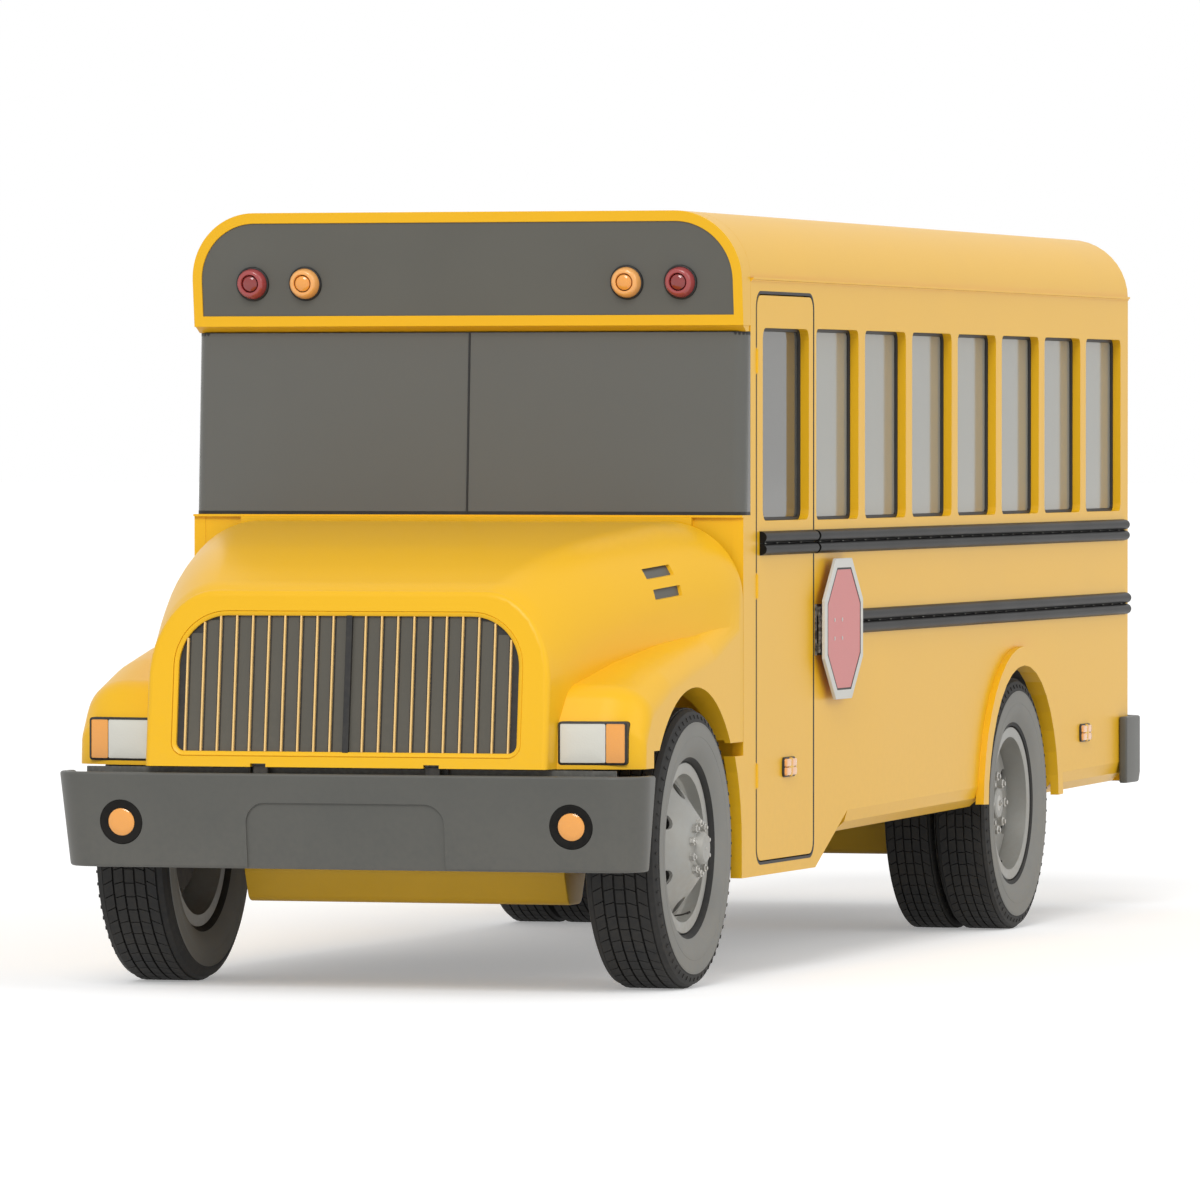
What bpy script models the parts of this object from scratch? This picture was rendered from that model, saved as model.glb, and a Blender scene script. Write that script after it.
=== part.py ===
"""A conventional school bus with a tilting hood, doors, a stop arm, steering and wheels.

Metres, +Z up. The front faces -Y and +X is the left side of the bus. Every Y below is measured
back from the front plane of the body. All pieces hang from one empty, which puts the middle of
the overall length, on the ground, at the origin.
"""

import math

import bmesh
import bpy
from mathutils import Matrix, Vector

# Body shell
BODY_LENGTH = 6.640
BODY_WIDTH = 2.440
ROOF_Z = 3.231
ROOF_CORNER = 0.286
WALL = 0.050
GLASS = 0.006
CLEAR = 0.0003  # between pieces that touch
SEAM = 0.008  # round doors and the hood
NOSE_LENGTH = 1.655  # front of the bumper to the body's front plane
REAR_OVERHANG = 0.194  # rear wall to the back of the rear bumper
HALF = BODY_WIDTH / 2
INSIDE = HALF - WALL
EAVES_Z = ROOF_Z - ROOF_CORNER
REAR_Y = BODY_LENGTH - WALL

# Running gear
WHEEL_Z = 0.581  # also the tyre's radius
FRONT_AXLE_Y = -0.706
WHEELBASE = 5.259
REAR_AXLE_Y = FRONT_AXLE_Y + WHEELBASE
KINGPIN_X = 0.950
RAIL_X = 0.430
RAIL_LOW = 0.720
RAIL_HIGH = 0.940
RAIL_FLANGE = 0.075
RAIL_WEB = 0.010

# Side doors
DOOR_FRONT_Y = 0.206
DOOR_WIDTH = 0.864
DOOR_LOW = 0.490
DOOR_HIGH = 2.878
DOOR_CORNER = 0.055
DOOR_REAR_Y = DOOR_FRONT_Y + DOOR_WIDTH
DOOR_MIDDLE_Y = DOOR_FRONT_Y + DOOR_WIDTH / 2
DOOR_STILE = 0.087
DOOR_STILE_REAR = 0.064
DOOR_WINDOW = (1.925, 2.741)  # low and high Z
DOOR_PANE_CORNER = 0.045
LEAF_STILE = 0.060
LEAF_WINDOW_LOW = 1.150
PANE_LAP = 0.020  # how far a pane reaches past its opening
SIDE_HINGE_Z = (0.85, 1.65, 2.60)
HINGE_LENGTH = 0.050
HINGE_RADIUS = 0.007
DOOR_FRONT_AXIS = DOOR_FRONT_Y - SEAM / 2
DOOR_REAR_AXIS = DOOR_REAR_Y + SEAM / 2

# Sides
SILL_Z = 0.427
SKIRT_FRONT = (DOOR_REAR_Y + 0.550, 0.656)  # Y and Z of the fold's front end
SKIRT_REAR_Z = 0.713
SKIRT_ROLL = (0.063, 0.094)  # how far the skirt turns in, and down
STEP_END_Y = DOOR_REAR_Y + 0.037
WINDOW_FIRST_Y = DOOR_REAR_Y + 0.050
WINDOW_END_Y = BODY_LENGTH - 0.144
WINDOW_COUNT = 7
WINDOW_POST = 0.105
WINDOW_PITCH = (WINDOW_END_Y - WINDOW_FIRST_Y + WINDOW_POST) / WINDOW_COUNT
WINDOW_WIDTH = WINDOW_PITCH - WINDOW_POST
WINDOW_LOW = 1.922
WINDOW_HIGH = 2.745
WINDOW_CORNER = 0.035
WINDOW_LAP = 0.030
FRONT_ARCH_RADIUS = 0.684
REAR_ARCH_RADIUS = 0.640
FLARE_WIDTH = 0.088
FLARE_PROUD = 0.029
FLARE_ENDS = (1.6, 178.4)  # degrees round the wheel from level
RAIL_PROUD = 0.029
UPPER_RAIL = (1.780, 1.880)
LOWER_RAIL = (1.424, 1.528)
RAIL_END_Y = BODY_LENGTH - 0.084
MARKER_Z = 0.874
MARKER_RADIUS = 0.040
MARKER_PROUD = 0.018
MARKER_FRONT_Y = 0.678
MARKER_REAR_Y = REAR_AXLE_Y + 1.233
ROOT = 0.010  # how far an added shape reaches into the one that carries it

# Front end
HEADER_LOW = 2.789
HEADER_LEAN = 0.058
HEADER_REAR_Y = 0.108
BROW_LOW = 2.723
SILL_TOP = 1.951
SILL_THICK = 0.010
SCREEN_LEAN = 0.052
SCREEN_CORNER = 0.057

# Floor
FLOOR_Z = 1.060
FLOOR_THICK = 0.040
FLOOR_LOW = FLOOR_Z - FLOOR_THICK

# ---------------------------------------------------------------------------------------------
# Scene, materials and helpers
# ---------------------------------------------------------------------------------------------

for old in list(bpy.data.objects):
    bpy.data.objects.remove(old, do_unlink=True)

BUS = bpy.data.collections.new("school_bus")
TOOLS = bpy.data.collections.new("cutters")
bpy.context.scene.collection.children.link(BUS)
bpy.context.scene.collection.children.link(TOOLS)
TOOLS.hide_render = True

ORIGIN = bpy.data.objects.new("bus_origin", None)
BUS.objects.link(ORIGIN)
ORIGIN.location.y = (NOSE_LENGTH - BODY_LENGTH - REAR_OVERHANG) / 2

# name: base colour, roughness, metallic
FINISHES = {
    "yellow_paint": ((0.905, 0.500, 0.035), 0.35, 0.0),
    "white_roof": ((0.72, 0.73, 0.68), 0.45, 0.0),
    "black_paint": ((0.02, 0.02, 0.02), 0.40, 0.0),
    "dark_panel": ((0.10, 0.10, 0.085), 0.50, 0.0),
    "bumper_grey": ((0.095, 0.095, 0.085), 0.55, 0.0),
    "glass": ((0.12, 0.13, 0.12), 0.08, 0.0),
    "pale_glass": ((0.45, 0.45, 0.41), 0.12, 0.0),
    "tyre_rubber": ((0.05, 0.05, 0.05), 0.85, 0.0),
    "rim_steel": ((0.55, 0.55, 0.53), 0.40, 0.6),
    "chassis_steel": ((0.03, 0.03, 0.03), 0.60, 0.4),
    "yellow_axle": ((0.80, 0.47, 0.06), 0.50, 0.0),
    "cast_iron": ((0.10, 0.10, 0.10), 0.70, 0.5),
    "tank_steel": ((0.20, 0.20, 0.20), 0.50, 0.5),
    "sign_red": ((0.60, 0.10, 0.09), 0.40, 0.0),
    "lamp_lens": ((0.80, 0.78, 0.68), 0.15, 0.0),
    "seat_vinyl": ((0.03, 0.05, 0.09), 0.60, 0.0),
    "floor_rubber": ((0.04, 0.04, 0.04), 0.80, 0.0),
    "dash_plastic": ((0.06, 0.06, 0.06), 0.60, 0.0),
}


def make_material(name):
    colour, roughness, metallic = FINISHES[name]
    material = bpy.data.materials.new(name)
    material.use_nodes = True
    shader = material.node_tree.nodes["Principled BSDF"]
    shader.inputs["Base Color"].default_value = (*colour, 1.0)
    shader.inputs["Roughness"].default_value = roughness
    shader.inputs["Metallic"].default_value = metallic
    return material


MATERIALS = {name: make_material(name) for name in FINISHES}


def arc(centre, radius, start, end, steps):
    """Points along an arc in degrees. The radius is one number, or one for each axis."""
    rx, ry = radius if isinstance(radius, tuple) else (radius, radius)
    angles = [math.radians(start + (end - start) * i / steps) for i in range(steps + 1)]
    return [(centre[0] + rx * math.cos(a), centre[1] + ry * math.sin(a)) for a in angles]


def rounded(corners, steps=4):
    """A closed outline from (x, y, radius) corners: each corner with a radius becomes an arc."""
    outline = []
    for i, (x, y, radius) in enumerate(corners):
        here = Vector((x, y))
        if not radius:
            outline.append((x, y))
            continue
        back = (Vector(corners[i - 1][:2]) - here).normalized()
        ahead = (Vector(corners[(i + 1) % len(corners)][:2]) - here).normalized()
        half = back.angle(ahead) / 2
        centre = here + (back + ahead).normalized() * radius / math.sin(half)
        start = here + back * radius / math.tan(half) - centre
        end = here + ahead * radius / math.tan(half) - centre
        turn = start.angle_signed(end)
        for k in range(steps + 1):
            spoke = Matrix.Rotation(-turn * k / steps, 2) @ start
            outline.append(tuple(centre + spoke))
    return outline


def rectangle(x0, x1, y0, y1, radius=0.0, steps=4):
    corners = [(x0, y0, radius), (x1, y0, radius), (x1, y1, radius), (x0, y1, radius)]
    return rounded(corners, steps)


def tool(name, mesh):
    """A hidden helper solid, used by a Boolean modifier."""
    obj = bpy.data.objects.new(name, mesh)
    obj.hide_render = True
    obj.display_type = "WIRE"
    obj.parent = ORIGIN
    TOOLS.objects.link(obj)
    return obj


def close_up(mesh):
    """Welds a mesh's points and turns its faces outwards."""
    form = bmesh.new()
    form.from_mesh(mesh)
    bmesh.ops.remove_doubles(form, verts=form.verts, dist=1e-6)
    bmesh.ops.recalc_face_normals(form, faces=form.faces)
    form.to_mesh(mesh)
    form.free()
    return mesh


# Each plane turns an outline's own x, y and thickness into the bus's axes.
PLANES = {
    "side": Matrix(((0, 0, 1), (1, 0, 0), (0, 1, 0))),  # outline is Y, Z
    "front": Matrix(((1, 0, 0), (0, 0, -1), (0, 1, 0))),  # outline is X, Z
    "top": Matrix(((1, 0, 0), (0, 1, 0), (0, 0, 1))),  # outline is X, Y
}
THICKNESS_AXIS = {"side": 0, "front": 1, "top": 2}


def plate(name, outlines, plane, low, high):
    """A flat outline, with holes where further outlines lie inside it, from low to high."""
    curve = bpy.data.curves.new(name, "CURVE")
    curve.dimensions = "2D"
    curve.fill_mode = "BOTH"
    curve.extrude = (high - low) / 2
    for outline in outlines:
        spline = curve.splines.new("POLY")
        spline.points.add(len(outline) - 1)
        for point, (x, y) in zip(spline.points, outline):
            point.co = (x, y, 0.0, 1.0)
        spline.use_cyclic_u = True
    flat = bpy.data.objects.new(name, curve)
    mesh = bpy.data.meshes.new_from_object(flat)
    mesh.name = name
    bpy.data.objects.remove(flat)
    offset = Vector((0.0, 0.0, 0.0))
    offset[THICKNESS_AXIS[plane]] = (low + high) / 2
    mesh.transform(Matrix.Translation(offset) @ PLANES[plane].to_4x4())
    return close_up(mesh)


def box(name, x, y, z, bevel=0.0, segments=2):
    """A box between pairs of limits, its edges rounded by a bevel."""
    form = bmesh.new()
    bmesh.ops.create_cube(form, size=1.0)
    for vert in form.verts:
        vert.co.x = x[1] if vert.co.x > 0 else x[0]
        vert.co.y = y[1] if vert.co.y > 0 else y[0]
        vert.co.z = z[1] if vert.co.z > 0 else z[0]
    if bevel:
        bmesh.ops.bevel(
            form, geom=form.edges[:], offset=bevel, segments=segments, affect="EDGES", profile=0.5
        )
    mesh = bpy.data.meshes.new(name)
    form.to_mesh(mesh)
    form.free()
    return mesh


AXES = {
    "x": Matrix.Rotation(math.radians(90), 4, "Y"),
    "y": Matrix.Rotation(math.radians(-90), 4, "X"),
    "z": Matrix.Identity(4),
}


def cylinder(name, axis, centre, radius, low, high, segments=24, radius_high=None):
    """A round bar along an axis, from low to high along it. centre is its other two places."""
    form = bmesh.new()
    bmesh.ops.create_cone(
        form,
        cap_ends=True,
        segments=segments,
        radius1=radius,
        radius2=radius if radius_high is None else radius_high,
        depth=high - low,
    )
    mesh = bpy.data.meshes.new(name)
    form.to_mesh(mesh)
    form.free()
    place = list(centre)
    place.insert("xyz".index(axis), (low + high) / 2)
    mesh.transform(Matrix.Translation(Vector(place)) @ AXES[axis])
    return mesh


def loft(name, sections):
    """A solid through rings of points, all with the same number of points, capped at its ends."""
    form = bmesh.new()
    rings = [[form.verts.new(point) for point in section] for section in sections]
    for one, two in zip(rings, rings[1:]):
        for i in range(len(one)):
            j = (i + 1) % len(one)
            form.faces.new((one[i], one[j], two[j], two[i]))
    form.faces.new(rings[0])
    form.faces.new(rings[-1])
    bmesh.ops.recalc_face_normals(form, faces=form.faces)
    mesh = bpy.data.meshes.new(name)
    form.to_mesh(mesh)
    form.free()
    return mesh


def mirrored(mesh):
    """The same shape on the other side of the bus."""
    copy = mesh.copy()
    copy.transform(Matrix.Scale(-1, 4, (1, 0, 0)))
    copy.flip_normals()
    return copy


def both(meshes):
    return [shape for mesh in meshes for shape in (mesh, mirrored(mesh))]


def combine(obj, label, operation, shapes):
    """One Boolean modifier that takes all of the shapes at once: meshes, or helpers made before."""
    group = bpy.data.collections.new(f"{obj.name}_{label}")
    TOOLS.children.link(group)
    for shape in shapes:
        helper = shape if isinstance(shape, bpy.types.Object) else tool(f"{obj.name}_{label}", shape)
        TOOLS.objects.unlink(helper)
        group.objects.link(helper)
    modifier = obj.modifiers.new(label, "BOOLEAN")
    modifier.operation = operation
    modifier.solver = "EXACT"
    modifier.operand_type = "COLLECTION"
    modifier.collection = group


def node(name, mesh, finish, add=(), cut=(), pivot=(0.0, 0.0, 0.0), smooth=35.0):
    """One piece of the bus. Its origin is on pivot, which is a moving piece's joint axis."""
    mesh.name = name
    mesh.transform(Matrix.Translation(-Vector(pivot)))
    mesh.shade_smooth()
    mesh.set_sharp_from_angle(angle=math.radians(smooth))
    mesh.materials.clear()
    mesh.materials.append(MATERIALS[finish])
    obj = bpy.data.objects.new(name, mesh)
    obj.location = pivot
    obj.parent = ORIGIN
    BUS.objects.link(obj)
    if add:
        combine(obj, "join", "UNION", list(add))
    if cut:
        combine(obj, "cut", "DIFFERENCE", list(cut))
    return obj


# ---------------------------------------------------------------------------------------------
# Body shell
# ---------------------------------------------------------------------------------------------

FOLD_REAR_Y = REAR_Y - CLEAR
WINDOW_STARTS = [WINDOW_FIRST_Y + WINDOW_PITCH * i for i in range(WINDOW_COUNT)]


def fold_z(y):
    """Height of the skirt's fold."""
    share = (y - SKIRT_FRONT[0]) / (REAR_Y - SKIRT_FRONT[0])
    return SKIRT_FRONT[1] + share * (SKIRT_REAR_Z - SKIRT_FRONT[1])


def door_outline(grow=0.0, y0=DOOR_FRONT_Y, y1=DOOR_REAR_Y):
    return rectangle(y0 - grow, y1 + grow, DOOR_LOW - grow, DOOR_HIGH + grow, DOOR_CORNER + grow)


HOOD_SEAM_Z = 0.950  # the hood's lower edge behind the wheel
ARCH_SEAM_ANGLE = math.degrees(math.asin((HOOD_SEAM_Z - SEAM - WHEEL_Z) / FRONT_ARCH_RADIUS))


def side_outline():
    arch_rear = arc((FRONT_AXLE_Y, WHEEL_Z), FRONT_ARCH_RADIUS, 0, ARCH_SEAM_ANGLE, 5)
    return [
        (FRONT_AXLE_Y + FRONT_ARCH_RADIUS, SILL_Z),
        *arch_rear,
        (0.0, HOOD_SEAM_Z - SEAM),
        (0.0, SILL_TOP - SILL_THICK),
        (HEADER_REAR_Y, SILL_TOP - SILL_THICK),
        (HEADER_REAR_Y, EAVES_Z),
        (FOLD_REAR_Y, EAVES_Z),
        (FOLD_REAR_Y, fold_z(REAR_Y)),
        (SKIRT_FRONT[0], SKIRT_FRONT[1]),
        (STEP_END_Y, SILL_Z),
    ]


def rib_outline(low, high):
    """Two half-round ribs on the side, one above the other, as X and Z."""
    radius = (high - low) / 4
    outline = [(HALF - ROOT, low), (HALF, low)]
    for z in (low + radius, high - radius):
        outline += arc((HALF, z), (RAIL_PROUD, radius * 0.98), -90, 90, 4)
    return outline + [(HALF, high), (HALF - ROOT, high)]


def rib(low, high, y0, y1):
    return plate("rib", [rib_outline(low, high)], "front", y0, y1)


def skirt():
    """The panel below the fold, turned in under the floor."""
    sections = []
    for y in (SKIRT_FRONT[0], FOLD_REAR_Y):
        z = fold_z(y)
        roll_in, roll_down = SKIRT_ROLL
        ring = [
            (HALF, z),
            (HALF - roll_in * 0.25, z - roll_down * 0.55),
            (HALF - roll_in, z - roll_down),
            (HALF - roll_in - 0.035, z - roll_down),
            (HALF - WALL, z - roll_down * 0.3),
            (HALF - WALL, z + 0.020),
            (HALF, z + 0.020),
        ]
        sections.append([(x, y, height) for x, height in ring])
    return loft("skirt", sections)


def arch_band(inner, outer, low, high):
    start, end = FLARE_ENDS
    outline = arc((REAR_AXLE_Y, WHEEL_Z), outer, start, end, 20)
    outline += arc((REAR_AXLE_Y, WHEEL_Z), inner, end, start, 20)
    return plate("flare", [outline], "side", low, high)


def hinge_barrels(name, axis_x, axis_y, heights, length):
    """Lift-off hinge barrels: the fixed one below, the moving one on top of it."""
    fixed = []
    moving = []
    for z in heights:
        place = (axis_x, axis_y)
        fixed.append(cylinder(name, "z", place, HINGE_RADIUS, z - length, z - CLEAR, 8))
        moving.append(cylinder(name, "z", place, HINGE_RADIUS, z, z + length, 8))
    return fixed, moving


def barrel_notches(name, axis_x, axis_y, heights, length, side):
    """Room round the other piece's barrels: side -1 is below each joint, +1 is above it."""
    notches = []
    for z in heights:
        low, high = (z - length - 0.003, z) if side < 0 else (z - CLEAR, z + length + 0.003)
        place = (axis_x, axis_y)
        notches.append(cylinder(name, "z", place, HINGE_RADIUS + 0.0018, low, high, 8))
    return notches


def marker(y):
    """A side marker lamp."""
    return cylinder("marker", "x", (y, MARKER_Z), MARKER_RADIUS, HALF - ROOT, HALF + MARKER_PROUD, 16)


def side_wall(side, doors, rail_start):
    """One side of the body, with its doorway, windows, rub rails and wheel arch."""
    windows = [
        rectangle(y, y + WINDOW_WIDTH, WINDOW_LOW, WINDOW_HIGH, WINDOW_CORNER, 3)
        for y in WINDOW_STARTS
    ]
    holes = [door_outline(SEAM), *windows]
    wall = plate("side", [side_outline(), *holes], "side", INSIDE, HALF)
    add = [
        skirt(),
        arch_band(REAR_ARCH_RADIUS - ROOT, REAR_ARCH_RADIUS + FLARE_WIDTH, HALF - ROOT, HALF + FLARE_PROUD),
        rib(*UPPER_RAIL, DOOR_REAR_Y + 3 * SEAM, RAIL_END_Y),
        rib(*LOWER_RAIL, rail_start, FOLD_REAR_Y - SEAM / 2),
        marker(MARKER_REAR_Y),
    ]
    cut = [cylinder("arch", "x", (REAR_AXLE_Y, WHEEL_Z), REAR_ARCH_RADIUS, INSIDE - WALL, HALF + WALL, 36)]
    for axis in doors:
        fixed, _ = hinge_barrels("hinge", HALF, axis, SIDE_HINGE_Z, HINGE_LENGTH)
        add += fixed
        cut += barrel_notches("notch", HALF, axis, SIDE_HINGE_Z, HINGE_LENGTH, 1)
    if side == "right":
        wall, add, cut = mirrored(wall), [mirrored(m) for m in add], [mirrored(m) for m in cut]
    node(f"side_wall_{side}", wall, "yellow_paint", add, cut)


def roof_outline(inset, low):
    """The body's section at the eaves and roof, from one side round to the other, as X and Z."""
    centre_x = HALF - ROOF_CORNER
    radius = ROOF_CORNER - inset
    right = arc((centre_x, EAVES_Z), radius, 0, 90, 10)
    left = [(-x, z) for x, z in reversed(right)]
    return [(HALF - inset, low), *right, *left, (-HALF + inset, low)]


def cant_rail(side):
    """The rounded panel between the side and the roof."""
    centre = (HALF - ROOF_CORNER, EAVES_Z + CLEAR)
    outer = arc(centre, ROOF_CORNER - CLEAR, 0, 90, 12)
    inner = arc(centre, ROOF_CORNER - WALL, 90, 0, 12)
    mesh = plate("cant", [outer + inner], "front", HEADER_REAR_Y + CLEAR, FOLD_REAR_Y)
    node(f"cant_rail_{side}", mesh if side == "left" else mirrored(mesh), "yellow_paint")


def roof_skin():
    edge = HALF - ROOF_CORNER - CLEAR
    mesh = box("roof", (-edge, edge), (HEADER_REAR_Y + CLEAR, FOLD_REAR_Y), (ROOF_Z - WALL, ROOF_Z))
    node("roof_skin", mesh, "white_roof")


HEADER_LAMPS = ((0.714, "amber"), (0.950, "red"))
LAMP_Z = 2.930
LAMP_RADIUS = 0.067
LAMP_PROUD = 0.046
HEADER_BANDS = (0.041, 0.042, 0.045)  # side, bottom and top bands round the header's panel
PANEL_DEPTH = 0.018


def header_face_y(z):
    """The header leans forward as it rises."""
    return -HEADER_LEAN * (z - HEADER_LOW) / (ROOF_Z - HEADER_LOW)


def header_section(inset_side, low, high, corner, offset):
    """A ring across the front, following the header's lean, offset back from its face."""
    outline = rounded(
        [
            (-HALF + inset_side, low, 0.0),
            (HALF - inset_side, low, 0.0),
            (HALF - inset_side, high, corner),
            (-HALF + inset_side, high, corner),
        ],
        10,
    )
    return [(x, header_face_y(z) + offset, z) for x, z in outline]


def level_section(section, y):
    return [(x, y, z) for x, _, z in section]


def header():
    """The cap over the windshield, open behind, with a sunk panel for the warning lamps."""
    outer = header_section(0.0, HEADER_LOW, ROOF_Z, ROOF_CORNER, 0.0)
    cap = loft("cap", [outer, level_section(outer, HEADER_REAR_Y)])
    brow_profile = [
        (HEADER_REAR_Y, BROW_LOW),
        (SCREEN_LEAN + 0.004, BROW_LOW),
        (0.004, HEADER_LOW + 0.002),
        (0.004, HEADER_LOW + 0.030),
        (HEADER_REAR_Y, HEADER_LOW + 0.030),
    ]
    brow = plate("brow", [brow_profile], "side", -HALF + 0.004, HALF - 0.004)
    band_side, band_low, band_high = HEADER_BANDS
    sunk = header_section(
        band_side, HEADER_LOW + band_low, ROOF_Z - band_high, ROOF_CORNER - band_side, PANEL_DEPTH
    )
    ahead = [(x, y - PANEL_DEPTH - 0.05, z) for x, y, z in sunk]
    hollow = rectangle(-INSIDE, INSIDE, BROW_LOW + 0.035, ROOF_Z - WALL, 0.15, 6)
    inner = plate("hollow", [hollow], "front", 0.045, HEADER_REAR_Y + 0.05)
    node("header_cap", cap, "yellow_paint", [brow], [loft("sunk", [ahead, sunk]), inner])

    edge = band_side + CLEAR
    face = header_section(
        edge, HEADER_LOW + band_low + CLEAR, ROOF_Z - band_high - CLEAR, ROOF_CORNER - edge, 0.006
    )
    back = [(x, y + PANEL_DEPTH - 0.006 - CLEAR, z) for x, y, z in face]
    lamps = []
    for x, _ in HEADER_LAMPS:
        y = header_face_y(LAMP_Z)
        span = (y - LAMP_PROUD, y + ROOT)
        lamp = cylinder("lamp", "y", (x, LAMP_Z), LAMP_RADIUS * 0.62, *span, 16, LAMP_RADIUS)
        for vert in lamp.vertices:
            vert.co.y += header_face_y(vert.co.z) - y
        lamps.append(lamp)
    node("header_panel", loft("panel", [face, back]), "dark_panel", both(lamps))


def screen_ring(z, y, inset):
    """The windshield's section: flat across, with a bend to the pillar at each end."""
    radius = SCREEN_CORNER - inset
    right = arc((HALF - SCREEN_CORNER, y + SCREEN_CORNER), radius, -90, 0, 5)
    right.append((HALF - inset, HEADER_REAR_Y - CLEAR))
    left = [(-px, py) for px, py in reversed(right)]
    return [(px, py, z) for px, py in left + right]


def windshield():
    rings = []
    for z, lean in ((SILL_TOP + CLEAR, 0.004), (BROW_LOW - CLEAR, SCREEN_LEAN - 0.008)):
        outer = screen_ring(z, lean, CLEAR)
        inner = screen_ring(z, lean, 0.012)
        rings.append(outer + list(reversed(inner)))
    node("windshield", loft("screen", rings), "glass")


COWL_LOW = 0.470
COWL_FRONT_Y = 0.002
COWL_THICK = 0.028
COWL_LEDGE = (-0.030, 1.820)  # Y of its front and Z of its lowest edge
COWL_LEDGE_INSET = 0.220
RAIL_ROOM = 0.010  # over the frame rails, below the panels that they pass
WELL_INNER_X = 0.640


def cowl():
    """The wall behind the engine, down to the step wells, and the ledge under the windshield."""
    top = SILL_TOP - CLEAR
    under = top - SILL_THICK
    edge = INSIDE - CLEAR
    over_rails = RAIL_HIGH + RAIL_ROOM
    outline = [
        (-edge, COWL_LOW),
        (-WELL_INNER_X, COWL_LOW),
        (-WELL_INNER_X, over_rails),
        (WELL_INNER_X, over_rails),
        (WELL_INNER_X, COWL_LOW),
        (edge, COWL_LOW),
        (edge, under),
        (-edge, under),
    ]
    wall = plate("firewall", [outline], "front", COWL_FRONT_Y, COWL_FRONT_Y + COWL_THICK)
    front, low = COWL_LEDGE
    ledge = [(front, low + 0.080), (COWL_THICK - ROOT, low), (COWL_THICK - ROOT, top), (front, under)]
    nose = plate("ledge", [ledge], "side", -HALF + COWL_LEDGE_INSET, HALF - COWL_LEDGE_INSET)
    sill = box("sill", (-HALF, HALF), (front / 2, HEADER_REAR_Y - CLEAR), (top - SILL_THICK + CLEAR, top))
    node("cowl", wall, "yellow_paint", [nose, sill])


REAR_DOOR_HALF = 0.360
REAR_DOOR_CORNER = 0.060
REAR_NOTCH_HALF = 0.600
REAR_DOOR_LOW = 1.000
REAR_DOOR_HIGH = 2.760
REAR_WINDOW = (0.500, 1.020, 1.960, 2.700)
REAR_WINDOW_CORNER = 0.050
# X, Z and radius of each lamp on one side
REAR_LAMPS = ((0.950, 2.930, 0.067), (0.714, 2.930, 0.067), (0.930, 1.560, 0.090), (0.930, 1.330, 0.090))
REAR_LAMP_PROUD = 0.030
REAR_HINGE_Z = (1.20, 1.90, 2.60)


def rear_wall():
    low = fold_z(REAR_Y) - SKIRT_ROLL[1]
    over_rails = RAIL_HIGH + RAIL_ROOM
    notch = [(-REAR_NOTCH_HALF, low), (-REAR_NOTCH_HALF, over_rails)]
    notch += [(-x, z) for x, z in reversed(notch)]
    outline = roof_outline(0.0, low) + notch
    x0, x1, z0, z1 = REAR_WINDOW
    doorway = rectangle(
        -REAR_DOOR_HALF - SEAM,
        REAR_DOOR_HALF + SEAM,
        REAR_DOOR_LOW - SEAM,
        REAR_DOOR_HIGH + SEAM,
        REAR_DOOR_CORNER + SEAM,
    )
    windows = [rectangle(*span, z0, z1, REAR_WINDOW_CORNER) for span in ((x0, x1), (-x1, -x0))]
    holes = [doorway, *windows]
    wall = plate("rear", [outline, *holes], "front", REAR_Y, BODY_LENGTH)
    span = (BODY_LENGTH - ROOT, BODY_LENGTH + REAR_LAMP_PROUD)
    lamps = [cylinder("lamp", "y", (x, z), radius, *span, 12, radius * 0.8) for x, z, radius in REAR_LAMPS]
    axis = -REAR_DOOR_HALF - SEAM / 2
    fixed, _ = hinge_barrels("hinge", axis, BODY_LENGTH, REAR_HINGE_Z, HINGE_LENGTH)
    notches = barrel_notches("notch", axis, BODY_LENGTH, REAR_HINGE_Z, HINGE_LENGTH, 1)
    node("rear_wall", wall, "yellow_paint", both(lamps) + fixed, notches)
    for side, sign in (("left", 1), ("right", -1)):
        lap = WINDOW_LAP
        glass = rectangle(x0 - lap, x1 + lap, z0 - lap, z1 + lap, PANE_LAP)
        glass = [(sign * x, z) for x, z in glass]
        mesh = plate("glass", [glass], "front", REAR_Y - CLEAR - GLASS, REAR_Y - CLEAR)
        node(f"rear_glass_{side}", mesh, "pale_glass")



def side_glass(side):
    lap = WINDOW_LAP
    outline = rectangle(WINDOW_FIRST_Y - lap, WINDOW_END_Y + lap, WINDOW_LOW - lap, WINDOW_HIGH + lap)
    mesh = plate("glass", [outline], "side", INSIDE - CLEAR - GLASS, INSIDE - CLEAR)
    node(f"side_glass_{side}", mesh if side == "left" else mirrored(mesh), "pale_glass")


# ---------------------------------------------------------------------------------------------
# Doors and the stop arm
# ---------------------------------------------------------------------------------------------


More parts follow.
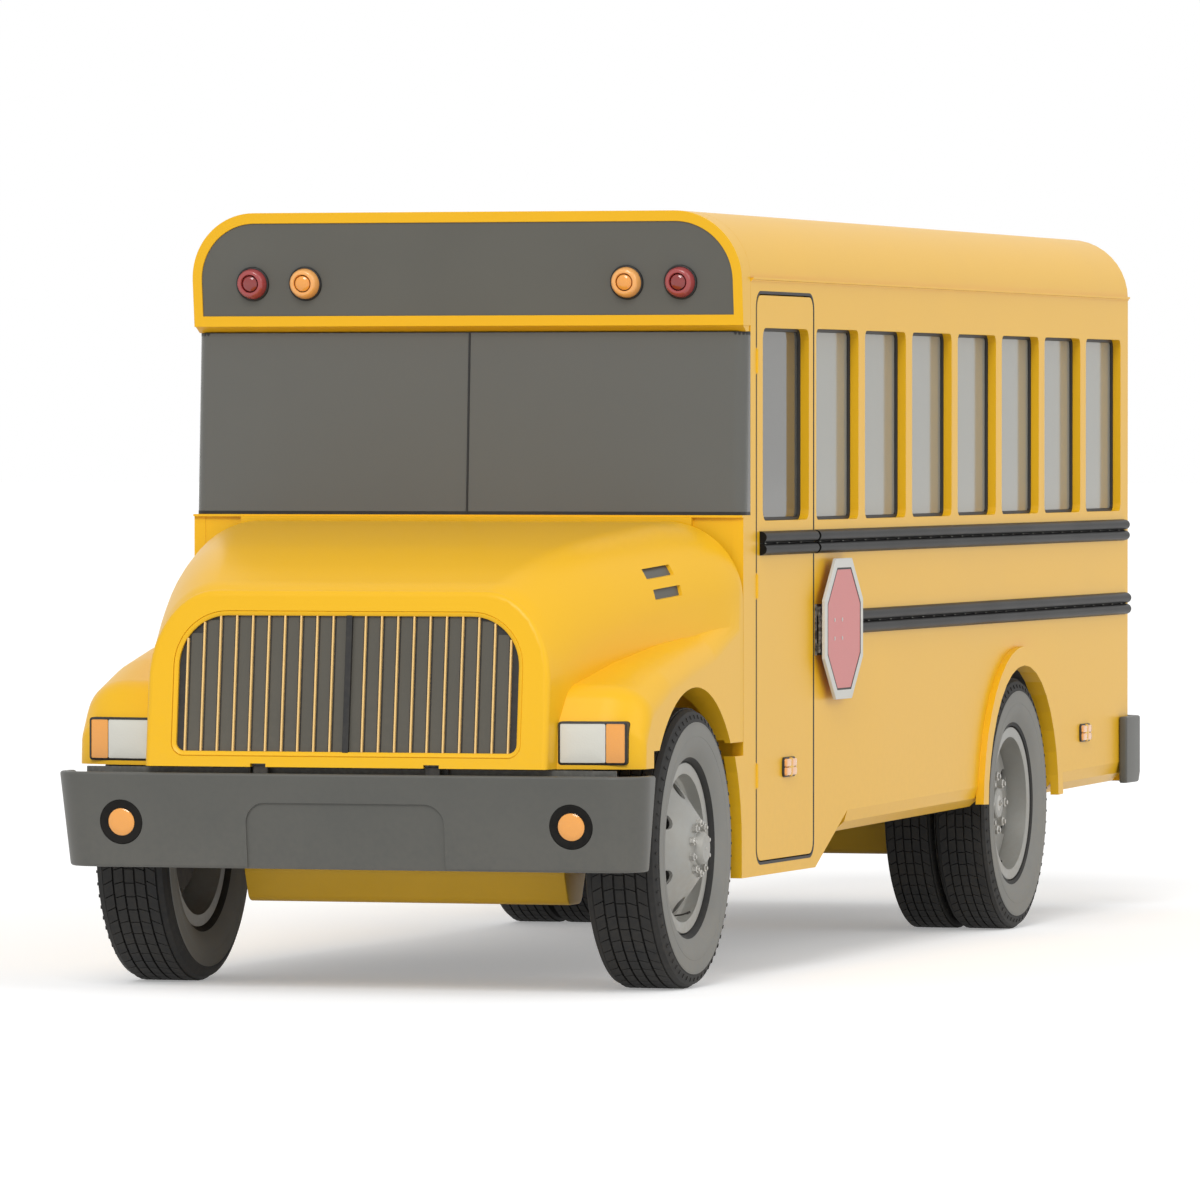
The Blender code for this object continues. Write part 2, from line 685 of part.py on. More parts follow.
def side_door(name, side, y0, y1, window, axis, add):
    """A door leaf with its window, hinged about a vertical axis at one edge."""
    sign = 1 if side == "left" else -1
    outline = rectangle(y0, y1, DOOR_LOW, DOOR_HIGH, DOOR_CORNER)
    hole = rectangle(*window, DOOR_PANE_CORNER, 3)
    leaf = plate("leaf", [outline, hole], "side", INSIDE, HALF)
    _, moving = hinge_barrels("hinge", HALF, axis, SIDE_HINGE_Z, HINGE_LENGTH)
    add = [*moving, *add]
    cut = barrel_notches("notch", HALF, axis, SIDE_HINGE_Z, HINGE_LENGTH, -1)
    wy0, wy1, wz0, wz1 = window
    pane = rectangle(wy0 - PANE_LAP, wy1 + PANE_LAP, wz0 - PANE_LAP, wz1 + PANE_LAP)
    glass = plate("glass", [pane], "side", INSIDE - CLEAR - GLASS, INSIDE - CLEAR)
    if sign < 0:
        leaf, glass = mirrored(leaf), mirrored(glass)
        add, cut = [mirrored(m) for m in add], [mirrored(m) for m in cut]
    pivot = (sign * HALF, axis, DOOR_LOW)
    node(name, leaf, "yellow_paint", add, cut, pivot)
    node(f"{name}_glass", glass, "glass", pivot=pivot)


def side_doors():
    low, high = DOOR_WINDOW
    window = (DOOR_FRONT_Y + DOOR_STILE, DOOR_REAR_Y - DOOR_STILE_REAR, low, high)
    trim = [rib(*UPPER_RAIL, DOOR_FRONT_Y + 0.039, DOOR_REAR_Y - SEAM), marker(MARKER_FRONT_Y)]
    side_door("driver_door", "left", DOOR_FRONT_Y, DOOR_REAR_Y, window, DOOR_FRONT_AXIS, trim)
    middle = 0.6 * SEAM
    leaves = (
        ("entry_leaf_front", DOOR_FRONT_Y, DOOR_MIDDLE_Y - middle, DOOR_FRONT_AXIS),
        ("entry_leaf_rear", DOOR_MIDDLE_Y + middle, DOOR_REAR_Y, DOOR_REAR_AXIS),
    )
    for name, y0, y1, axis in leaves:
        window = (y0 + LEAF_STILE, y1 - LEAF_STILE, LEAF_WINDOW_LOW, high)
        side_door(name, "right", y0, y1, window, axis, ())


REAR_PANE_HALF = 0.270
REAR_PANES = ((1.200, 1.700), (1.960, 2.660))  # low and high Z of each pane


def rear_door():
    axis = -REAR_DOOR_HALF - SEAM / 2
    outline = rectangle(-REAR_DOOR_HALF, REAR_DOOR_HALF, REAR_DOOR_LOW, REAR_DOOR_HIGH, REAR_DOOR_CORNER)
    half = REAR_PANE_HALF
    holes = [rectangle(-half, half, low, high, DOOR_PANE_CORNER, 3) for low, high in REAR_PANES]
    leaf = plate("leaf", [outline, *holes], "front", REAR_Y, BODY_LENGTH)
    _, moving = hinge_barrels("hinge", axis, BODY_LENGTH, REAR_HINGE_Z, HINGE_LENGTH)
    handle_y = (BODY_LENGTH - ROOT, BODY_LENGTH + 0.035)
    handle = box("handle", (half, half + 0.030), handle_y, (1.78, 1.90), 0.006)
    notches = barrel_notches("notch", axis, BODY_LENGTH, REAR_HINGE_Z, HINGE_LENGTH, -1)
    pivot = (axis, BODY_LENGTH, REAR_DOOR_LOW)
    node("rear_door", leaf, "yellow_paint", [*moving, handle], notches, pivot)
    reach = half + PANE_LAP
    glass = rectangle(-reach, reach, REAR_PANES[0][0] - PANE_LAP, REAR_PANES[1][1] + PANE_LAP)
    mesh = plate("glass", [glass], "front", REAR_Y - CLEAR - GLASS, REAR_Y - CLEAR)
    node("rear_door_glass", mesh, "pale_glass", pivot=pivot)


SIGN_WIDTH = 0.609
SIGN_Z = 1.450
SIGN_FRONT_Y = DOOR_REAR_Y + 0.025
SIGN_BACK_X = HALF + 0.034
SIGN_THICK = 0.014
ARM_AXIS = (HALF + 0.020, SIGN_FRONT_Y + 0.012)
ARM_RADIUS = 0.008
ARM_HALF = 0.060  # half the height of the moving barrel
LUG_HEIGHT = 0.040


def stop_arm():
    """The octagonal stop sign and the bracket that holds it flat against the side."""
    centre_y = SIGN_FRONT_Y + SIGN_WIDTH / 2
    corner = SIGN_WIDTH / 2 / math.cos(math.radians(22.5))
    octagon = arc((centre_y, SIGN_Z), corner, 22.5, 337.5, 7)
    sign = plate("sign", [octagon], "side", SIGN_BACK_X, SIGN_BACK_X + SIGN_THICK)
    axis_x, axis_y = ARM_AXIS
    low, high = SIGN_Z - ARM_HALF, SIGN_Z + ARM_HALF
    strap = box("strap", (axis_x - 0.001, SIGN_BACK_X + 0.004), (axis_y, centre_y), (low, high))
    barrel = cylinder("barrel", "z", ARM_AXIS, ARM_RADIUS, low, high, 12)
    foot_x = (HALF + CLEAR, axis_x - ARM_RADIUS - 0.003)
    foot_z = (low - LUG_HEIGHT - ROOT, high + LUG_HEIGHT + ROOT)
    foot = box("foot", foot_x, (axis_y - ROOT, centre_y + ARM_HALF), foot_z)
    lugs = []
    for span in ((low - LUG_HEIGHT, low - CLEAR), (high + CLEAR, high + LUG_HEIGHT)):
        lugs.append(cylinder("lug", "z", ARM_AXIS, ARM_RADIUS, *span, 12))
        depth = ARM_RADIUS * 0.8
        lugs.append(box("lug", (HALF + 0.005, axis_x), (axis_y - depth, axis_y + depth), span))
    node("stop_bracket", foot, "black_paint", lugs)
    node("stop_sign", sign, "sign_red", [strap, barrel], pivot=(*ARM_AXIS, SIGN_Z))


# ---------------------------------------------------------------------------------------------
# Hood: the core and the fenders tilt forward as one moulding
# ---------------------------------------------------------------------------------------------

HOOD_WALL = 0.025
HOOD_LOW = 0.930
FACE_LOW_Y = -NOSE_LENGTH + 0.021
FACE_HIGH = (-NOSE_LENGTH + 0.099, 1.655)  # Y and Z of the face's top edge
FACE_EDGE = 0.025  # the chamfer round the face
HOOD_HINGE = (-NOSE_LENGTH + 0.050, 0.945)
# The hood's stations: Y, top Z, half-width of the flat top, corner width, corner height
HOOD_STATIONS = (
    (0.060, 1.935, HALF - 0.3155, 0.3145, 0.315),
    (-0.064, 1.925, HALF - 0.317, 0.3145, 0.315),
    (-0.364, 1.909, HALF - 0.382, 0.309, 0.325),
    (-NOSE_LENGTH + 0.697, 1.835, HALF - 0.511, 0.297, 0.347),
    (-NOSE_LENGTH + 0.366, 1.754, HALF - 0.583, 0.290, 0.361),
    (FACE_HIGH[0], FACE_HIGH[1], HALF - 0.641, 0.286, 0.375),
)
# The fender's edge in side view: Y, Z and corner radius
FENDER_PROFILE = (
    (0.050, 1.616, 0.0),
    (-0.422, 1.473, 0.30),
    (-0.752, 1.418, 0.40),
    (-NOSE_LENGTH + 0.592, 1.357, 0.60),
    (-NOSE_LENGTH + 0.274, 1.262, 0.12),
    (-NOSE_LENGTH + 0.193, 1.100, 0.10),
    (-NOSE_LENGTH + 0.187, HOOD_LOW, 0.0),
)
FENDER_FACE_Y = -NOSE_LENGTH + 0.189
FENDER_NOSE = (-NOSE_LENGTH + 0.655, -NOSE_LENGTH + 0.205)  # Y where its sweep starts and is full
FENDER_INNER_X = 0.700
FENDER_SWEEP = 0.080  # how far the fender's face is swept back at its outer edge
FENDER_ROUND = (0.190, 0.130)  # width and height of its rounded outer edge
FENDER_FALL = 0.300  # height over which the rounding fades out downwards


def face_y(z):
    """The grille panel leans back as it rises."""
    return FACE_LOW_Y + (z - HOOD_LOW) * (FACE_HIGH[0] - FACE_LOW_Y) / (FACE_HIGH[1] - HOOD_LOW)


def hood_ring(station, inset, low):
    y, top, flat, wide, tall = station
    right = arc((flat, top - tall), (wide - inset, tall - inset), 0, 90, 6)
    half = [(flat + wide - inset, low), *right]
    ring = half + [(-x, z) for x, z in reversed(half)]
    return [(x, y, z) for x, z in ring]


def hood_core(inset, low):
    """The hood between the fenders, narrowing and falling to the grille panel."""
    rings = [hood_ring(station, inset, low) for station in HOOD_STATIONS]
    edge = [(x, face_y(z) + inset + FACE_EDGE, z) for x, _, z in rings[-1]]
    narrowed = hood_ring(HOOD_STATIONS[-1], inset + FACE_EDGE, low)
    front = [(x, face_y(z) + inset, z) for x, _, z in narrowed]
    return loft("core", [*rings[:-1], edge, front])


def ramp(value, start, end):
    """0 before start, 1 after end, and even between."""
    return max(0.0, min(1.0, (value - start) / (end - start)))


def fender(low):
    """One front fender: its side profile carried outwards, drawn in to round the outer edge."""
    profile = rounded([*FENDER_PROFILE, (0.050, low, 0.0)], 3)
    wide, tall = FENDER_ROUND
    stations = [(FENDER_INNER_X, 0.0)]
    for i in range(5):
        turn = math.radians(22.5 * i)
        stations.append((HALF - wide * (1 - math.sin(turn)), tall * (1 - math.cos(turn))))
    sections = []
    for x, drop in stations:
        sweep = FENDER_SWEEP * (HALF - x) / (HALF - FENDER_INNER_X)
        ring = []
        for y, z in profile:
            nose = ramp(y, *FENDER_NOSE)
            fall = drop * ramp(z, low, low + FENDER_FALL)
            ring.append((x, y + (0.5 * drop - sweep) * nose, z - fall))
        sections.append(ring)
    return loft("fender", sections)


GRILLE_HALF = HALF - 0.468
GRILLE_LOW = 0.974
GRILLE_HIGH = 1.569
GRILLE_TOP_CORNER = 0.226
GRILLE_LOW_CORNER = 0.055
GRILLE_DEPTH = 0.030
LOUVRE_COUNT = 20
LOUVRE_PITCH = (2 * GRILLE_HALF - 0.114) / LOUVRE_COUNT
CENTRE_BAR = 0.030
GRILLE_BORDER = 0.020
FIN_HALF = 0.005
FIN_DEPTH = (0.004, 0.020)  # Y of a fin's front and back, before the lean
SLOT_HALF = 0.003


def grille_outline(inset):
    return rounded(
        [
            (-GRILLE_HALF + inset, GRILLE_LOW + inset, GRILLE_LOW_CORNER - inset),
            (GRILLE_HALF - inset, GRILLE_LOW + inset, GRILLE_LOW_CORNER - inset),
            (GRILLE_HALF - inset, GRILLE_HIGH - inset, GRILLE_TOP_CORNER - inset),
            (-GRILLE_HALF + inset, GRILLE_HIGH - inset, GRILLE_TOP_CORNER - inset),
        ],
        8,
    )


def leaned(mesh):
    """Shears an upright mesh so that y = 0 follows the grille panel's lean."""
    slope = (FACE_HIGH[0] - FACE_LOW_Y) / (FACE_HIGH[1] - HOOD_LOW)
    for vert in mesh.vertices:
        vert.co.y += FACE_LOW_Y + (vert.co.z - HOOD_LOW) * slope
    return mesh


def slot_top(x, inset):
    """The height of the grille's inner edge at x."""
    radius = GRILLE_TOP_CORNER - inset
    run = abs(x) - (GRILLE_HALF - inset - radius)
    if run <= 0:
        return GRILLE_HIGH - inset
    return GRILLE_HIGH - inset - radius + math.sqrt(max(radius**2 - run**2, 0.0))


def grille():
    """Upright louvres in a rounded frame. Each is a thin fin with a slat set back beside it."""
    border = GRILLE_BORDER
    fins = []
    slots = []
    for i in range(-LOUVRE_COUNT // 2, LOUVRE_COUNT // 2 + 1):
        x = i * LOUVRE_PITCH
        wide = CENTRE_BAR / 2 if i == 0 else FIN_HALF
        high = slot_top(abs(x) + FIN_HALF, border / 2) - 0.002
        if abs(x) < GRILLE_HALF - border * 0.6:
            fins.append(box("fin", (x - wide, x + wide), FIN_DEPTH, (GRILLE_LOW + border / 2, high)))
        side = x + LOUVRE_PITCH / 2
        if i < LOUVRE_COUNT // 2:
            high = slot_top(abs(side) + SLOT_HALF, border) - 0.004
            span = (side - SLOT_HALF, side + SLOT_HALF)
            slots.append(box("slot", span, (-0.02, 0.06), (GRILLE_LOW + border, high)))
    frame = plate("frame", [grille_outline(CLEAR), grille_outline(border)], "front", 0.002, GRILLE_DEPTH)
    back = plate("back", [grille_outline(border - 0.006)], "front", 0.014, 0.022)
    shapes = [leaned(mesh) for mesh in [frame, back, *fins, *slots]]
    fin_meshes = shapes[2 : 2 + len(fins)]
    slot_meshes = shapes[2 + len(fins) :]
    node("grille", shapes[0], "dark_panel", [shapes[1], *fin_meshes], slot_meshes, (0, *HOOD_HINGE))


HEADLAMP = (HALF - 0.342, HALF - 0.060, 0.947, 1.125)  # inner X, outer X, low Z, high Z


def fender_face_y(x):
    share = (x - FENDER_INNER_X) / (HALF - FENDER_INNER_X)
    return FENDER_FACE_Y - FENDER_SWEEP * (1 - share)


def headlamp_block(grow, proud, depth):
    x0, x1, z0, z1 = HEADLAMP
    sections = []
    for x in (x0 - grow, (x0 + x1) / 2, x1 + grow):
        y = fender_face_y(x)
        sections.append(
            [
                (x, y - proud, z0 - grow),
                (x, y - proud, z1 + grow),
                (x, y + depth, z1 + grow),
                (x, y + depth, z0 - grow),
            ]
        )
    return loft("headlamp", sections)


HOOD_PINS = (0.280, 0.340, 0.400)  # X where the hinge barrels start, meet and end
HOOD_PIN_RADIUS = 0.012
HOOD_REAR_CUT = ((-SEAM, 1.600), (-0.066, 1.935))  # Y and Z where the rear edge starts and ends its slope
# Rooms inside each fender, ahead of the wheel and behind it: front Y, rear Y and top Z
NOSE_ROOM = (-NOSE_LENGTH + 0.305, -NOSE_LENGTH + 0.505, 1.100)
REAR_ROOM = (-0.200, 0.100, 1.430)
ROOM_INNER_X = 0.800
FAR = 1.4  # past any outer face of the bus


def hood():
    pivot = (0.0, *HOOD_HINGE)
    opening = leaned(plate("opening", [grille_outline(0.0)], "front", -0.10, 0.20))
    slope_low, slope_high = HOOD_REAR_CUT
    rear_outline = [
        (slope_low[0], SILL_Z),
        slope_low,
        slope_high,
        (slope_high[0], FAR + 1.0),
        (FAR, FAR + 1.0),
        (FAR, SILL_Z),
    ]
    rear_cut = plate("rear_cut", [rear_outline], "side", -FAR, FAR)
    low_cut = box("low_cut", (-FAR, FAR), (-NOSE_LENGTH + 0.355, 0.2), (0.3, HOOD_SEAM_Z))
    x0, x1, x2 = HOOD_PINS
    barrel = cylinder("barrel", "x", HOOD_HINGE, HOOD_PIN_RADIUS, x0, x1 - CLEAR, 12)
    tab_z = (HOOD_LOW + 0.006, HOOD_LOW + 0.024)
    tab = box("tab", (x0, x1 - CLEAR), (face_y(HOOD_LOW), HOOD_HINGE[0]), tab_z)
    bay = tool("hood_bay", hood_core(HOOD_WALL, HOOD_LOW - 0.3))
    combine(bay, "keep", "DIFFERENCE", both([barrel, tab]))
    fenders = both([fender(HOOD_LOW)])
    arch = cylinder("arch", "x", (FRONT_AXLE_Y, WHEEL_Z), FRONT_ARCH_RADIUS, WELL_INNER_X, FAR, 36)
    rooms = [
        box("room", (ROOM_INNER_X, HALF - HOOD_WALL), (y0, y1), (HOOD_LOW - 0.2, top))
        for y0, y1, top in (NOSE_ROOM, REAR_ROOM)
    ]
    pin_end = x2 + 0.006
    notch = cylinder("notch", "x", HOOD_HINGE, HOOD_PIN_RADIUS + 0.0015, x1 - CLEAR, pin_end, 12)
    mouth_y = (FACE_LOW_Y - 0.1, HOOD_HINGE[0] + 0.02)
    mouth = box("mouth", (x1 - CLEAR, pin_end), mouth_y, (HOOD_LOW - 0.1, HOOD_HINGE[1]))
    cuts = [opening, rear_cut, low_cut, bay, *both([notch, mouth])]
    cuts += both([arch, *rooms])
    cuts += both([headlamp_block(CLEAR, 0.1, 0.060)])
    node("hood", hood_core(0.0, HOOD_LOW + 0.001), "yellow_paint", fenders, cuts, pivot)
    for side, sign in (("left", 1), ("right", -1)):
        mesh = headlamp_block(0.0, 0.006, 0.055)
        node(f"headlamp_{side}", mesh if sign > 0 else mirrored(mesh), "lamp_lens", pivot=pivot)


# ---------------------------------------------------------------------------------------------
# Bumpers
# ---------------------------------------------------------------------------------------------

BUMPER_FRONT = (0.513, 0.905)  # low and high Z
BUMPER_HALF = HALF + 0.050
BUMPER_WALL = 0.040
BUMPER_CORNER = 0.150
BUMPER_RETURN_Y = -NOSE_LENGTH + 0.225
BUMPER_LEAN = (0.050, 0.030)  # how far its lower edge is set back, and in
BUMPER_LAMP = (HALF - 0.253, 0.699, 0.092)  # X, Z and radius of the sunk ring
BUMPER_SINK = 0.010
PLATE_RECESS = (0.426, 0.784, 0.085)  # half-width, top Z and corner radius
REAR_BUMPER = (0.611, 0.660, 0.931)  # low Z, top of its turn, and high Z
REAR_BUMPER_HALF = HALF + 0.042
REAR_BUMPER_CORNER = 0.130
REAR_BUMPER_RETURN = 0.373
STEP_THICK = 0.024


def bumper_lean(z):
    """How far behind its upper edge the front bumper's face is at a height."""
    low, high = BUMPER_FRONT
    return (high - z) * BUMPER_LEAN[0] / (high - low)


def bumper_ring(z, front, half, wall, back, corner):
    """A U-shaped section lying flat, open towards the bus."""
    outer = rounded([(half, back, 0.0), (half, front, corner), (-half, front, corner), (-half, back, 0.0)], 6)
    inner_corner = corner - wall
    inner = rounded(
        [
            (-half + wall, back, 0.0),
            (-half + wall, front + wall, inner_corner),
            (half - wall, front + wall, inner_corner),
            (half - wall, back, 0.0),
        ],
        6,
    )
    return [(x, y, z) for x, y in outer + inner]


def front_bumper():
    low, high = BUMPER_FRONT
    back, inwards = BUMPER_LEAN
    y = -NOSE_LENGTH
    levels = ((low, back, inwards), (high, 0.0, 0.0))
    rings = [
        bumper_ring(z, y + set_back, BUMPER_HALF - inset, BUMPER_WALL, BUMPER_RETURN_Y, BUMPER_CORNER)
        for z, set_back, inset in levels
    ]
    lamp_x, lamp_z, lamp_radius = BUMPER_LAMP
    half, top, corner = PLATE_RECESS
    bottom = low - 0.1
    corners = [(-half, bottom, 0.0), (half, bottom, 0.0), (half, top, corner), (-half, top, corner)]
    recess = rounded(corners, 4)
    span = (y - 0.1, y + BUMPER_SINK)
    ring = cylinder("ring", "y", (lamp_x, lamp_z), lamp_radius, *span, 24)
    cuts = [plate("recess", [recess], "front", *span), *both([ring])]
    for mesh in cuts:
        for vert in mesh.vertices:
            vert.co.y += bumper_lean(vert.co.z)
    node("front_bumper", loft("bumper", rings), "bumper_grey", (), cuts)


def rear_bumper():
    back = BODY_LENGTH + REAR_OVERHANG
    low, turned_z, high = REAR_BUMPER
    rings = []
    for z, inset in ((low, 0.030), (turned_z, 0.0), (high, 0.0)):
        ends = REAR_BUMPER_RETURN - back
        ring = bumper_ring(z, -back + inset, REAR_BUMPER_HALF, BUMPER_WALL, ends, REAR_BUMPER_CORNER)
        rings.append([(x, -y, z) for x, y, z in ring])
    inner = back - BUMPER_WALL / 2
    step_z = (high - 0.025, high - 0.025 + STEP_THICK)
    step = box("step", (-HALF + 0.020, HALF - 0.020), (BODY_LENGTH + 0.004, inner), step_z)
    bracket_z = (RAIL_LOW + 0.040, RAIL_HIGH - 0.040)
    bracket = box("bracket", (RAIL_X - RAIL_FLANGE, RAIL_X), (RAIL_END + CLEAR, inner), bracket_z)
    arm_x = (RAIL_X - 0.060, RAIL_X - 0.015)
    arm = box("arm", arm_x, (BODY_LENGTH + ROOT, inner), (bracket_z[1] - 0.020, step_z[0] + 0.009))
    node("rear_bumper", loft("bumper", rings), "bumper_grey", [step, *both([bracket, arm])])


# ---------------------------------------------------------------------------------------------
# Chassis and running gear
# ---------------------------------------------------------------------------------------------

RAIL_FRONT_Y = -NOSE_LENGTH + 0.070
TONGUE_FRONT_Y = -NOSE_LENGTH + BUMPER_WALL + CLEAR
RAIL_END = BODY_LENGTH - 0.010
CROSSMEMBERS = (-NOSE_LENGTH + 0.175, 0.250, 1.600, 2.900, 3.900, 5.250, RAIL_END - 0.330)
CROSSMEMBER_LENGTH = 0.060
ENGINE_REST = (-0.950, -0.870, 0.012, 0.050)  # Y span, then heights over the rail's lower edge


def chassis():
    web, flange = RAIL_WEB, RAIL_FLANGE
    x, low, high = RAIL_X, RAIL_LOW, RAIL_HIGH
    section = [
        (x - flange, low),
        (x, low),
        (x, high),
        (x - flange, high),
        (x - flange, high - web),
        (x - web, high - web),
        (x - web, low + web),
        (x - flange, low + web),
    ]
    rail = plate("rail", [section], "front", RAIL_FRONT_Y, RAIL_END)
    span = (-x + web / 2, x - web / 2)
    cross_z = (low + 0.060, high - 0.050)
    cross = [box("cross", span, (y, y + CROSSMEMBER_LENGTH), cross_z) for y in CROSSMEMBERS]
    y0, y1, z0, z1 = ENGINE_REST
    engine_rest = box("rest", span, (y0, y1), (low + z0, low + z1))
    _, x1, x2 = HOOD_PINS
    barrel = cylinder("barrel", "x", HOOD_HINGE, HOOD_PIN_RADIUS, x1, x2, 12)
    hinge_y = (HOOD_HINGE[0], HOOD_HINGE[0] + HOOD_PIN_RADIUS)
    hinge = box("hinge", (x1, x2), hinge_y, (high - 0.060, HOOD_HINGE[1]))
    tongue_y = (TONGUE_FRONT_Y, RAIL_FRONT_Y + 0.020)
    tongue = box("tongue", (x - flange, x), tongue_y, (low + 0.020, high - 0.040))
    for vert in tongue.vertices:
        vert.co.y += bumper_lean(vert.co.z)
    add = [mirrored(rail), *cross, engine_rest, *both([barrel, hinge, tongue])]
    node("chassis_frame", rail, "chassis_steel", add)


def spring(axle_y, reach, low):
    """A leaf spring under a frame rail: arched, its ends against the rail."""
    high = RAIL_LOW - CLEAR
    sag = high - low
    upper = [(axle_y + reach * t, high - sag * (1 - t * t)) for t in (-1, -0.7, -0.35, 0, 0.35, 0.7, 1)]
    lower = [(y, z - SPRING_THICK) for y, z in reversed(upper)]
    return plate("spring", [upper + lower], "side", *SPRING_X)


def spring_seat(axle_y, half_length, low, high):
    """The block that carries a spring on its axle."""
    span = (axle_y - half_length, axle_y + half_length)
    return box("seat", (SPRING_X[0] - ROOT, SPRING_X[1] + ROOT), span, (low, high))


SPRING_X = (RAIL_X - 0.075, RAIL_X - 0.005)
SPRING_THICK = 0.045
FRONT_SPRING = (0.580, 0.655)  # half-length and the height of its upper face at the axle
REAR_SPRING = (0.720, 0.660)
BEAM_HALF = 0.700
AXLE_LOW = 0.341
BEAM_WAIST_Z = AXLE_LOW + 0.150
BEAM_TOP_Z = 0.560
BEAM_END_Z = (0.535, 0.600)
BOSS_HALF = 0.055
BOSS_RADIUS = 0.050


def front_axle():
    y = FRONT_AXLE_Y
    beam = rounded(
        [
            (y - 0.160, BEAM_WAIST_Z, 0.06),
            (y - 0.090, AXLE_LOW, 0.05),
            (y + 0.090, AXLE_LOW, 0.05),
            (y + 0.160, BEAM_WAIST_Z, 0.06),
            (y + 0.100, BEAM_TOP_Z, 0.03),
            (y - 0.100, BEAM_TOP_Z, 0.03),
        ],
        3,
    )
    middle = plate("beam", [beam], "side", -BEAM_HALF, BEAM_HALF)
    end = box("end", (BEAM_HALF - 0.020, KINGPIN_X), (y - 0.045, y + 0.045), BEAM_END_Z, 0.010)
    boss = cylinder("boss", "z", (KINGPIN_X, y), BOSS_RADIUS, WHEEL_Z - BOSS_HALF, WHEEL_Z + BOSS_HALF, 16)
    seat = spring_seat(y, 0.060, BEAM_TOP_Z - 0.030, FRONT_SPRING[1] - 0.020)
    node("front_axle", middle, "yellow_axle", both([end, boss, seat, spring(y, *FRONT_SPRING)]))


WHEEL_STEPS = 20
FRONT_TYRE = (1.0615, 0.1585, 0.115)  # centre X, half-width, half-width of the tread
OUTER_TYRE = (1.0925, 0.1275, 0.0965)
INNER_TYRE = (0.8420, 0.1150, 0.0965)
RIM_RADIUS = 0.330
RIM_INNER = 0.306
FLANGE_RADIUS = 0.354
FLANGE_THICK = 0.010
BEAD_SHARE = 0.62  # the width between a tyre's beads, as a share of its own
HUB_RADIUS = 0.064
SPINDLE_END = 1.130


def turned(name, profile, closed, steps):
    """A profile of (x, radius) turned about the X axis, with flats at its top and bottom."""
    area = 0.0
    for i, (x, r) in enumerate(profile):
        nx, nr = profile[(i + 1) % len(profile)]
        area += x * nr - nx * r
    if area < 0:
        profile = list(reversed(profile))
    form = bmesh.new()
    verts = [form.verts.new((x, 0.0, r)) for x, r in profile]
    for one, two in zip(verts, verts[1:]):
        form.edges.new((one, two))
    if closed:
        form.edges.new((verts[-1], verts[0]))
    bmesh.ops.rotate(form, verts=form.verts, matrix=Matrix.Rotation(math.pi / steps, 3, "X"))
    mesh = bpy.data.meshes.new(name)
    form.to_mesh(mesh)
    form.free()
    obj = bpy.data.objects.new(name, mesh)
    screw = obj.modifiers.new("turn", "SCREW")
    screw.axis = "X"
    screw.steps = steps
    screw.render_steps = steps
    screw.use_merge_vertices = True
    screw.merge_threshold = 0.0001
    return obj


def place_wheel(obj, name, x, y, mirror, finish):
    """Puts a turned piece on its wheel's axis."""
    mesh = obj.data
    sign = -1 if mirror else 1
    obj.name = name
    mesh.name = name
    mesh.materials.append(MATERIALS[finish])
    obj.location = (sign * x, y, WHEEL_Z)
    if mirror:
        obj.rotation_euler.z = math.pi
    obj.parent = ORIGIN
    BUS.objects.link(obj)
    return obj


def tyre(name, size, y, mirror):
    """A tyre: crown, shoulders and sidewalls down to the beads."""
    centre, half, tread = size
    grow = 1 / math.cos(math.pi / WHEEL_STEPS)
    outer = WHEEL_Z
    bead = half * BEAD_SHARE
    side = [
        (tread, outer * grow),
        (half - 0.010, outer - 0.028),
        (half, outer - 0.070),
        (half, outer - 0.150),
        (bead, FLANGE_RADIUS + 0.006),
        (bead, RIM_RADIUS + 0.0005),
    ]
    profile = [(-x, r) for x, r in side] + [(x, r) for x, r in reversed(side)]
    place_wheel(turned(name, profile, True, WHEEL_STEPS), name, centre, y, mirror, "tyre_rubber")


def rim_barrel(low, high):
    """A rim's outer side, from its outboard flange to its inboard one."""
    lip = FLANGE_THICK
    return [
        (high, FLANGE_RADIUS),
        (high - lip, FLANGE_RADIUS),
        (high - lip, RIM_RADIUS),
        (low + lip, RIM_RADIUS),
        (low + lip, FLANGE_RADIUS),
        (low, FLANGE_RADIUS),
    ]


def front_rim(name, mirror):
    centre, half, _ = FRONT_TYRE
    wide = half * BEAD_SHARE + FLANGE_THICK + 0.002
    low, high = -wide, wide
    disc = SPINDLE_END - centre
    profile = [
        (0.205, 0.0),
        (0.205, HUB_RADIUS),
        (0.172, 0.072),
        (0.165, 0.137),
        (disc - 0.020, 0.285),
        (disc - 0.010, RIM_INNER),
        (high, RIM_INNER),
        *rim_barrel(low, high),
        (low, RIM_INNER),
        (disc - 0.035, RIM_INNER),
        (disc - 0.035, 0.285),
        (0.140, 0.150),
        (0.140, 0.120),
        (disc, 0.120),
        (disc, 0.0),
    ]
    shape = turned(name, profile, False, WHEEL_STEPS)
    obj = place_wheel(shape, name, centre, FRONT_AXLE_Y, mirror, "rim_steel")
    hand_holes(obj, centre, disc - 0.030)


HAND_HOLES = 6
HAND_HOLE_RADIUS = 0.034
HAND_HOLE_RING = 0.236


def hand_holes(obj, centre, low):
    """Round holes through the disc, spaced about the axle."""
    sign = -1 if obj.location.x < 0 else 1
    meshes = []
    for i in range(HAND_HOLES):
        angle = math.tau * (i + 0.5) / HAND_HOLES
        y = obj.location.y + HAND_HOLE_RING * math.cos(angle)
        z = WHEEL_Z + HAND_HOLE_RING * math.sin(angle)
        x = centre + low
        mesh = cylinder("hole", "x", (y, z), HAND_HOLE_RADIUS, x - 0.06, x + 0.10, 8)
        meshes.append(mesh if sign > 0 else mirrored(mesh))
    combine(obj, "cut", "DIFFERENCE", meshes)


REAR_DISC_X = 0.960


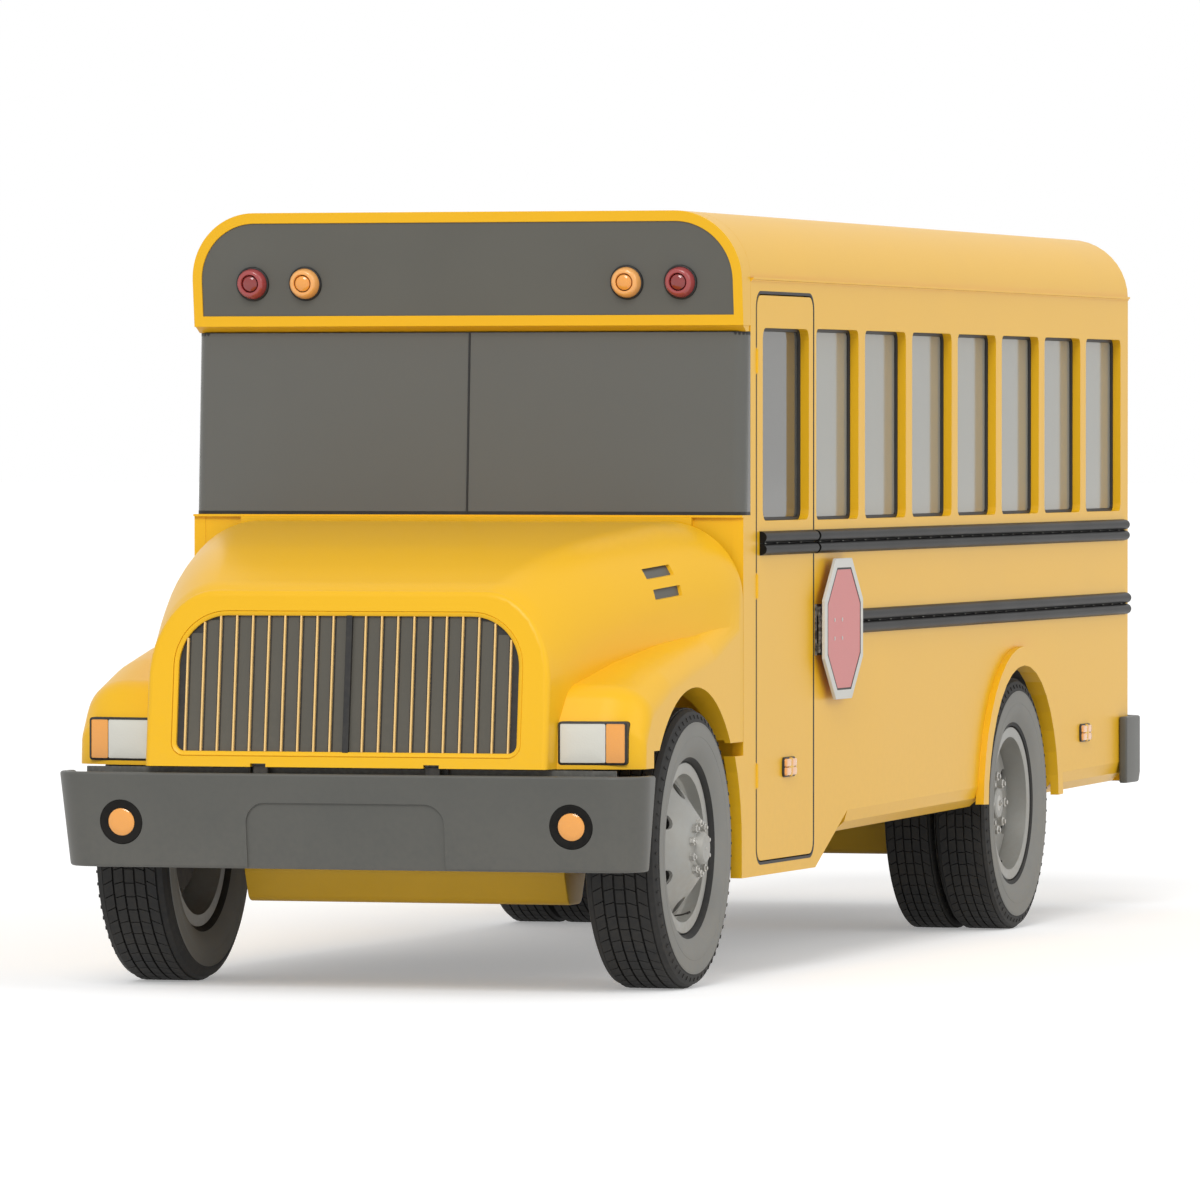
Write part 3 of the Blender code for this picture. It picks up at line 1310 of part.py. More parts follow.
def rear_rim(name, mirror):
    """Both rims of a twin wheel, bolted disc to disc, with the hub."""
    outer, outer_half, _ = OUTER_TYRE
    inner, inner_half, _ = INNER_TYRE
    outer_wide = outer_half * BEAD_SHARE + FLANGE_THICK + 0.002
    inner_wide = inner_half * BEAD_SHARE + FLANGE_THICK + 0.002
    disc = REAR_DISC_X
    profile = [
        (disc + 0.170, 0.0),
        (disc + 0.170, HUB_RADIUS),
        (disc + 0.130, 0.072),
        (disc + 0.125, 0.120),
        (disc + 0.030, 0.135),
        (disc + 0.026, 0.260),
        (disc + 0.045, RIM_INNER),
        (outer + outer_wide, RIM_INNER),
        *rim_barrel(outer - outer_wide, outer + outer_wide),
        (outer - outer_wide, RIM_INNER + 0.009),
        (inner + inner_wide, RIM_INNER + 0.009),
        *rim_barrel(inner - inner_wide, inner + inner_wide),
        (inner - inner_wide, RIM_INNER),
        (disc - 0.040, RIM_INNER),
        (disc, 0.250),
        (disc, 0.0),
    ]
    profile = [(x - disc, r) for x, r in profile]
    shape = turned(name, profile, False, WHEEL_STEPS)
    obj = place_wheel(shape, name, disc, REAR_AXLE_Y, mirror, "rim_steel")
    hand_holes(obj, disc, 0.0)


KNUCKLE_LUG = 0.045
SPINDLE_RADIUS = 0.042
BACKING_RADIUS = 0.200


def knuckle(side):
    """The steered knuckle: lugs above and below the axle's boss, a web and the spindle."""
    y = FRONT_AXLE_Y
    low, high = WHEEL_Z - BOSS_HALF, WHEEL_Z + BOSS_HALF
    place = (KINGPIN_X, y)
    top = cylinder("lug", "z", place, BOSS_RADIUS, high + CLEAR, high + KNUCKLE_LUG, 16)
    bottom = cylinder("lug", "z", place, BOSS_RADIUS, low - KNUCKLE_LUG, low - CLEAR, 16)
    reach = KNUCKLE_LUG - 0.005
    web_x = (KINGPIN_X + 0.056, KINGPIN_X + 0.086)
    web = box("web", web_x, (y - 0.045, y + 0.045), (low - reach, high + reach))
    link_x = (KINGPIN_X, KINGPIN_X + 0.070)
    heights = ((high + 0.005, high + reach), (low - reach, low - 0.005))
    links = [box("link", link_x, (y - 0.040, y + 0.040), span) for span in heights]
    hub = (y, WHEEL_Z)
    spindle = cylinder("spindle", "x", hub, SPINDLE_RADIUS, web_x[1] - ROOT, SPINDLE_END - CLEAR, 16)
    backing = cylinder("backing", "x", hub, BACKING_RADIUS, web_x[1] - 0.006, web_x[1] + 0.050, 24)
    add = [bottom, web, *links, spindle, backing]
    if side == "right":
        top, add = mirrored(top), [mirrored(mesh) for mesh in add]
    sign = 1 if side == "left" else -1
    node(f"knuckle_{side}", top, "cast_iron", add, pivot=(sign * KINGPIN_X, y, WHEEL_Z))


SHAFT_FRONT_Y = 0.620
SHAFT_Z = WHEEL_Z + 0.030
SHAFT_RADIUS = 0.045
AXLE_TUBE = (0.075, 0.720)  # radius and half-length
DRUM = (0.210, 0.735, 0.905)  # radius, inner X and outer X
HOUSING = (0.240, 0.200, 0.110)  # radius at its right and left faces, and half-width


def rear_axle():
    """The driven axle's tube, drums and housing, with the shaft that comes from the gearbox."""
    y = REAR_AXLE_Y
    place = (y, WHEEL_Z)
    tube_radius, tube_half = AXLE_TUBE
    drum_radius, drum_in, drum_out = DRUM
    right_radius, left_radius, half = HOUSING
    tube = cylinder("tube", "x", place, tube_radius, -tube_half, tube_half, 12)
    hub = cylinder("hub", "x", place, 0.100, tube_half - 0.020, REAR_DISC_X - CLEAR, 16)
    drum = cylinder("drum", "x", place, drum_radius, drum_in, drum_out, 16)
    case = cylinder("case", "x", place, right_radius, -half, half, 16, left_radius)
    pinion = cylinder("pinion", "y", (0.0, SHAFT_Z), 0.070, y - 0.420, y - 0.100, 16)
    shaft = cylinder("shaft", "y", (0.0, SHAFT_Z), SHAFT_RADIUS, SHAFT_FRONT_Y + CLEAR, y - 0.400, 12)
    seat = spring_seat(y, 0.070, BEAM_TOP_Z, REAR_SPRING[1] - 0.015)
    add = [case, pinion, shaft, *both([hub, drum, seat, spring(y, *REAR_SPRING)])]
    node("rear_axle", tube, "yellow_axle", add)


ENGINE_HALF = 0.330
ENGINE_Y = (-NOSE_LENGTH + 0.415, -0.140)
ENGINE_TOP = 1.480
GEARBOX = (0.200, 0.120, -0.200, 0.300)  # front radius, rear radius, front Y and rear Y
GEARBOX_Z = 0.700


def engine():
    """The engine and gearbox as one plain block, on the cross-member between the rails."""
    block_z = (RAIL_LOW + ENGINE_REST[3] + CLEAR, ENGINE_TOP)
    block = box("engine", (-ENGINE_HALF, ENGINE_HALF), ENGINE_Y, block_z, 0.060, 3)
    front_radius, rear_radius, y0, y1 = GEARBOX
    gearbox = cylinder("gearbox", "y", (0.0, GEARBOX_Z), front_radius, y0, y1, 20, rear_radius)
    tail = cylinder("tail", "y", (0.0, SHAFT_Z), 0.060, y1 - 0.150, SHAFT_FRONT_Y, 12)
    member = CROSSMEMBERS[1]
    gap_y = (member - 0.050, member + CROSSMEMBER_LENGTH + 0.050)
    gap = box("gap", (-0.6, 0.6), gap_y, (RAIL_LOW + 0.055, RAIL_HIGH + ROOT))
    node("engine_block", block, "cast_iron", [gearbox, tail], [gap])


TANK_Y = (2.000, 3.300)
TANK_Z = (0.640, 0.930)
TANK_OUTER_X = 1.050
SILENCER = (RAIL_X + 0.140, 0.800)  # X and Z of its axis
SILENCER_RADIUS = 0.140 - CLEAR
SILENCER_Y = (1.800, 2.900)
PIPE_LAP = 0.050


def fuel_tank():
    tank = box("tank", (-TANK_OUTER_X, -RAIL_X - CLEAR), TANK_Y, TANK_Z, 0.060, 3)
    filler_y = (TANK_Y[0] - 0.100, TANK_Y[0] + PIPE_LAP)
    filler = cylinder("filler", "y", (-TANK_OUTER_X + 0.150, TANK_Z[1]), 0.040, *filler_y, 12)
    node("fuel_tank", tank, "tank_steel", [filler])


def exhaust():
    front, rear = SILENCER_Y
    silencer = cylinder("silencer", "y", SILENCER, SILENCER_RADIUS, front, rear, 20)
    front_pipe = cylinder("pipe", "y", SILENCER, 0.050, front - 1.350, front + PIPE_LAP, 12)
    tail_pipe = cylinder("pipe", "y", SILENCER, 0.045, rear - PIPE_LAP, rear + 0.850, 12)
    node("exhaust", silencer, "tank_steel", [front_pipe, tail_pipe])


# ---------------------------------------------------------------------------------------------
# Floor and cabin
# ---------------------------------------------------------------------------------------------

# Step well: inner X, outer X, front Y, rear Y and low Z
WELL = (WELL_INNER_X, INSIDE - 0.010, DOOR_FRONT_Y - 0.028, DOOR_REAR_Y + 0.028, 0.460)
WELL_WALL = 0.020
TREAD_THICK = 0.025
TREADS = ((0.880, WELL[4]), (WELL_INNER_X, 0.745))  # inner X and low Z of each tread
HOUSE_INNER_X = 0.690
HOUSE_WALL = 0.015


def floor():
    """The floor with its bearers, step wells and the houses over the rear wheels."""
    edge = INSIDE - CLEAR
    deck = box("deck", (-edge, edge), (0.030 + CLEAR, REAR_Y - CLEAR), (FLOOR_LOW, FLOOR_Z))
    x0, x1, y0, y1, low = WELL
    well = box("well", (x0, x1), (y0, y1), (low, FLOOR_LOW + ROOT))
    bearer_z = (RAIL_HIGH + CLEAR, FLOOR_LOW + ROOT)
    bearer = box("bearer", (RAIL_X - 0.060, RAIL_X), (0.10, REAR_Y - ROOT), bearer_z)
    hub = (REAR_AXLE_Y, WHEEL_Z)
    house = cylinder("house", "x", hub, REAR_ARCH_RADIUS + HOUSE_WALL, HOUSE_INNER_X, edge, 28)
    (lower_x, lower_z), (upper_x, upper_z) = TREADS
    thick = TREAD_THICK
    void_profile = [
        (FAR, lower_z + thick),
        (lower_x + WELL_WALL, lower_z + thick),
        (lower_x + WELL_WALL, upper_z + thick),
        (upper_x + WELL_WALL, upper_z + thick),
        (upper_x + WELL_WALL, FLOOR_Z + 0.10),
        (FAR, FLOOR_Z + 0.10),
    ]
    void = plate("void", [void_profile], "front", y0 + WELL_WALL, y1 - WELL_WALL)
    under = box("under", (x0 - 0.1, lower_x), (y0 - 0.1, y1 + 0.1), (0.30, upper_z))
    reach = REAR_ARCH_RADIUS + 0.110
    low_y = (REAR_AXLE_Y - reach, REAR_AXLE_Y + reach)
    low_cut = box("low_cut", (HOUSE_INNER_X - 0.090, FAR), low_y, (-0.2, FLOOR_LOW - 0.002))
    wheel_room = cylinder("room", "x", hub, REAR_ARCH_RADIUS, HOUSE_INNER_X + HOUSE_WALL, FAR, 28)
    obj = node("floor", deck, "floor_rubber", both([well, house]), both([void, under, wheel_room, low_cut]))
    combine(obj, "bearers", "UNION", both([bearer]))


BENCH_PITCH = 0.760
BENCH_COUNT = 6
BENCH_X = (0.230, INSIDE - 0.020)
BENCH_DEPTH = 0.400
CUSHION_Z = (1.345, 1.470)
BACK_Y = (0.340, 0.430)  # from the front of its cushion
BACK_Z = (1.400, 2.060)
BENCH_ROUND = 0.030


def benches(side, first_y):
    """A row of bench seats on a rail along the side wall."""
    inner, outer = BENCH_X
    low = CUSHION_Z[0]
    last_y = first_y + BENCH_PITCH * (BENCH_COUNT - 1)
    rail_z = (low - 0.035, low + 0.005)
    rail = box("rail", (outer - 0.040, INSIDE - CLEAR), (first_y, last_y + BENCH_DEPTH), rail_z)
    add = []
    for i in range(BENCH_COUNT):
        y = first_y + BENCH_PITCH * i
        back = box("back", BENCH_X, (y + BACK_Y[0], y + BACK_Y[1]), BACK_Z, BENCH_ROUND, 1)
        cushion = box("cushion", BENCH_X, (y, y + BENCH_DEPTH), CUSHION_Z, BENCH_ROUND, 1)
        leg_x = (inner + 0.060, inner + 0.100)
        leg = box("leg", leg_x, (y + 0.080, y + 0.320), (FLOOR_Z + CLEAR, low + 0.015))
        add += [cushion, back, leg]
    if side == "right":
        rail, add = mirrored(rail), [mirrored(mesh) for mesh in add]
    node(f"benches_{side}", rail, "seat_vinyl", add)


SEAT_X = 0.380
SEAT_FRONT_Y = 1.000
SEAT_DEPTH = 0.460
SEAT_HALF = 0.250
SEAT_Z = (1.380, 1.500)
SEAT_BACK_TOP = 2.150


def driver_seat():
    x, y = SEAT_X, SEAT_FRONT_Y
    low, high = SEAT_Z
    post = cylinder("post", "z", (x, y + 0.200), 0.090, FLOOR_Z + CLEAR, low + 0.020, 16)
    cushion = box("cushion", (x - SEAT_HALF, x + SEAT_HALF), (y, y + SEAT_DEPTH), SEAT_Z, 0.035, 2)
    back_x = (x - SEAT_HALF + ROOT, x + SEAT_HALF - ROOT)
    back_y = (y + SEAT_DEPTH - 0.060, y + SEAT_DEPTH + 0.050)
    back = box("back", back_x, back_y, (high - 0.050, SEAT_BACK_TOP), 0.040, 2)
    node("driver_seat", post, "seat_vinyl", [cushion, back])


WHEEL_HUB = (SEAT_X, 0.620, 1.700)
COLUMN_TILT = 55.0
DASH_FRONT_Y = COWL_FRONT_Y + COWL_THICK + CLEAR
DASH_SPAN = (-0.560, INSIDE - 0.070)


def dashboard():
    corners = [
        (DASH_FRONT_Y, 1.300, 0.0),
        (0.230, 1.300, 0.03),
        (0.400, 1.620, 0.04),
        (0.360, 1.860, 0.06),
        (DASH_FRONT_Y, 1.900, 0.0),
    ]
    panel = plate("dash", [rounded(corners, 3)], "side", *DASH_SPAN)
    column = cylinder("column", "z", (0.0, 0.0), 0.035, -COLUMN_LENGTH, -HUB_BELOW - CLEAR, 12)
    column.transform(column_frame())
    node("dashboard", panel, "dash_plastic", [column])


COLUMN_LENGTH = 0.460
STEERING_RADIUS = 0.215
STEERING_RIM = 0.015
STEERING_HUB = 0.045
HUB_BELOW = 0.012
SPOKES = 3


def column_frame():
    """Places a shape built about the origin on the steering column, facing the driver."""
    tilt = Matrix.Rotation(math.radians(-COLUMN_TILT), 4, "X")
    return Matrix.Translation(Vector(WHEEL_HUB)) @ tilt


def steering_wheel():
    bpy.ops.mesh.primitive_torus_add(
        major_radius=STEERING_RADIUS, minor_radius=STEERING_RIM, major_segments=20, minor_segments=6
    )
    ring = bpy.context.object
    mesh = ring.data.copy()
    bpy.data.objects.remove(ring)
    hub = cylinder("hub", "z", (0.0, 0.0), STEERING_HUB, -HUB_BELOW, 0.020, 16)
    spokes = []
    for i in range(SPOKES):
        spoke = box("spoke", (-0.014, 0.014), (0.0, STEERING_RADIUS - 0.003), (-0.006, 0.006))
        spoke.transform(Matrix.Rotation(math.tau * i / SPOKES + math.pi / 3, 4, "Z"))
        spokes.append(spoke)
    for shape in (mesh, hub, *spokes):
        shape.transform(column_frame())
    node("steering_wheel", mesh, "dash_plastic", [hub, *spokes], pivot=WHEEL_HUB)


# ---------------------------------------------------------------------------------------------
# The whole bus
# ---------------------------------------------------------------------------------------------

chassis()
engine()
fuel_tank()
exhaust()
front_axle()
rear_axle()
floor()
cowl()
side_wall("left", (DOOR_FRONT_AXIS,), SIGN_FRONT_Y + SIGN_WIDTH - 0.010)
side_wall("right", (DOOR_FRONT_AXIS, DOOR_REAR_AXIS), SIGN_FRONT_Y + 0.030)
for one_side in ("left", "right"):
    cant_rail(one_side)
    side_glass(one_side)
    knuckle(one_side)
roof_skin()
header()
windshield()
rear_wall()
side_doors()
rear_door()
stop_arm()
hood()
grille()
front_bumper()
rear_bumper()
dashboard()
steering_wheel()
driver_seat()
benches("left", DOOR_REAR_Y + 0.710)
benches("right", DOOR_REAR_Y + 0.230)
for one_side, is_mirrored in (("left", False), ("right", True)):
    front_rim(f"rim_front_{one_side}", is_mirrored)
    rear_rim(f"rim_rear_{one_side}", is_mirrored)
    tyre(f"tyre_front_{one_side}", FRONT_TYRE, FRONT_AXLE_Y, is_mirrored)
    tyre(f"tyre_rear_outer_{one_side}", OUTER_TYRE, REAR_AXLE_Y, is_mirrored)
    tyre(f"tyre_rear_inner_{one_side}", INNER_TYRE, REAR_AXLE_Y, is_mirrored)
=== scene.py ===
"""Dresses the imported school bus: paint, glass, lamps, trim, tyres and seats, in a plain studio.

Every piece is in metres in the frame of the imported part: the front of the bus faces -Y, its left
side is +X and the ground is at Z = 0. Sub-assemblies are classes that hold their own sizes, and
main() builds them in order.
"""

import logging
import math
from collections.abc import Callable
from dataclasses import dataclass, field
from enum import Enum

import bmesh
import bpy
from mathutils import Matrix, Vector
from mathutils.bvhtree import BVHTree


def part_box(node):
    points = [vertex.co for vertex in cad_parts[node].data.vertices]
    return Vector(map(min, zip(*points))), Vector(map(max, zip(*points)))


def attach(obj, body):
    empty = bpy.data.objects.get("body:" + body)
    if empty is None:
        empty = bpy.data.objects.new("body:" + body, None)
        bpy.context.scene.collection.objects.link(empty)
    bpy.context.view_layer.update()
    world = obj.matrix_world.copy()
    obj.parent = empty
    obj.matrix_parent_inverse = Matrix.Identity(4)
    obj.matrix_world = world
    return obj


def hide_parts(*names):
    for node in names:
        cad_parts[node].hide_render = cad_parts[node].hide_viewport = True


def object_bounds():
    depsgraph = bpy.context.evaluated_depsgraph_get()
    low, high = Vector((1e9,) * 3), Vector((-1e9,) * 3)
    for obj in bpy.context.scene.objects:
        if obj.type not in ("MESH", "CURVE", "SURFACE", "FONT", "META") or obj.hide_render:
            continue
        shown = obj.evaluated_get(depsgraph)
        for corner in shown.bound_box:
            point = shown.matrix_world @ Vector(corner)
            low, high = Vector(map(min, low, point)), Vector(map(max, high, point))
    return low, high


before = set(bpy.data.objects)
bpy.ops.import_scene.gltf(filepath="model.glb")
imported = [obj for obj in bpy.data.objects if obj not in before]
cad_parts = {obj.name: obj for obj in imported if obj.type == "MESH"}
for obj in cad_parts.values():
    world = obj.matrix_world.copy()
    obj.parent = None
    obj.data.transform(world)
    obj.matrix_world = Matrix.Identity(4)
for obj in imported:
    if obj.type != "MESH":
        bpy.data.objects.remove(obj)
CAD_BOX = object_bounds()

LOG = logging.getLogger("school_bus")
SMOOTH_ANGLE = 35.0  # degrees; edges that turn less are shaded smooth
EDGE_ANGLE = 38.0  # degrees; softened edges turn more than this
EDGE_SEGMENTS = 2
MERGE = 0.00002  # points nearer than this are one point
AIR = 0.0004  # how far a laid-on piece stays off the face behind it
NOSE_LENGTH = 1.655  # from the body's front plane to the front bumper's face
BODY_FRONT_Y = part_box("front_bumper")[0].y + NOSE_LENGTH  # every size in Y below counts from here
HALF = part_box("cowl")[1].x  # half the body's width

Point = tuple[float, float, float]
Flat = tuple[float, float]
Colour = tuple[float, float, float]
Mesh = bpy.types.Mesh


# ------------------------------------------------------------------------------------ finishes


class Wiring:
    """Adds nodes and links to one shader or geometry tree."""

    def __init__(self, tree: bpy.types.NodeTree) -> None:
        """Keeps the tree that the later calls add to."""
        self.tree = tree

    def add(self, kind: str, settings: dict | None = None, **inputs: object) -> bpy.types.Node:
        """Adds a node.

        Args:
            kind: Blender's name of the node's type.
            settings: Properties of the node, set before its inputs.
            inputs: Values or sockets by input name, with _ for a space.

        Returns:
            The new node.
        """
        node = self.tree.nodes.new(kind)
        for key, value in (settings or {}).items():
            setattr(node, key, value)
        for key, value in inputs.items():
            self.feed(self.socket(node, key), value)
        return node

    def socket(self, node: bpy.types.Node, key: str) -> bpy.types.NodeSocket:
        """Finds an input by its name or, as i0, i1 and so on, by its place."""
        if key[0] == "i" and key[1:].isdigit():
            return node.inputs[int(key[1:])]
        name = key.replace("_", " ")
        return next(s for s in node.inputs if s.name == name and s.enabled)

    def feed(self, socket: bpy.types.NodeSocket, value: object) -> None:
        """Links an output socket to an input, or sets the input's own value."""
        if isinstance(value, bpy.types.NodeSocket):
            self.tree.links.new(value, socket)
        else:
            socket.default_value = value

    def math(
        self, operation: str, first: object, second: object = 0.0, clamp: bool = False
    ) -> bpy.types.NodeSocket:
        """Adds a Math node and returns its result."""
        made = self.add("ShaderNodeMath", {"operation": operation, "use_clamp": clamp}, i0=first, i1=second)
        return made.outputs[0]

    def noise(self, vector: object, scale: object, detail: float) -> bpy.types.NodeSocket:
        """Adds a Noise texture and returns its value."""
        return self.add("ShaderNodeTexNoise", None, Vector=vector, Scale=scale, Detail=detail).outputs[0]

    def mixed(self, share: object, first: object, second: object) -> bpy.types.NodeSocket:
        """Mixes two colours and returns the result."""
        made = self.add("ShaderNodeMix", {"data_type": "RGBA"}, i0=share, i6=first, i7=second)
        return made.outputs[2]

    def scaled(self, vector: object, factor: object) -> bpy.types.NodeSocket:
        """Multiplies a vector by a number and returns the result."""
        made = self.add("ShaderNodeVectorMath", {"operation": "SCALE"}, Vector=vector, Scale=factor)
        return made.outputs[0]

    def ramp(
        self, value: object, low: float, high: float, to_low: float = 0.0, to_high: float = 1.0
    ) -> bpy.types.NodeSocket:
        """Maps low..high of a value to to_low..to_high and clamps it."""
        made = self.add("ShaderNodeMapRange", None, i0=value, i1=low, i2=high, i3=to_low, i4=to_high)
        return made.outputs[0]


Sockets = list[tuple[str, str, object]]


def node_group(
    kind: str, name: str, inputs: Sockets, outputs: Sockets
) -> tuple[Wiring, dict[str, bpy.types.NodeSocket], bpy.types.Node]:
    """Starts a node group with named sockets.

    Args:
        kind: Blender's name of the tree's type.
        name: The group's name.
        inputs: Name, socket type and default (or None) of each input.
        outputs: The same of each output.

    Returns:
        The wiring, the inputs by name, and the group's output node.
    """
    tree = bpy.data.node_groups.new(name, kind)
    for way, sockets in (("INPUT", inputs), ("OUTPUT", outputs)):
        for label, socket_type, default in sockets:
            made = tree.interface.new_socket(label, in_out=way, socket_type=socket_type)
            if default is not None:
                made.default_value = default
    wiring = Wiring(tree)
    source = wiring.add("NodeGroupInput")
    sink = wiring.add("NodeGroupOutput")
    return wiring, {s.name: s for s in source.outputs if s.name}, sink


FLOAT, VECTOR, COLOUR = "NodeSocketFloat", "NodeSocketVector", "NodeSocketColor"
WHOLE, SHAPE, MATERIAL = "NodeSocketInt", "NodeSocketGeometry", "NodeSocketMaterial"
DUST_COLOUR = (0.34, 0.29, 0.22, 1.0)
DUST_SCALE, DUST_STREAKS = 38.0, (0.75, 1.2)  # the fine noise, and the sum where streaks start and end
WEAR_SCALE, WEAR_PATCHES = 55.0, (0.42, 0.62)  # the noise of the wear, and where it starts and ends
WEAR_EDGES = (0.53, 0.62)  # how convex an edge is where its wear starts and is full
COAT_ROUGHNESS = 0.08
STEEL_COLOUR = (0.42, 0.41, 0.39, 1.0)


class Effects:
    """The shader groups that several finishes share."""

    def __init__(self) -> None:
        """Builds each group once."""
        self.weather = self._weather()
        self.grain = self._grain()
        self.wear = self._wear()

    def _weather(self) -> bpy.types.NodeTree:
        """Uneven colour, and road dust that thins out upwards."""
        wiring, given, sink = node_group(
            "ShaderNodeTree", "weather",
            [
                ("Vector", VECTOR, None), ("Colour", COLOUR, None), ("Roughness", FLOAT, 0.5),
                ("Mottle", FLOAT, 0.05), ("Mottle Scale", FLOAT, 2.0), ("Dust", FLOAT, 0.1),
                ("Dust Top", FLOAT, 1.4)
            ],
            [("Colour", COLOUR, None), ("Roughness", FLOAT, None)]
        )
        broad = wiring.noise(given["Vector"], given["Mottle Scale"], 5.0)
        fine = wiring.noise(given["Vector"], DUST_SCALE, 6.0)
        swing = wiring.math("MULTIPLY", wiring.math("SUBTRACT", broad, 0.5), given["Mottle"])
        value = wiring.math("ADD", wiring.math("MULTIPLY", swing, 2.0), 1.0)
        shade = wiring.add("ShaderNodeHueSaturation", None, Value=value, Color=given["Colour"])
        height = wiring.add("ShaderNodeSeparateXYZ", None, Vector=given["Vector"]).outputs[2]
        fade = wiring.math("SUBTRACT", 1.0, wiring.math("DIVIDE", height, given["Dust Top"]), clamp=True)
        streaks = wiring.ramp(wiring.math("ADD", fine, broad), *DUST_STREAKS)
        mask = wiring.math("MULTIPLY", wiring.math("MULTIPLY", fade, streaks), given["Dust"], clamp=True)
        mixed = wiring.mixed(mask, shade.outputs[0], DUST_COLOUR)
        rough = wiring.math("ADD", given["Roughness"], wiring.math("MULTIPLY", mask, 0.5))
        rough = wiring.math("ADD", rough, wiring.math("MULTIPLY", swing, 0.6), clamp=True)
        wiring.feed(sink.inputs["Colour"], mixed)
        wiring.feed(sink.inputs["Roughness"], rough)
        return wiring.tree

    def _grain(self) -> bpy.types.NodeTree:
        """A fine pebbled height, for moulded plastic, rubber, vinyl and cast metal."""
        wiring, given, sink = node_group(
            "ShaderNodeTree", "grain",
            [("Vector", VECTOR, None), ("Scale", FLOAT, 300.0), ("Cells", FLOAT, 0.5)],
            [("Height", FLOAT, None)],
        )
        cells = wiring.add(
            "ShaderNodeTexVoronoi", {"feature": "SMOOTH_F1"}, Vector=given["Vector"], Scale=given["Scale"]
        )
        noise = wiring.noise(given["Vector"], given["Scale"], 3.0)
        mixed = wiring.add(
            "ShaderNodeMix", {"data_type": "FLOAT"}, i0=given["Cells"], i2=noise, i3=cells.outputs[0]
        )
        wiring.feed(sink.inputs["Height"], mixed.outputs[0])
        return wiring.tree

    def _wear(self) -> bpy.types.NodeTree:
        """Rubbed edges: a worn colour where the surface is sharply convex."""
        wiring, given, sink = node_group(
            "ShaderNodeTree", "edge_wear",
            [
                ("Vector", VECTOR, None), ("Colour", COLOUR, None), ("Worn", COLOUR, None),
                ("Amount", FLOAT, 0.5)
            ],
            [("Colour", COLOUR, None), ("Mask", FLOAT, None)]
        )
        edge = wiring.add("ShaderNodeNewGeometry").outputs["Pointiness"]
        noise = wiring.noise(given["Vector"], WEAR_SCALE, 6.0)
        rubbed = wiring.math("MULTIPLY", wiring.ramp(edge, *WEAR_EDGES), wiring.ramp(noise, *WEAR_PATCHES))
        mask = wiring.math("MULTIPLY", rubbed, given["Amount"], clamp=True)
        mixed = wiring.mixed(mask, given["Colour"], given["Worn"])
        wiring.feed(sink.inputs["Colour"], mixed)
        wiring.feed(sink.inputs["Mask"], mask)
        return wiring.tree


@dataclass(frozen=True)
class Finish:
    """One material: its colour, gloss, unevenness, dust, grain and wear."""

    colour: Colour
    roughness: float = 0.5
    metallic: float = 0.0
    mottle: float = 0.04
    mottle_scale: float = 2.0
    dust: float = 0.15
    dust_top: float = 1.4
    grain_scale: float = 260.0
    grain_depth: float = 0.0002
    cells: float = 0.5
    wear: float = 0.0
    worn: Colour = STEEL_COLOUR[:3]
    coat: float = 0.0
    sheen: float = 0.0
    transmission: float = 0.0
    ior: float = 1.45
    emission: float = 0.0

    def make(self, name: str, effects: Effects) -> bpy.types.Material:
        """Builds the material.

        Args:
            name: The material's name.
            effects: The shared shader groups.

        Returns:
            The new material.
        """
        material = bpy.data.materials.new(name)
        material.use_nodes = True
        wiring = Wiring(material.node_tree)
        shader = material.node_tree.nodes["Principled BSDF"]
        place = wiring.add("ShaderNodeTexCoord").outputs["Object"]
        base = wiring.add(
            "ShaderNodeGroup", {"node_tree": effects.weather}, Vector=place, Colour=(*self.colour, 1.0),
            Roughness=self.roughness, Mottle=self.mottle, Mottle_Scale=self.mottle_scale, Dust=self.dust,
            Dust_Top=self.dust_top
        )
        colour = base.outputs["Colour"]
        if self.wear > 0.0:
            worn = wiring.add(
                "ShaderNodeGroup", {"node_tree": effects.wear}, Vector=place, Colour=colour,
                Worn=(*self.worn, 1.0), Amount=self.wear
            )
            colour = worn.outputs["Colour"]
        wiring.feed(shader.inputs["Base Color"], colour)
        wiring.feed(shader.inputs["Roughness"], base.outputs["Roughness"])
        grain = wiring.add(
            "ShaderNodeGroup", {"node_tree": effects.grain}, Vector=place, Scale=self.grain_scale,
            Cells=self.cells
        )
        bump = wiring.add(
            "ShaderNodeBump", None, Strength=1.0, Distance=self.grain_depth, Height=grain.outputs["Height"]
        )
        wiring.feed(shader.inputs["Normal"], bump.outputs["Normal"])
        for socket, value in (
            ("Metallic", self.metallic), ("Coat Weight", self.coat), ("Coat Roughness", COAT_ROUGHNESS),
            ("Sheen Weight", self.sheen), ("Transmission Weight", self.transmission), ("IOR", self.ior),
            ("Emission Strength", self.emission)
        ):
            shader.inputs[socket].default_value = value
        shader.inputs["Emission Color"].default_value = (*self.colour, 1.0)
        return material


YELLOW = (0.860, 0.480, 0.014)

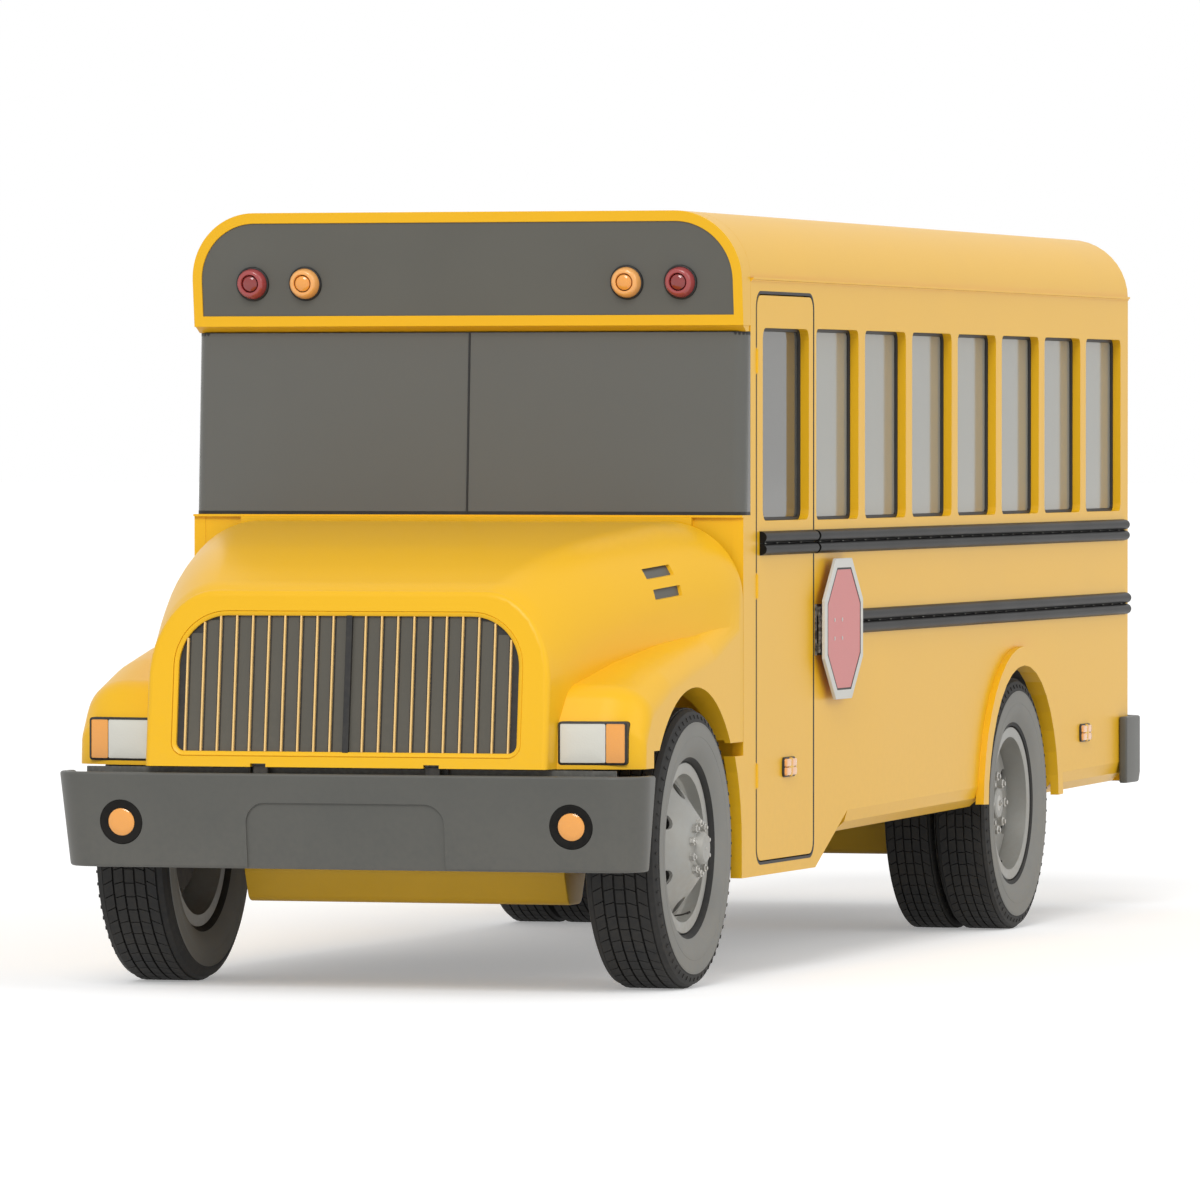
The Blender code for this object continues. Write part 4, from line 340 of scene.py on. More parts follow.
FINISHES = {
    "yellow_paint": Finish(
        YELLOW, 0.34, mottle=0.03, mottle_scale=1.3, dust=0.10, grain_scale=420, grain_depth=0.00004,
        cells=0.2, ior=1.33
    ),
    "white_roof": Finish(
        (0.74, 0.75, 0.70), 0.42, mottle=0.05, dust=0.0, grain_scale=300, grain_depth=0.0001, coat=0.2
    ),
    "black_paint": Finish(
        (0.018, 0.018, 0.018), 0.34, mottle=0.2, dust=0.2, dust_top=2.6, grain_depth=0.0001, wear=0.5,
        coat=0.3
    ),
    "dark_panel": Finish(
        (0.100, 0.100, 0.088), 0.42, mottle=0.10, dust=0.1, grain_scale=380, grain_depth=0.0002
    ),
    "bumper_grey": Finish(
        (0.090, 0.090, 0.081), 0.42, mottle=0.05, mottle_scale=3.0, dust=0.10, dust_top=1.1,
        grain_scale=700, grain_depth=0.0001, wear=0.10
    ),
    "glass": Finish(
        (0.195, 0.195, 0.178), 0.06, mottle=0.03, dust=0.0, grain_depth=0.0, transmission=0.45, coat=0.0
    ),
    # The side windows' pale grey is painted reflection of the bright surroundings, laid over glass that lets
    # some light through.
    "pale_glass": Finish(
        (0.400, 0.400, 0.355), 0.10, mottle=0.03, dust=0.0, grain_depth=0.0, transmission=0.22, ior=1.38
    ),
    "tyre_rubber": Finish(
        (0.013, 0.013, 0.013), 0.72, mottle=0.15, mottle_scale=6.0, dust=0.05, dust_top=1.5,
        grain_depth=0.0003
    ),
    "rim_steel": Finish(
        (0.36, 0.36, 0.34), 0.42, metallic=0.35, mottle=0.10, mottle_scale=9.0, dust=0.35, dust_top=1.3,
        wear=0.4
    ),
    "chassis_steel": Finish((0.030, 0.030, 0.030), 0.55, metallic=0.2, mottle=0.3, dust=0.40, wear=0.12),
    "yellow_axle": Finish(
        (0.860, 0.500, 0.020), 0.42, mottle=0.06, mottle_scale=4.0, dust=0.05, dust_top=1.0, wear=0.06
    ),
    "cast_iron": Finish(
        (0.085, 0.083, 0.080), 0.66, metallic=0.4, mottle=0.25, grain_scale=160, grain_depth=0.0008,
        dust=0.4
    ),
    "tank_steel": Finish((0.17, 0.17, 0.17), 0.48, metallic=0.5, mottle=0.15, dust=0.5, wear=0.3),
    "sign_red": Finish(
        (0.560, 0.085, 0.075), 0.35, mottle=0.05, grain_scale=500, grain_depth=0.0001, cells=1.0, coat=0.3
    ),
    "lamp_lens": Finish((0.78, 0.76, 0.68), 0.12, mottle=0.02, dust=0.05, grain_depth=0.0, coat=1.0),
    "seat_vinyl": Finish(
        (0.030, 0.052, 0.105), 0.52, mottle=0.12, dust=0.0, grain_scale=420, grain_depth=0.0004, cells=0.8,
        sheen=0.15
    ),
    "floor_rubber": Finish(
        (0.040, 0.040, 0.040), 0.75, mottle=0.2, dust=0.5, dust_top=1.3, grain_scale=220, grain_depth=0.0005
    ),
    "dash_plastic": Finish(
        (0.055, 0.055, 0.055), 0.55, mottle=0.08, dust=0.0, grain_scale=500, grain_depth=0.0003, cells=0.9
    ),
    "rail_black": Finish(
        (0.009, 0.009, 0.009), 0.36, mottle=0.2, dust=0.03, dust_top=2.4, grain_depth=0.00005, ior=1.16
    ),
    "sign_white": Finish(
        (0.62, 0.62, 0.58), 0.38, mottle=0.04, dust=0.08, dust_top=2.4, grain_scale=600, grain_depth=0.00005
    ),
    "lens_red_pale": Finish(
        (0.36, 0.055, 0.055), 0.16, mottle=0.03, dust=0.03, grain_scale=170, grain_depth=0.0003, cells=1.0,
        coat=0.5
    ),
    "lens_amber_pale": Finish(
        (0.88, 0.42, 0.12), 0.16, mottle=0.03, dust=0.03, grain_scale=170, grain_depth=0.0003, cells=1.0,
        coat=0.5
    ),
    # The sidewall's grey is painted sheen: paler than the rubber, it stands in for grazing light reflected
    # off the tyre. Its dust is real.
    "tyre_side_painted_sheen": Finish(
        (0.235, 0.235, 0.222), 0.78, mottle=0.10, mottle_scale=5.0, dust=0.22, dust_top=1.5,
        grain_scale=340, grain_depth=0.0002
    ),
    "nut_steel": Finish(
        (0.50, 0.49, 0.46), 0.34, metallic=0.6, mottle=0.10, mottle_scale=14.0, dust=0.25, dust_top=1.2,
        grain_depth=0.0001, wear=0.3
    ),
    "black_trim": Finish(
        (0.012, 0.012, 0.012), 0.55, mottle=0.2, dust=0.10, dust_top=2.4, grain_scale=600,
        grain_depth=0.0001, cells=0.8
    ),
    "grille_slat": Finish(
        (0.082, 0.076, 0.060), 0.50, mottle=0.10, dust=0.15, grain_scale=500, grain_depth=0.0001
    ),
    "fin_yellow": Finish((0.86, 0.56, 0.20), 0.35, mottle=0.05, dust=0.1, grain_depth=0.00004, coat=0.5),
    "lens_clear": Finish(
        (0.66, 0.65, 0.58), 0.10, mottle=0.02, dust=0.03, grain_scale=160, grain_depth=0.0004, cells=1.0,
        coat=0.7
    ),
    "lens_amber": Finish(
        (0.86, 0.36, 0.06), 0.12, mottle=0.03, dust=0.03, grain_scale=170, grain_depth=0.0005, cells=1.0,
        coat=0.7
    ),
    "lens_red": Finish(
        (0.25, 0.024, 0.022), 0.12, mottle=0.03, dust=0.03, grain_scale=170, grain_depth=0.0005, cells=1.0,
        coat=0.7
    )
}


class Palette:
    """The materials of this bus, made once each."""

    def __init__(self) -> None:
        """Makes the shared groups and every finish."""
        effects = Effects()
        self.made = {name: finish.make(name + "_finish", effects) for name, finish in FINISHES.items()}

    def __getitem__(self, name: str) -> bpy.types.Material:
        """Gives a finish by its slot name."""
        return self.made[name]

    def dress_nodes(self) -> None:
        """Gives each CAD node the finish of the slot that its imported material names."""
        for name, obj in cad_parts.items():
            slot = obj.data.materials[0].name.split(".")[0]
            obj.data.materials[0] = self[slot]
            LOG.info("node %s wears %s", name, slot)


# -------------------------------------------------------------------------------------- shapes


class Plane(Enum):
    """The plane that a flat outline lies in, and so the axis that it is carried along."""

    FRONT = "front"  # X and Z, carried along Y
    SIDE = "side"  # Y and Z, carried along X
    PLAN = "plan"  # X and Y, carried along Z

    def point(self, flat: Flat, depth: float) -> Point:
        """Gives the point in space of a flat point at a depth."""
        a, b = flat
        if self is Plane.FRONT:
            return (a, depth, b)
        if self is Plane.SIDE:
            return (depth, a, b)
        return (a, b, depth)


FRONT, SIDE, PLAN = Plane


def arc(centre: Flat, radius: float, start: float, end: float, steps: int) -> list[Flat]:
    """Gives points round part of a circle, with its angles in degrees."""
    turns = [math.radians(start + (end - start) * i / steps) for i in range(steps + 1)]
    return [(centre[0] + radius * math.cos(t), centre[1] + radius * math.sin(t)) for t in turns]


def circle(centre: Flat, radius: float, steps: int) -> list[Flat]:
    """Gives the points of a whole circle, each once."""
    return arc(centre, radius, 0.0, 360.0 * (steps - 1) / steps, steps - 1)


def rounded(corners: list[tuple[float, float, float]], steps: int = 6) -> list[Flat]:
    """Rounds the corners of a closed outline.

    Args:
        corners: Each corner's two coordinates and its radius.
        steps: The straight pieces in each rounded corner.

    Returns:
        The outline's points, steps + 1 for each corner.
    """
    outline = []
    for i, (x, y, radius) in enumerate(corners):
        here = Vector((x, y))
        before = (Vector(corners[i - 1][:2]) - here).normalized()
        after = (Vector(corners[(i + 1) % len(corners)][:2]) - here).normalized()
        half = before.angle(after) / 2
        run = radius / math.tan(half)
        middle = here + (before + after).normalized() * (radius / math.sin(half))
        first, last = here + before * run - middle, here + after * run - middle
        for step in range(steps + 1):
            share = step / steps
            if radius < 1e-7:
                outline.append((x, y))
                continue
            angle = first.angle(last)
            mixed = (
                first * math.sin((1 - share) * angle) + last * math.sin(share * angle)
            ) / math.sin(angle)
            outline.append(tuple(middle + mixed))
    return outline


def block(x: Flat, y: Flat, radius: float, steps: int = 6) -> list[Flat]:
    """Gives a rectangle's outline with all four corners rounded alike."""
    return rounded([
        (x[0], y[0], radius), (x[1], y[0], radius), (x[1], y[1], radius), (x[0], y[1], radius)
    ], steps)


def around(centre: Flat, offsets: list[Flat]) -> list[Flat]:
    """Gives an outline's points from their offsets from a centre."""
    return [(centre[0] + a, centre[1] + b) for a, b in offsets]


def beyond(start: Point, offsets: list[Point]) -> list[Point]:
    """Gives points in space from their offsets from a start."""
    return [(start[0] + a, start[1] + b, start[2] + c) for a, b, c in offsets]


def about(middle: float, half: float) -> Flat:
    """Gives the span that reaches as far to both sides of its middle."""
    return (middle - half, middle + half)


def skin(rings: list[list[Point]], caps: bool = True, around: bool = True, tunnel: bool = False) -> Mesh:
    """Joins like rings of points with faces.

    Args:
        rings: The rings in order, each with as many points.
        caps: Whether the first and last ring are filled.
        around: Whether each ring closes on itself.
        tunnel: Whether the last ring joins the first, as round a frame.

    Returns:
        A mesh whose faces point outwards.
    """
    form = bmesh.new()
    rows = [[form.verts.new(point) for point in ring] for ring in rings]
    pairs = list(zip(rows, rows[1:])) + ([(rows[-1], rows[0])] if tunnel else [])
    for lower, upper in pairs:
        for i in range(len(lower) if around else len(lower) - 1):
            j = (i + 1) % len(lower)
            form.faces.new((lower[i], lower[j], upper[j], upper[i]))
    if caps and not tunnel:
        form.faces.new(rows[0])
        form.faces.new(rows[-1])
    bmesh.ops.remove_doubles(form, verts=form.verts, dist=MERGE)
    bmesh.ops.dissolve_degenerate(form, edges=form.edges, dist=MERGE)
    bmesh.ops.recalc_face_normals(form, faces=form.faces)
    return written(form)


def written(form: bmesh.types.BMesh) -> Mesh:
    """Writes a bmesh into a new mesh and frees it."""
    mesh = bpy.data.meshes.new("shape")
    form.to_mesh(mesh)
    form.free()
    return mesh


def prism(plane: Plane, outline: list[Flat], low: float, high: float) -> Mesh:
    """Carries a flat outline from one depth to another."""
    return skin([[plane.point(flat, depth) for flat in outline] for depth in (low, high)])


def slab(plane: Plane, x: Flat, y: Flat, depths: Flat, radius: float, steps: int = 6) -> Mesh:
    """Makes a plate with four corners rounded alike between two depths."""
    return prism(plane, block(x, y, radius, steps), *depths)


def moulding(plane: Plane, levels: list[tuple], closed: bool = False) -> Mesh:
    """Joins like outlines, each at one or more depths: a stepped solid, or a frame if closed."""
    rings = [(outline, depth) for outline, *depths in levels for depth in depths]
    return skin([[plane.point(flat, depth) for flat in outline] for outline, depth in rings], tunnel=closed)


def lathe(plane: Plane, centre: Flat, profile: list[Flat], steps: int = 48, start: float = 0.0) -> Mesh:
    """Turns a profile about the axis that a plane's outlines are carried along.

    Args:
        plane: The plane of the circles.
        centre: The axis in that plane.
        profile: Depth and radius of each point. It starts and ends on the axis, or closes on itself.
        steps: The sides of each circle.
        start: What is added to every depth.

    Returns:
        A closed mesh.
    """
    rings = []
    for depth, radius in profile:
        ring = circle(centre, max(radius, 1e-6), steps)
        rings.append([plane.point(flat, start + depth) for flat in ring])
    solid = profile[0][1] < 1e-4
    return skin(rings, caps=solid, tunnel=not solid)


def both_ends(low: float, high: float, end: list[Flat]) -> list[Flat]:
    """Gives a profile that starts with an end's points and finishes with their reflection."""
    near = [(low + depth, radius) for depth, radius in end]
    far = [(high - depth, radius) for depth, radius in reversed(end)]
    return near + far


def drum(plane: Plane, centre: Flat, radius: float, depths: Flat, steps: int = 48) -> Mesh:
    """Makes a plain cylinder between two depths."""
    low, high = depths
    return lathe(plane, centre, [(low, 0.0), (low, radius), (high, radius), (high, 0.0)], steps)


def tube(points: list[Point], radius: float, sides: int = 10) -> Mesh:
    """Runs a round bar through points, with flat ends."""
    path = [Vector(point) for point in points]
    side = None
    rings = []
    for i, here in enumerate(path):
        ahead = (path[min(i + 1, len(path) - 1)] - path[max(i - 1, 0)]).normalized()
        if side is None:
            side = ahead.orthogonal().normalized()
        side = (side - ahead * side.dot(ahead)).normalized()
        up = ahead.cross(side)
        turns = [2 * math.pi * k / sides for k in range(sides)]
        rings.append([tuple(here + (side * math.cos(t) + up * math.sin(t)) * radius) for t in turns])
    return skin(rings)


def joined(*meshes: Mesh) -> Mesh:
    """Puts several meshes into one, without merging them."""
    form = bmesh.new()
    for mesh in meshes:
        form.from_mesh(mesh)
        bpy.data.meshes.remove(mesh)
    return written(form)


def reflected(mesh: Mesh) -> Mesh:
    """Makes the same shape on the bus's other side."""
    form = bmesh.new()
    form.from_mesh(mesh)
    for vert in form.verts:
        vert.co.x = -vert.co.x
    bmesh.ops.reverse_faces(form, faces=form.faces)
    return written(form)


def both_sides(*meshes: Mesh) -> Mesh:
    """Joins shapes with their reflections."""
    mesh = joined(*meshes)
    return joined(reflected(mesh), mesh)


def shifted(mesh: Mesh, x: float = 0.0, y: float = 0.0, z: float = 0.0) -> Mesh:
    """Moves a mesh and gives it back."""
    mesh.transform(Matrix.Translation((x, y, z)))
    return mesh


def sheared(mesh: Mesh, push: Callable[[float, float], float]) -> Mesh:
    """Moves every point along Y by what push() gives for its X and Z."""
    for vert in mesh.vertices:
        vert.co.y += push(vert.co.x, vert.co.z)
    return mesh


def evaluated(mesh: Mesh, dress: Callable[[bpy.types.Object], object]) -> Mesh:
    """Gives a mesh as the modifiers that dress() adds leave it.

    Args:
        mesh: The mesh to change, which is removed.
        dress: Adds the modifiers to a passing object that holds the mesh.

    Returns:
        The new mesh.
    """
    holder = bpy.data.objects.new("holder", mesh)
    bpy.context.scene.collection.objects.link(holder)
    dress(holder)
    bpy.context.view_layer.update()
    graph = bpy.context.evaluated_depsgraph_get()
    made = bpy.data.meshes.new_from_object(
        holder.evaluated_get(graph), preserve_all_data_layers=True, depsgraph=graph
    )
    bpy.data.objects.remove(holder)
    bpy.data.meshes.remove(mesh)
    return made


def combined(mesh: Mesh, operation: str, others: list[Mesh]) -> Mesh:
    """Cuts shapes from a mesh (DIFFERENCE), adds them (UNION) or keeps what they share (INTERSECT)."""
    tools = []
    for other in others:
        tool = bpy.data.objects.new("tool", other)
        bpy.context.scene.collection.objects.link(tool)
        tools.append(tool)

    def dress(holder: bpy.types.Object) -> None:
        """Adds one Boolean for each shape."""
        for tool in tools:
            modifier = holder.modifiers.new("cut", "BOOLEAN")
            modifier.operation = operation
            modifier.object = tool

    made = evaluated(mesh, dress)
    for tool in tools:
        used = tool.data
        bpy.data.objects.remove(tool)
        bpy.data.meshes.remove(used)
    return made


def cut(mesh: Mesh, *others: Mesh) -> Mesh:
    """Cuts shapes from a mesh."""
    return combined(mesh, "DIFFERENCE", list(others))


def rolled(obj: bpy.types.Object, width: float, segments: int, angle: float) -> None:
    """Adds a Bevel that rounds every edge sharper than an angle."""
    bevel = obj.modifiers.new("roll", "BEVEL")
    bevel.width = width
    bevel.segments = segments
    bevel.limit_method = "ANGLE"
    bevel.angle_limit = math.radians(angle)


def bevelled(mesh: Mesh, width: float, segments: int, angle: float) -> Mesh:
    """Rounds a mesh's edges that are sharper than an angle."""
    return evaluated(mesh, lambda holder: rolled(holder, width, segments, angle))


def softened(obj: bpy.types.Object, width: float) -> None:
    """Rounds an object's sharp edges and keeps its flat faces flat."""
    rolled(obj, width, EDGE_SEGMENTS, EDGE_ANGLE)
    obj.modifiers.new("shading", "WEIGHTED_NORMAL").keep_sharp = True


def painted_tree(
    wiring: Wiring, copies: bpy.types.NodeSocket, material: bpy.types.NodeSocket, sink: bpy.types.Node
) -> bpy.types.NodeTree:
    """Ends a Geometry Nodes tree: makes its copies real, paints them and puts them out."""
    real = wiring.add("GeometryNodeRealizeInstances", None, Geometry=copies)
    painted = wiring.add("GeometryNodeSetMaterial", None, Geometry=real.outputs[0], Material=material)
    wiring.feed(sink.inputs["Geometry"], painted.outputs[0])
    return wiring.tree


def repeat_tree() -> bpy.types.NodeTree:
    """Builds the Geometry Nodes tree that repeats a shape in a row or round an axis.

    Returns:
        The tree. Each copy is one Step further along and one Turn further round Centre, with a
        seeded share of Scatter added to its turn.
    """
    wiring, given, sink = node_group(
        "GeometryNodeTree", "repeat",
        [
            ("Geometry", SHAPE, None), ("Count", WHOLE, 1), ("Step", VECTOR, None), ("Turn", VECTOR, None),
            ("Centre", VECTOR, None), ("Scatter", VECTOR, None), ("Seed", WHOLE, 7),
            ("Material", MATERIAL, None)
        ],
        [("Geometry", SHAPE, None)]
    )
    index = wiring.add("GeometryNodeInputIndex").outputs[0]
    place = wiring.scaled(given["Step"], index)
    turn = wiring.scaled(given["Turn"], index)
    minus = wiring.scaled(given["Scatter"], -1.0)
    random = wiring.add(
        "FunctionNodeRandomValue", {"data_type": "FLOAT_VECTOR"}, i0=minus, i1=given["Scatter"],
        Seed=given["Seed"]
    )
    turned = wiring.add(
        "ShaderNodeVectorMath", {"operation": "ADD"}, i0=turn, i1=random.outputs[0]
    ).outputs[0]
    points = wiring.add("GeometryNodePoints", None, Count=given["Count"])
    copies = wiring.add(
        "GeometryNodeInstanceOnPoints", None, Points=points.outputs[0], Instance=given["Geometry"]
    )
    spun = wiring.add(
        "GeometryNodeRotateInstances", None, Instances=copies.outputs[0], Pivot_Point=given["Centre"],
        Local_Space=False
    )
    wiring.feed(spun.inputs["Rotation"], turned)
    moved = wiring.add(
        "GeometryNodeTranslateInstances", None, Instances=spun.outputs[0], Translation=place,
        Local_Space=False
    )
    return painted_tree(wiring, moved.outputs[0], given["Material"], sink)


def louvre_tree() -> bpy.types.NodeTree:
    """Builds the Geometry Nodes tree that stands a row of uprights in a frame with rounded top corners.

    Returns:
        The tree. Each upright reaches the frame's inner edge above it, so those near the ends are shorter.
    """
    sizes = ("Pitch", "Wide", "Front", "Deep", "Half", "Low", "High", "Corner")
    wiring, given, sink = node_group(
        "GeometryNodeTree", "louvres",
        [
            ("Geometry", SHAPE, None), ("Count", WHOLE, None), *[(label, FLOAT, None) for label in sizes],
            ("Material", MATERIAL, None),
        ],
        [("Geometry", SHAPE, None)],
    )
    index = wiring.add("GeometryNodeInputIndex").outputs[0]
    halfway = wiring.math("DIVIDE", wiring.math("SUBTRACT", given["Count"], 1.0), 2.0)
    across = wiring.math("MULTIPLY", wiring.math("SUBTRACT", index, halfway), given["Pitch"])
    outer = wiring.math("ADD", wiring.math("ABSOLUTE", across), wiring.math("DIVIDE", given["Wide"], 2.0))
    run = wiring.math(
        "MAXIMUM", wiring.math("SUBTRACT", outer, wiring.math("SUBTRACT", given["Half"], given["Corner"])),
        0.0
    )
    left = wiring.math(
        "SUBTRACT", wiring.math("MULTIPLY", given["Corner"], given["Corner"]),
        wiring.math("MULTIPLY", run, run)
    )
    rise = wiring.math("SQRT", wiring.math("MAXIMUM", left, 0.0))
    top = wiring.math("ADD", wiring.math("SUBTRACT", given["High"], given["Corner"]), rise)
    tall = wiring.math("SUBTRACT", top, given["Low"])
    middle = wiring.math("ADD", given["Low"], wiring.math("DIVIDE", tall, 2.0))
    depth = wiring.math("ADD", given["Front"], wiring.math("DIVIDE", given["Deep"], 2.0))
    spot = wiring.add("ShaderNodeCombineXYZ", None, X=across, Y=depth, Z=middle)
    size = wiring.add("ShaderNodeCombineXYZ", None, X=given["Wide"], Y=given["Deep"], Z=tall)
    points = wiring.add("GeometryNodePoints", None, Count=given["Count"], Position=spot.outputs[0])
    upright = wiring.add("GeometryNodeMeshCube")
    copies = wiring.add(
        "GeometryNodeInstanceOnPoints", None, Points=points.outputs[0], Instance=upright.outputs[0],
        Scale=size.outputs[0]
    )
    return painted_tree(wiring, copies.outputs[0], given["Material"], sink)


def grown(mesh: Mesh, tree: bpy.types.NodeTree, values: dict[str, object]) -> Mesh:
    """Runs a Geometry Nodes tree on a mesh and gives the result as a plain mesh.

    Args:
        mesh: The shape that the tree starts from, which is removed.
        tree: The tree.
        values: The modifier's inputs by the names of their sockets.

    Returns:
        The new mesh.
    """

    def dress(holder: bpy.types.Object) -> None:
        """Adds the tree with its inputs set."""
        modifier = holder.modifiers.new("grow", "NODES")
        modifier.node_group = tree
        for item in tree.interface.items_tree:
            if item.in_out == "INPUT" and item.name in values:
                modifier[item.identifier] = values[item.name]

    return evaluated(mesh, dress)


class Workshop:
    """Places finished pieces: it knows the materials and the shared Geometry Nodes trees."""

    def __init__(self, palette: Palette) -> None:
        """Keeps the palette and builds the trees once."""
        self.palette = palette
        self.repeat = repeat_tree()
        self.louvres = louvre_tree()

    def row(self, mesh: Mesh, slot: str, count: int, step: Point) -> Mesh:
        """Repeats a shape in a straight row."""
        return grown(mesh, self.repeat, {"Count": count, "Step": step, "Material": self.palette[slot]})

    def ring(
        self, mesh: Mesh, slot: str, count: int, centre: Point, axis: Point,
        scatter: Point = (0.0, 0.0, 0.0)
    ) -> Mesh:
        """Repeats a shape evenly round an axis."""
        turn = tuple(2 * math.pi * part / count for part in axis)
        values = {
            "Count": count, "Turn": turn, "Centre": centre, "Scatter": scatter,
            "Material": self.palette[slot]
        }
        return grown(mesh, self.repeat, values)

    def grid(self, mesh: Mesh, slot: str, *rows: tuple[int, Point]) -> Mesh:
        """Repeats a shape in rows of rows, each given by its count and its step."""
        for count, step in rows:
            mesh = self.row(mesh, slot, count, step)
        return mesh

    def place(
        self, name: str, mesh: Mesh, slot: str, body: str = "bus_body", edge: float = 0.0,
        replaces: tuple[str, ...] = (), angle: float = SMOOTH_ANGLE
    ) -> bpy.types.Object:
        """Makes a mesh a finished piece of the bus.

        Args:
            name: The piece's name.
            mesh: Its shape, with Y from the body's front plane.
            slot: Its finish.
            body: The body that it moves with.
            edge: The radius of its softened edges, or 0 for none.
            replaces: The CAD nodes that it stands for.
            angle: Edges that turn less than this, in degrees, are shaded smooth.

        Returns:
            The piece's object.
        """
        shifted(mesh, y=BODY_FRONT_Y)
        mesh.name = name
        mesh.materials.clear()
        mesh.materials.append(self.palette[slot])
        for face in mesh.polygons:
            face.use_smooth = True
            face.material_index = 0
        mesh.set_sharp_from_angle(angle=math.radians(angle))
        piece = bpy.data.objects.new(name, mesh)
        bpy.context.scene.collection.objects.link(piece)
        if edge > 0.0:
            softened(piece, edge)
        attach(piece, body)
        if replaces:
            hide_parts(*replaces)
        LOG.info("piece %s rides %s in %s, %d faces", name, body, slot, len(mesh.polygons))
        return piece

    def copy_of(self, node: str, flat: float = 4.0) -> Mesh:
        """Copies a CAD node's shape with its loose triangles merged, and Y from the body's front plane."""
        form = bmesh.new()
        form.from_mesh(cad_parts[node].data)
        bmesh.ops.remove_doubles(form, verts=form.verts, dist=MERGE)
        bmesh.ops.dissolve_degenerate(form, edges=form.edges, dist=MERGE)
        bmesh.ops.dissolve_limit(form, verts=form.verts, edges=form.edges, angle_limit=math.radians(flat))
        return shifted(written(form), y=-BODY_FRONT_Y)


# ---------------------------------------------------------------------------------------- nose


def ramp(value: float, start: float, end: float) -> float:
    """Gives 0 before start, 1 after end, and an even rise between."""
    return max(0.0, min(1.0, (value - start) / (end - start)))


def curve_through(stations: list[tuple[float, ...]], steps: int) -> list[tuple[float, ...]]:
    """Adds points between stations on a smooth curve that never overshoots them.

    Args:
        stations: Rows of numbers, the first of each being its place along the curve.
        steps: The points made for each gap.

    Returns:
        The denser rows, ends included.
    """
    slopes = []
    for i in range(len(stations)):
        low, high = stations[max(i - 1, 0)], stations[min(i + 1, len(stations) - 1)]
        slopes.append([(b - a) / (high[0] - low[0]) for a, b in zip(low, high)])
    rows = []
    for i, (one, two) in enumerate(zip(stations, stations[1:])):
        run = two[0] - one[0]
        for k in range(steps):
            t = k / steps
            h = ((1 + 2 * t) * (1 - t) ** 2, t * (1 - t) ** 2, t * t * (3 - 2 * t), t * t * (t - 1))
            rows.append(
                tuple(
                    h[0] * a + h[1] * run * m + h[2] * b + h[3] * run * n
                    for a, b, m, n in zip(one, two, slopes[i], slopes[i + 1])
                )
            )
    rows.append(stations[-1])
    return rows


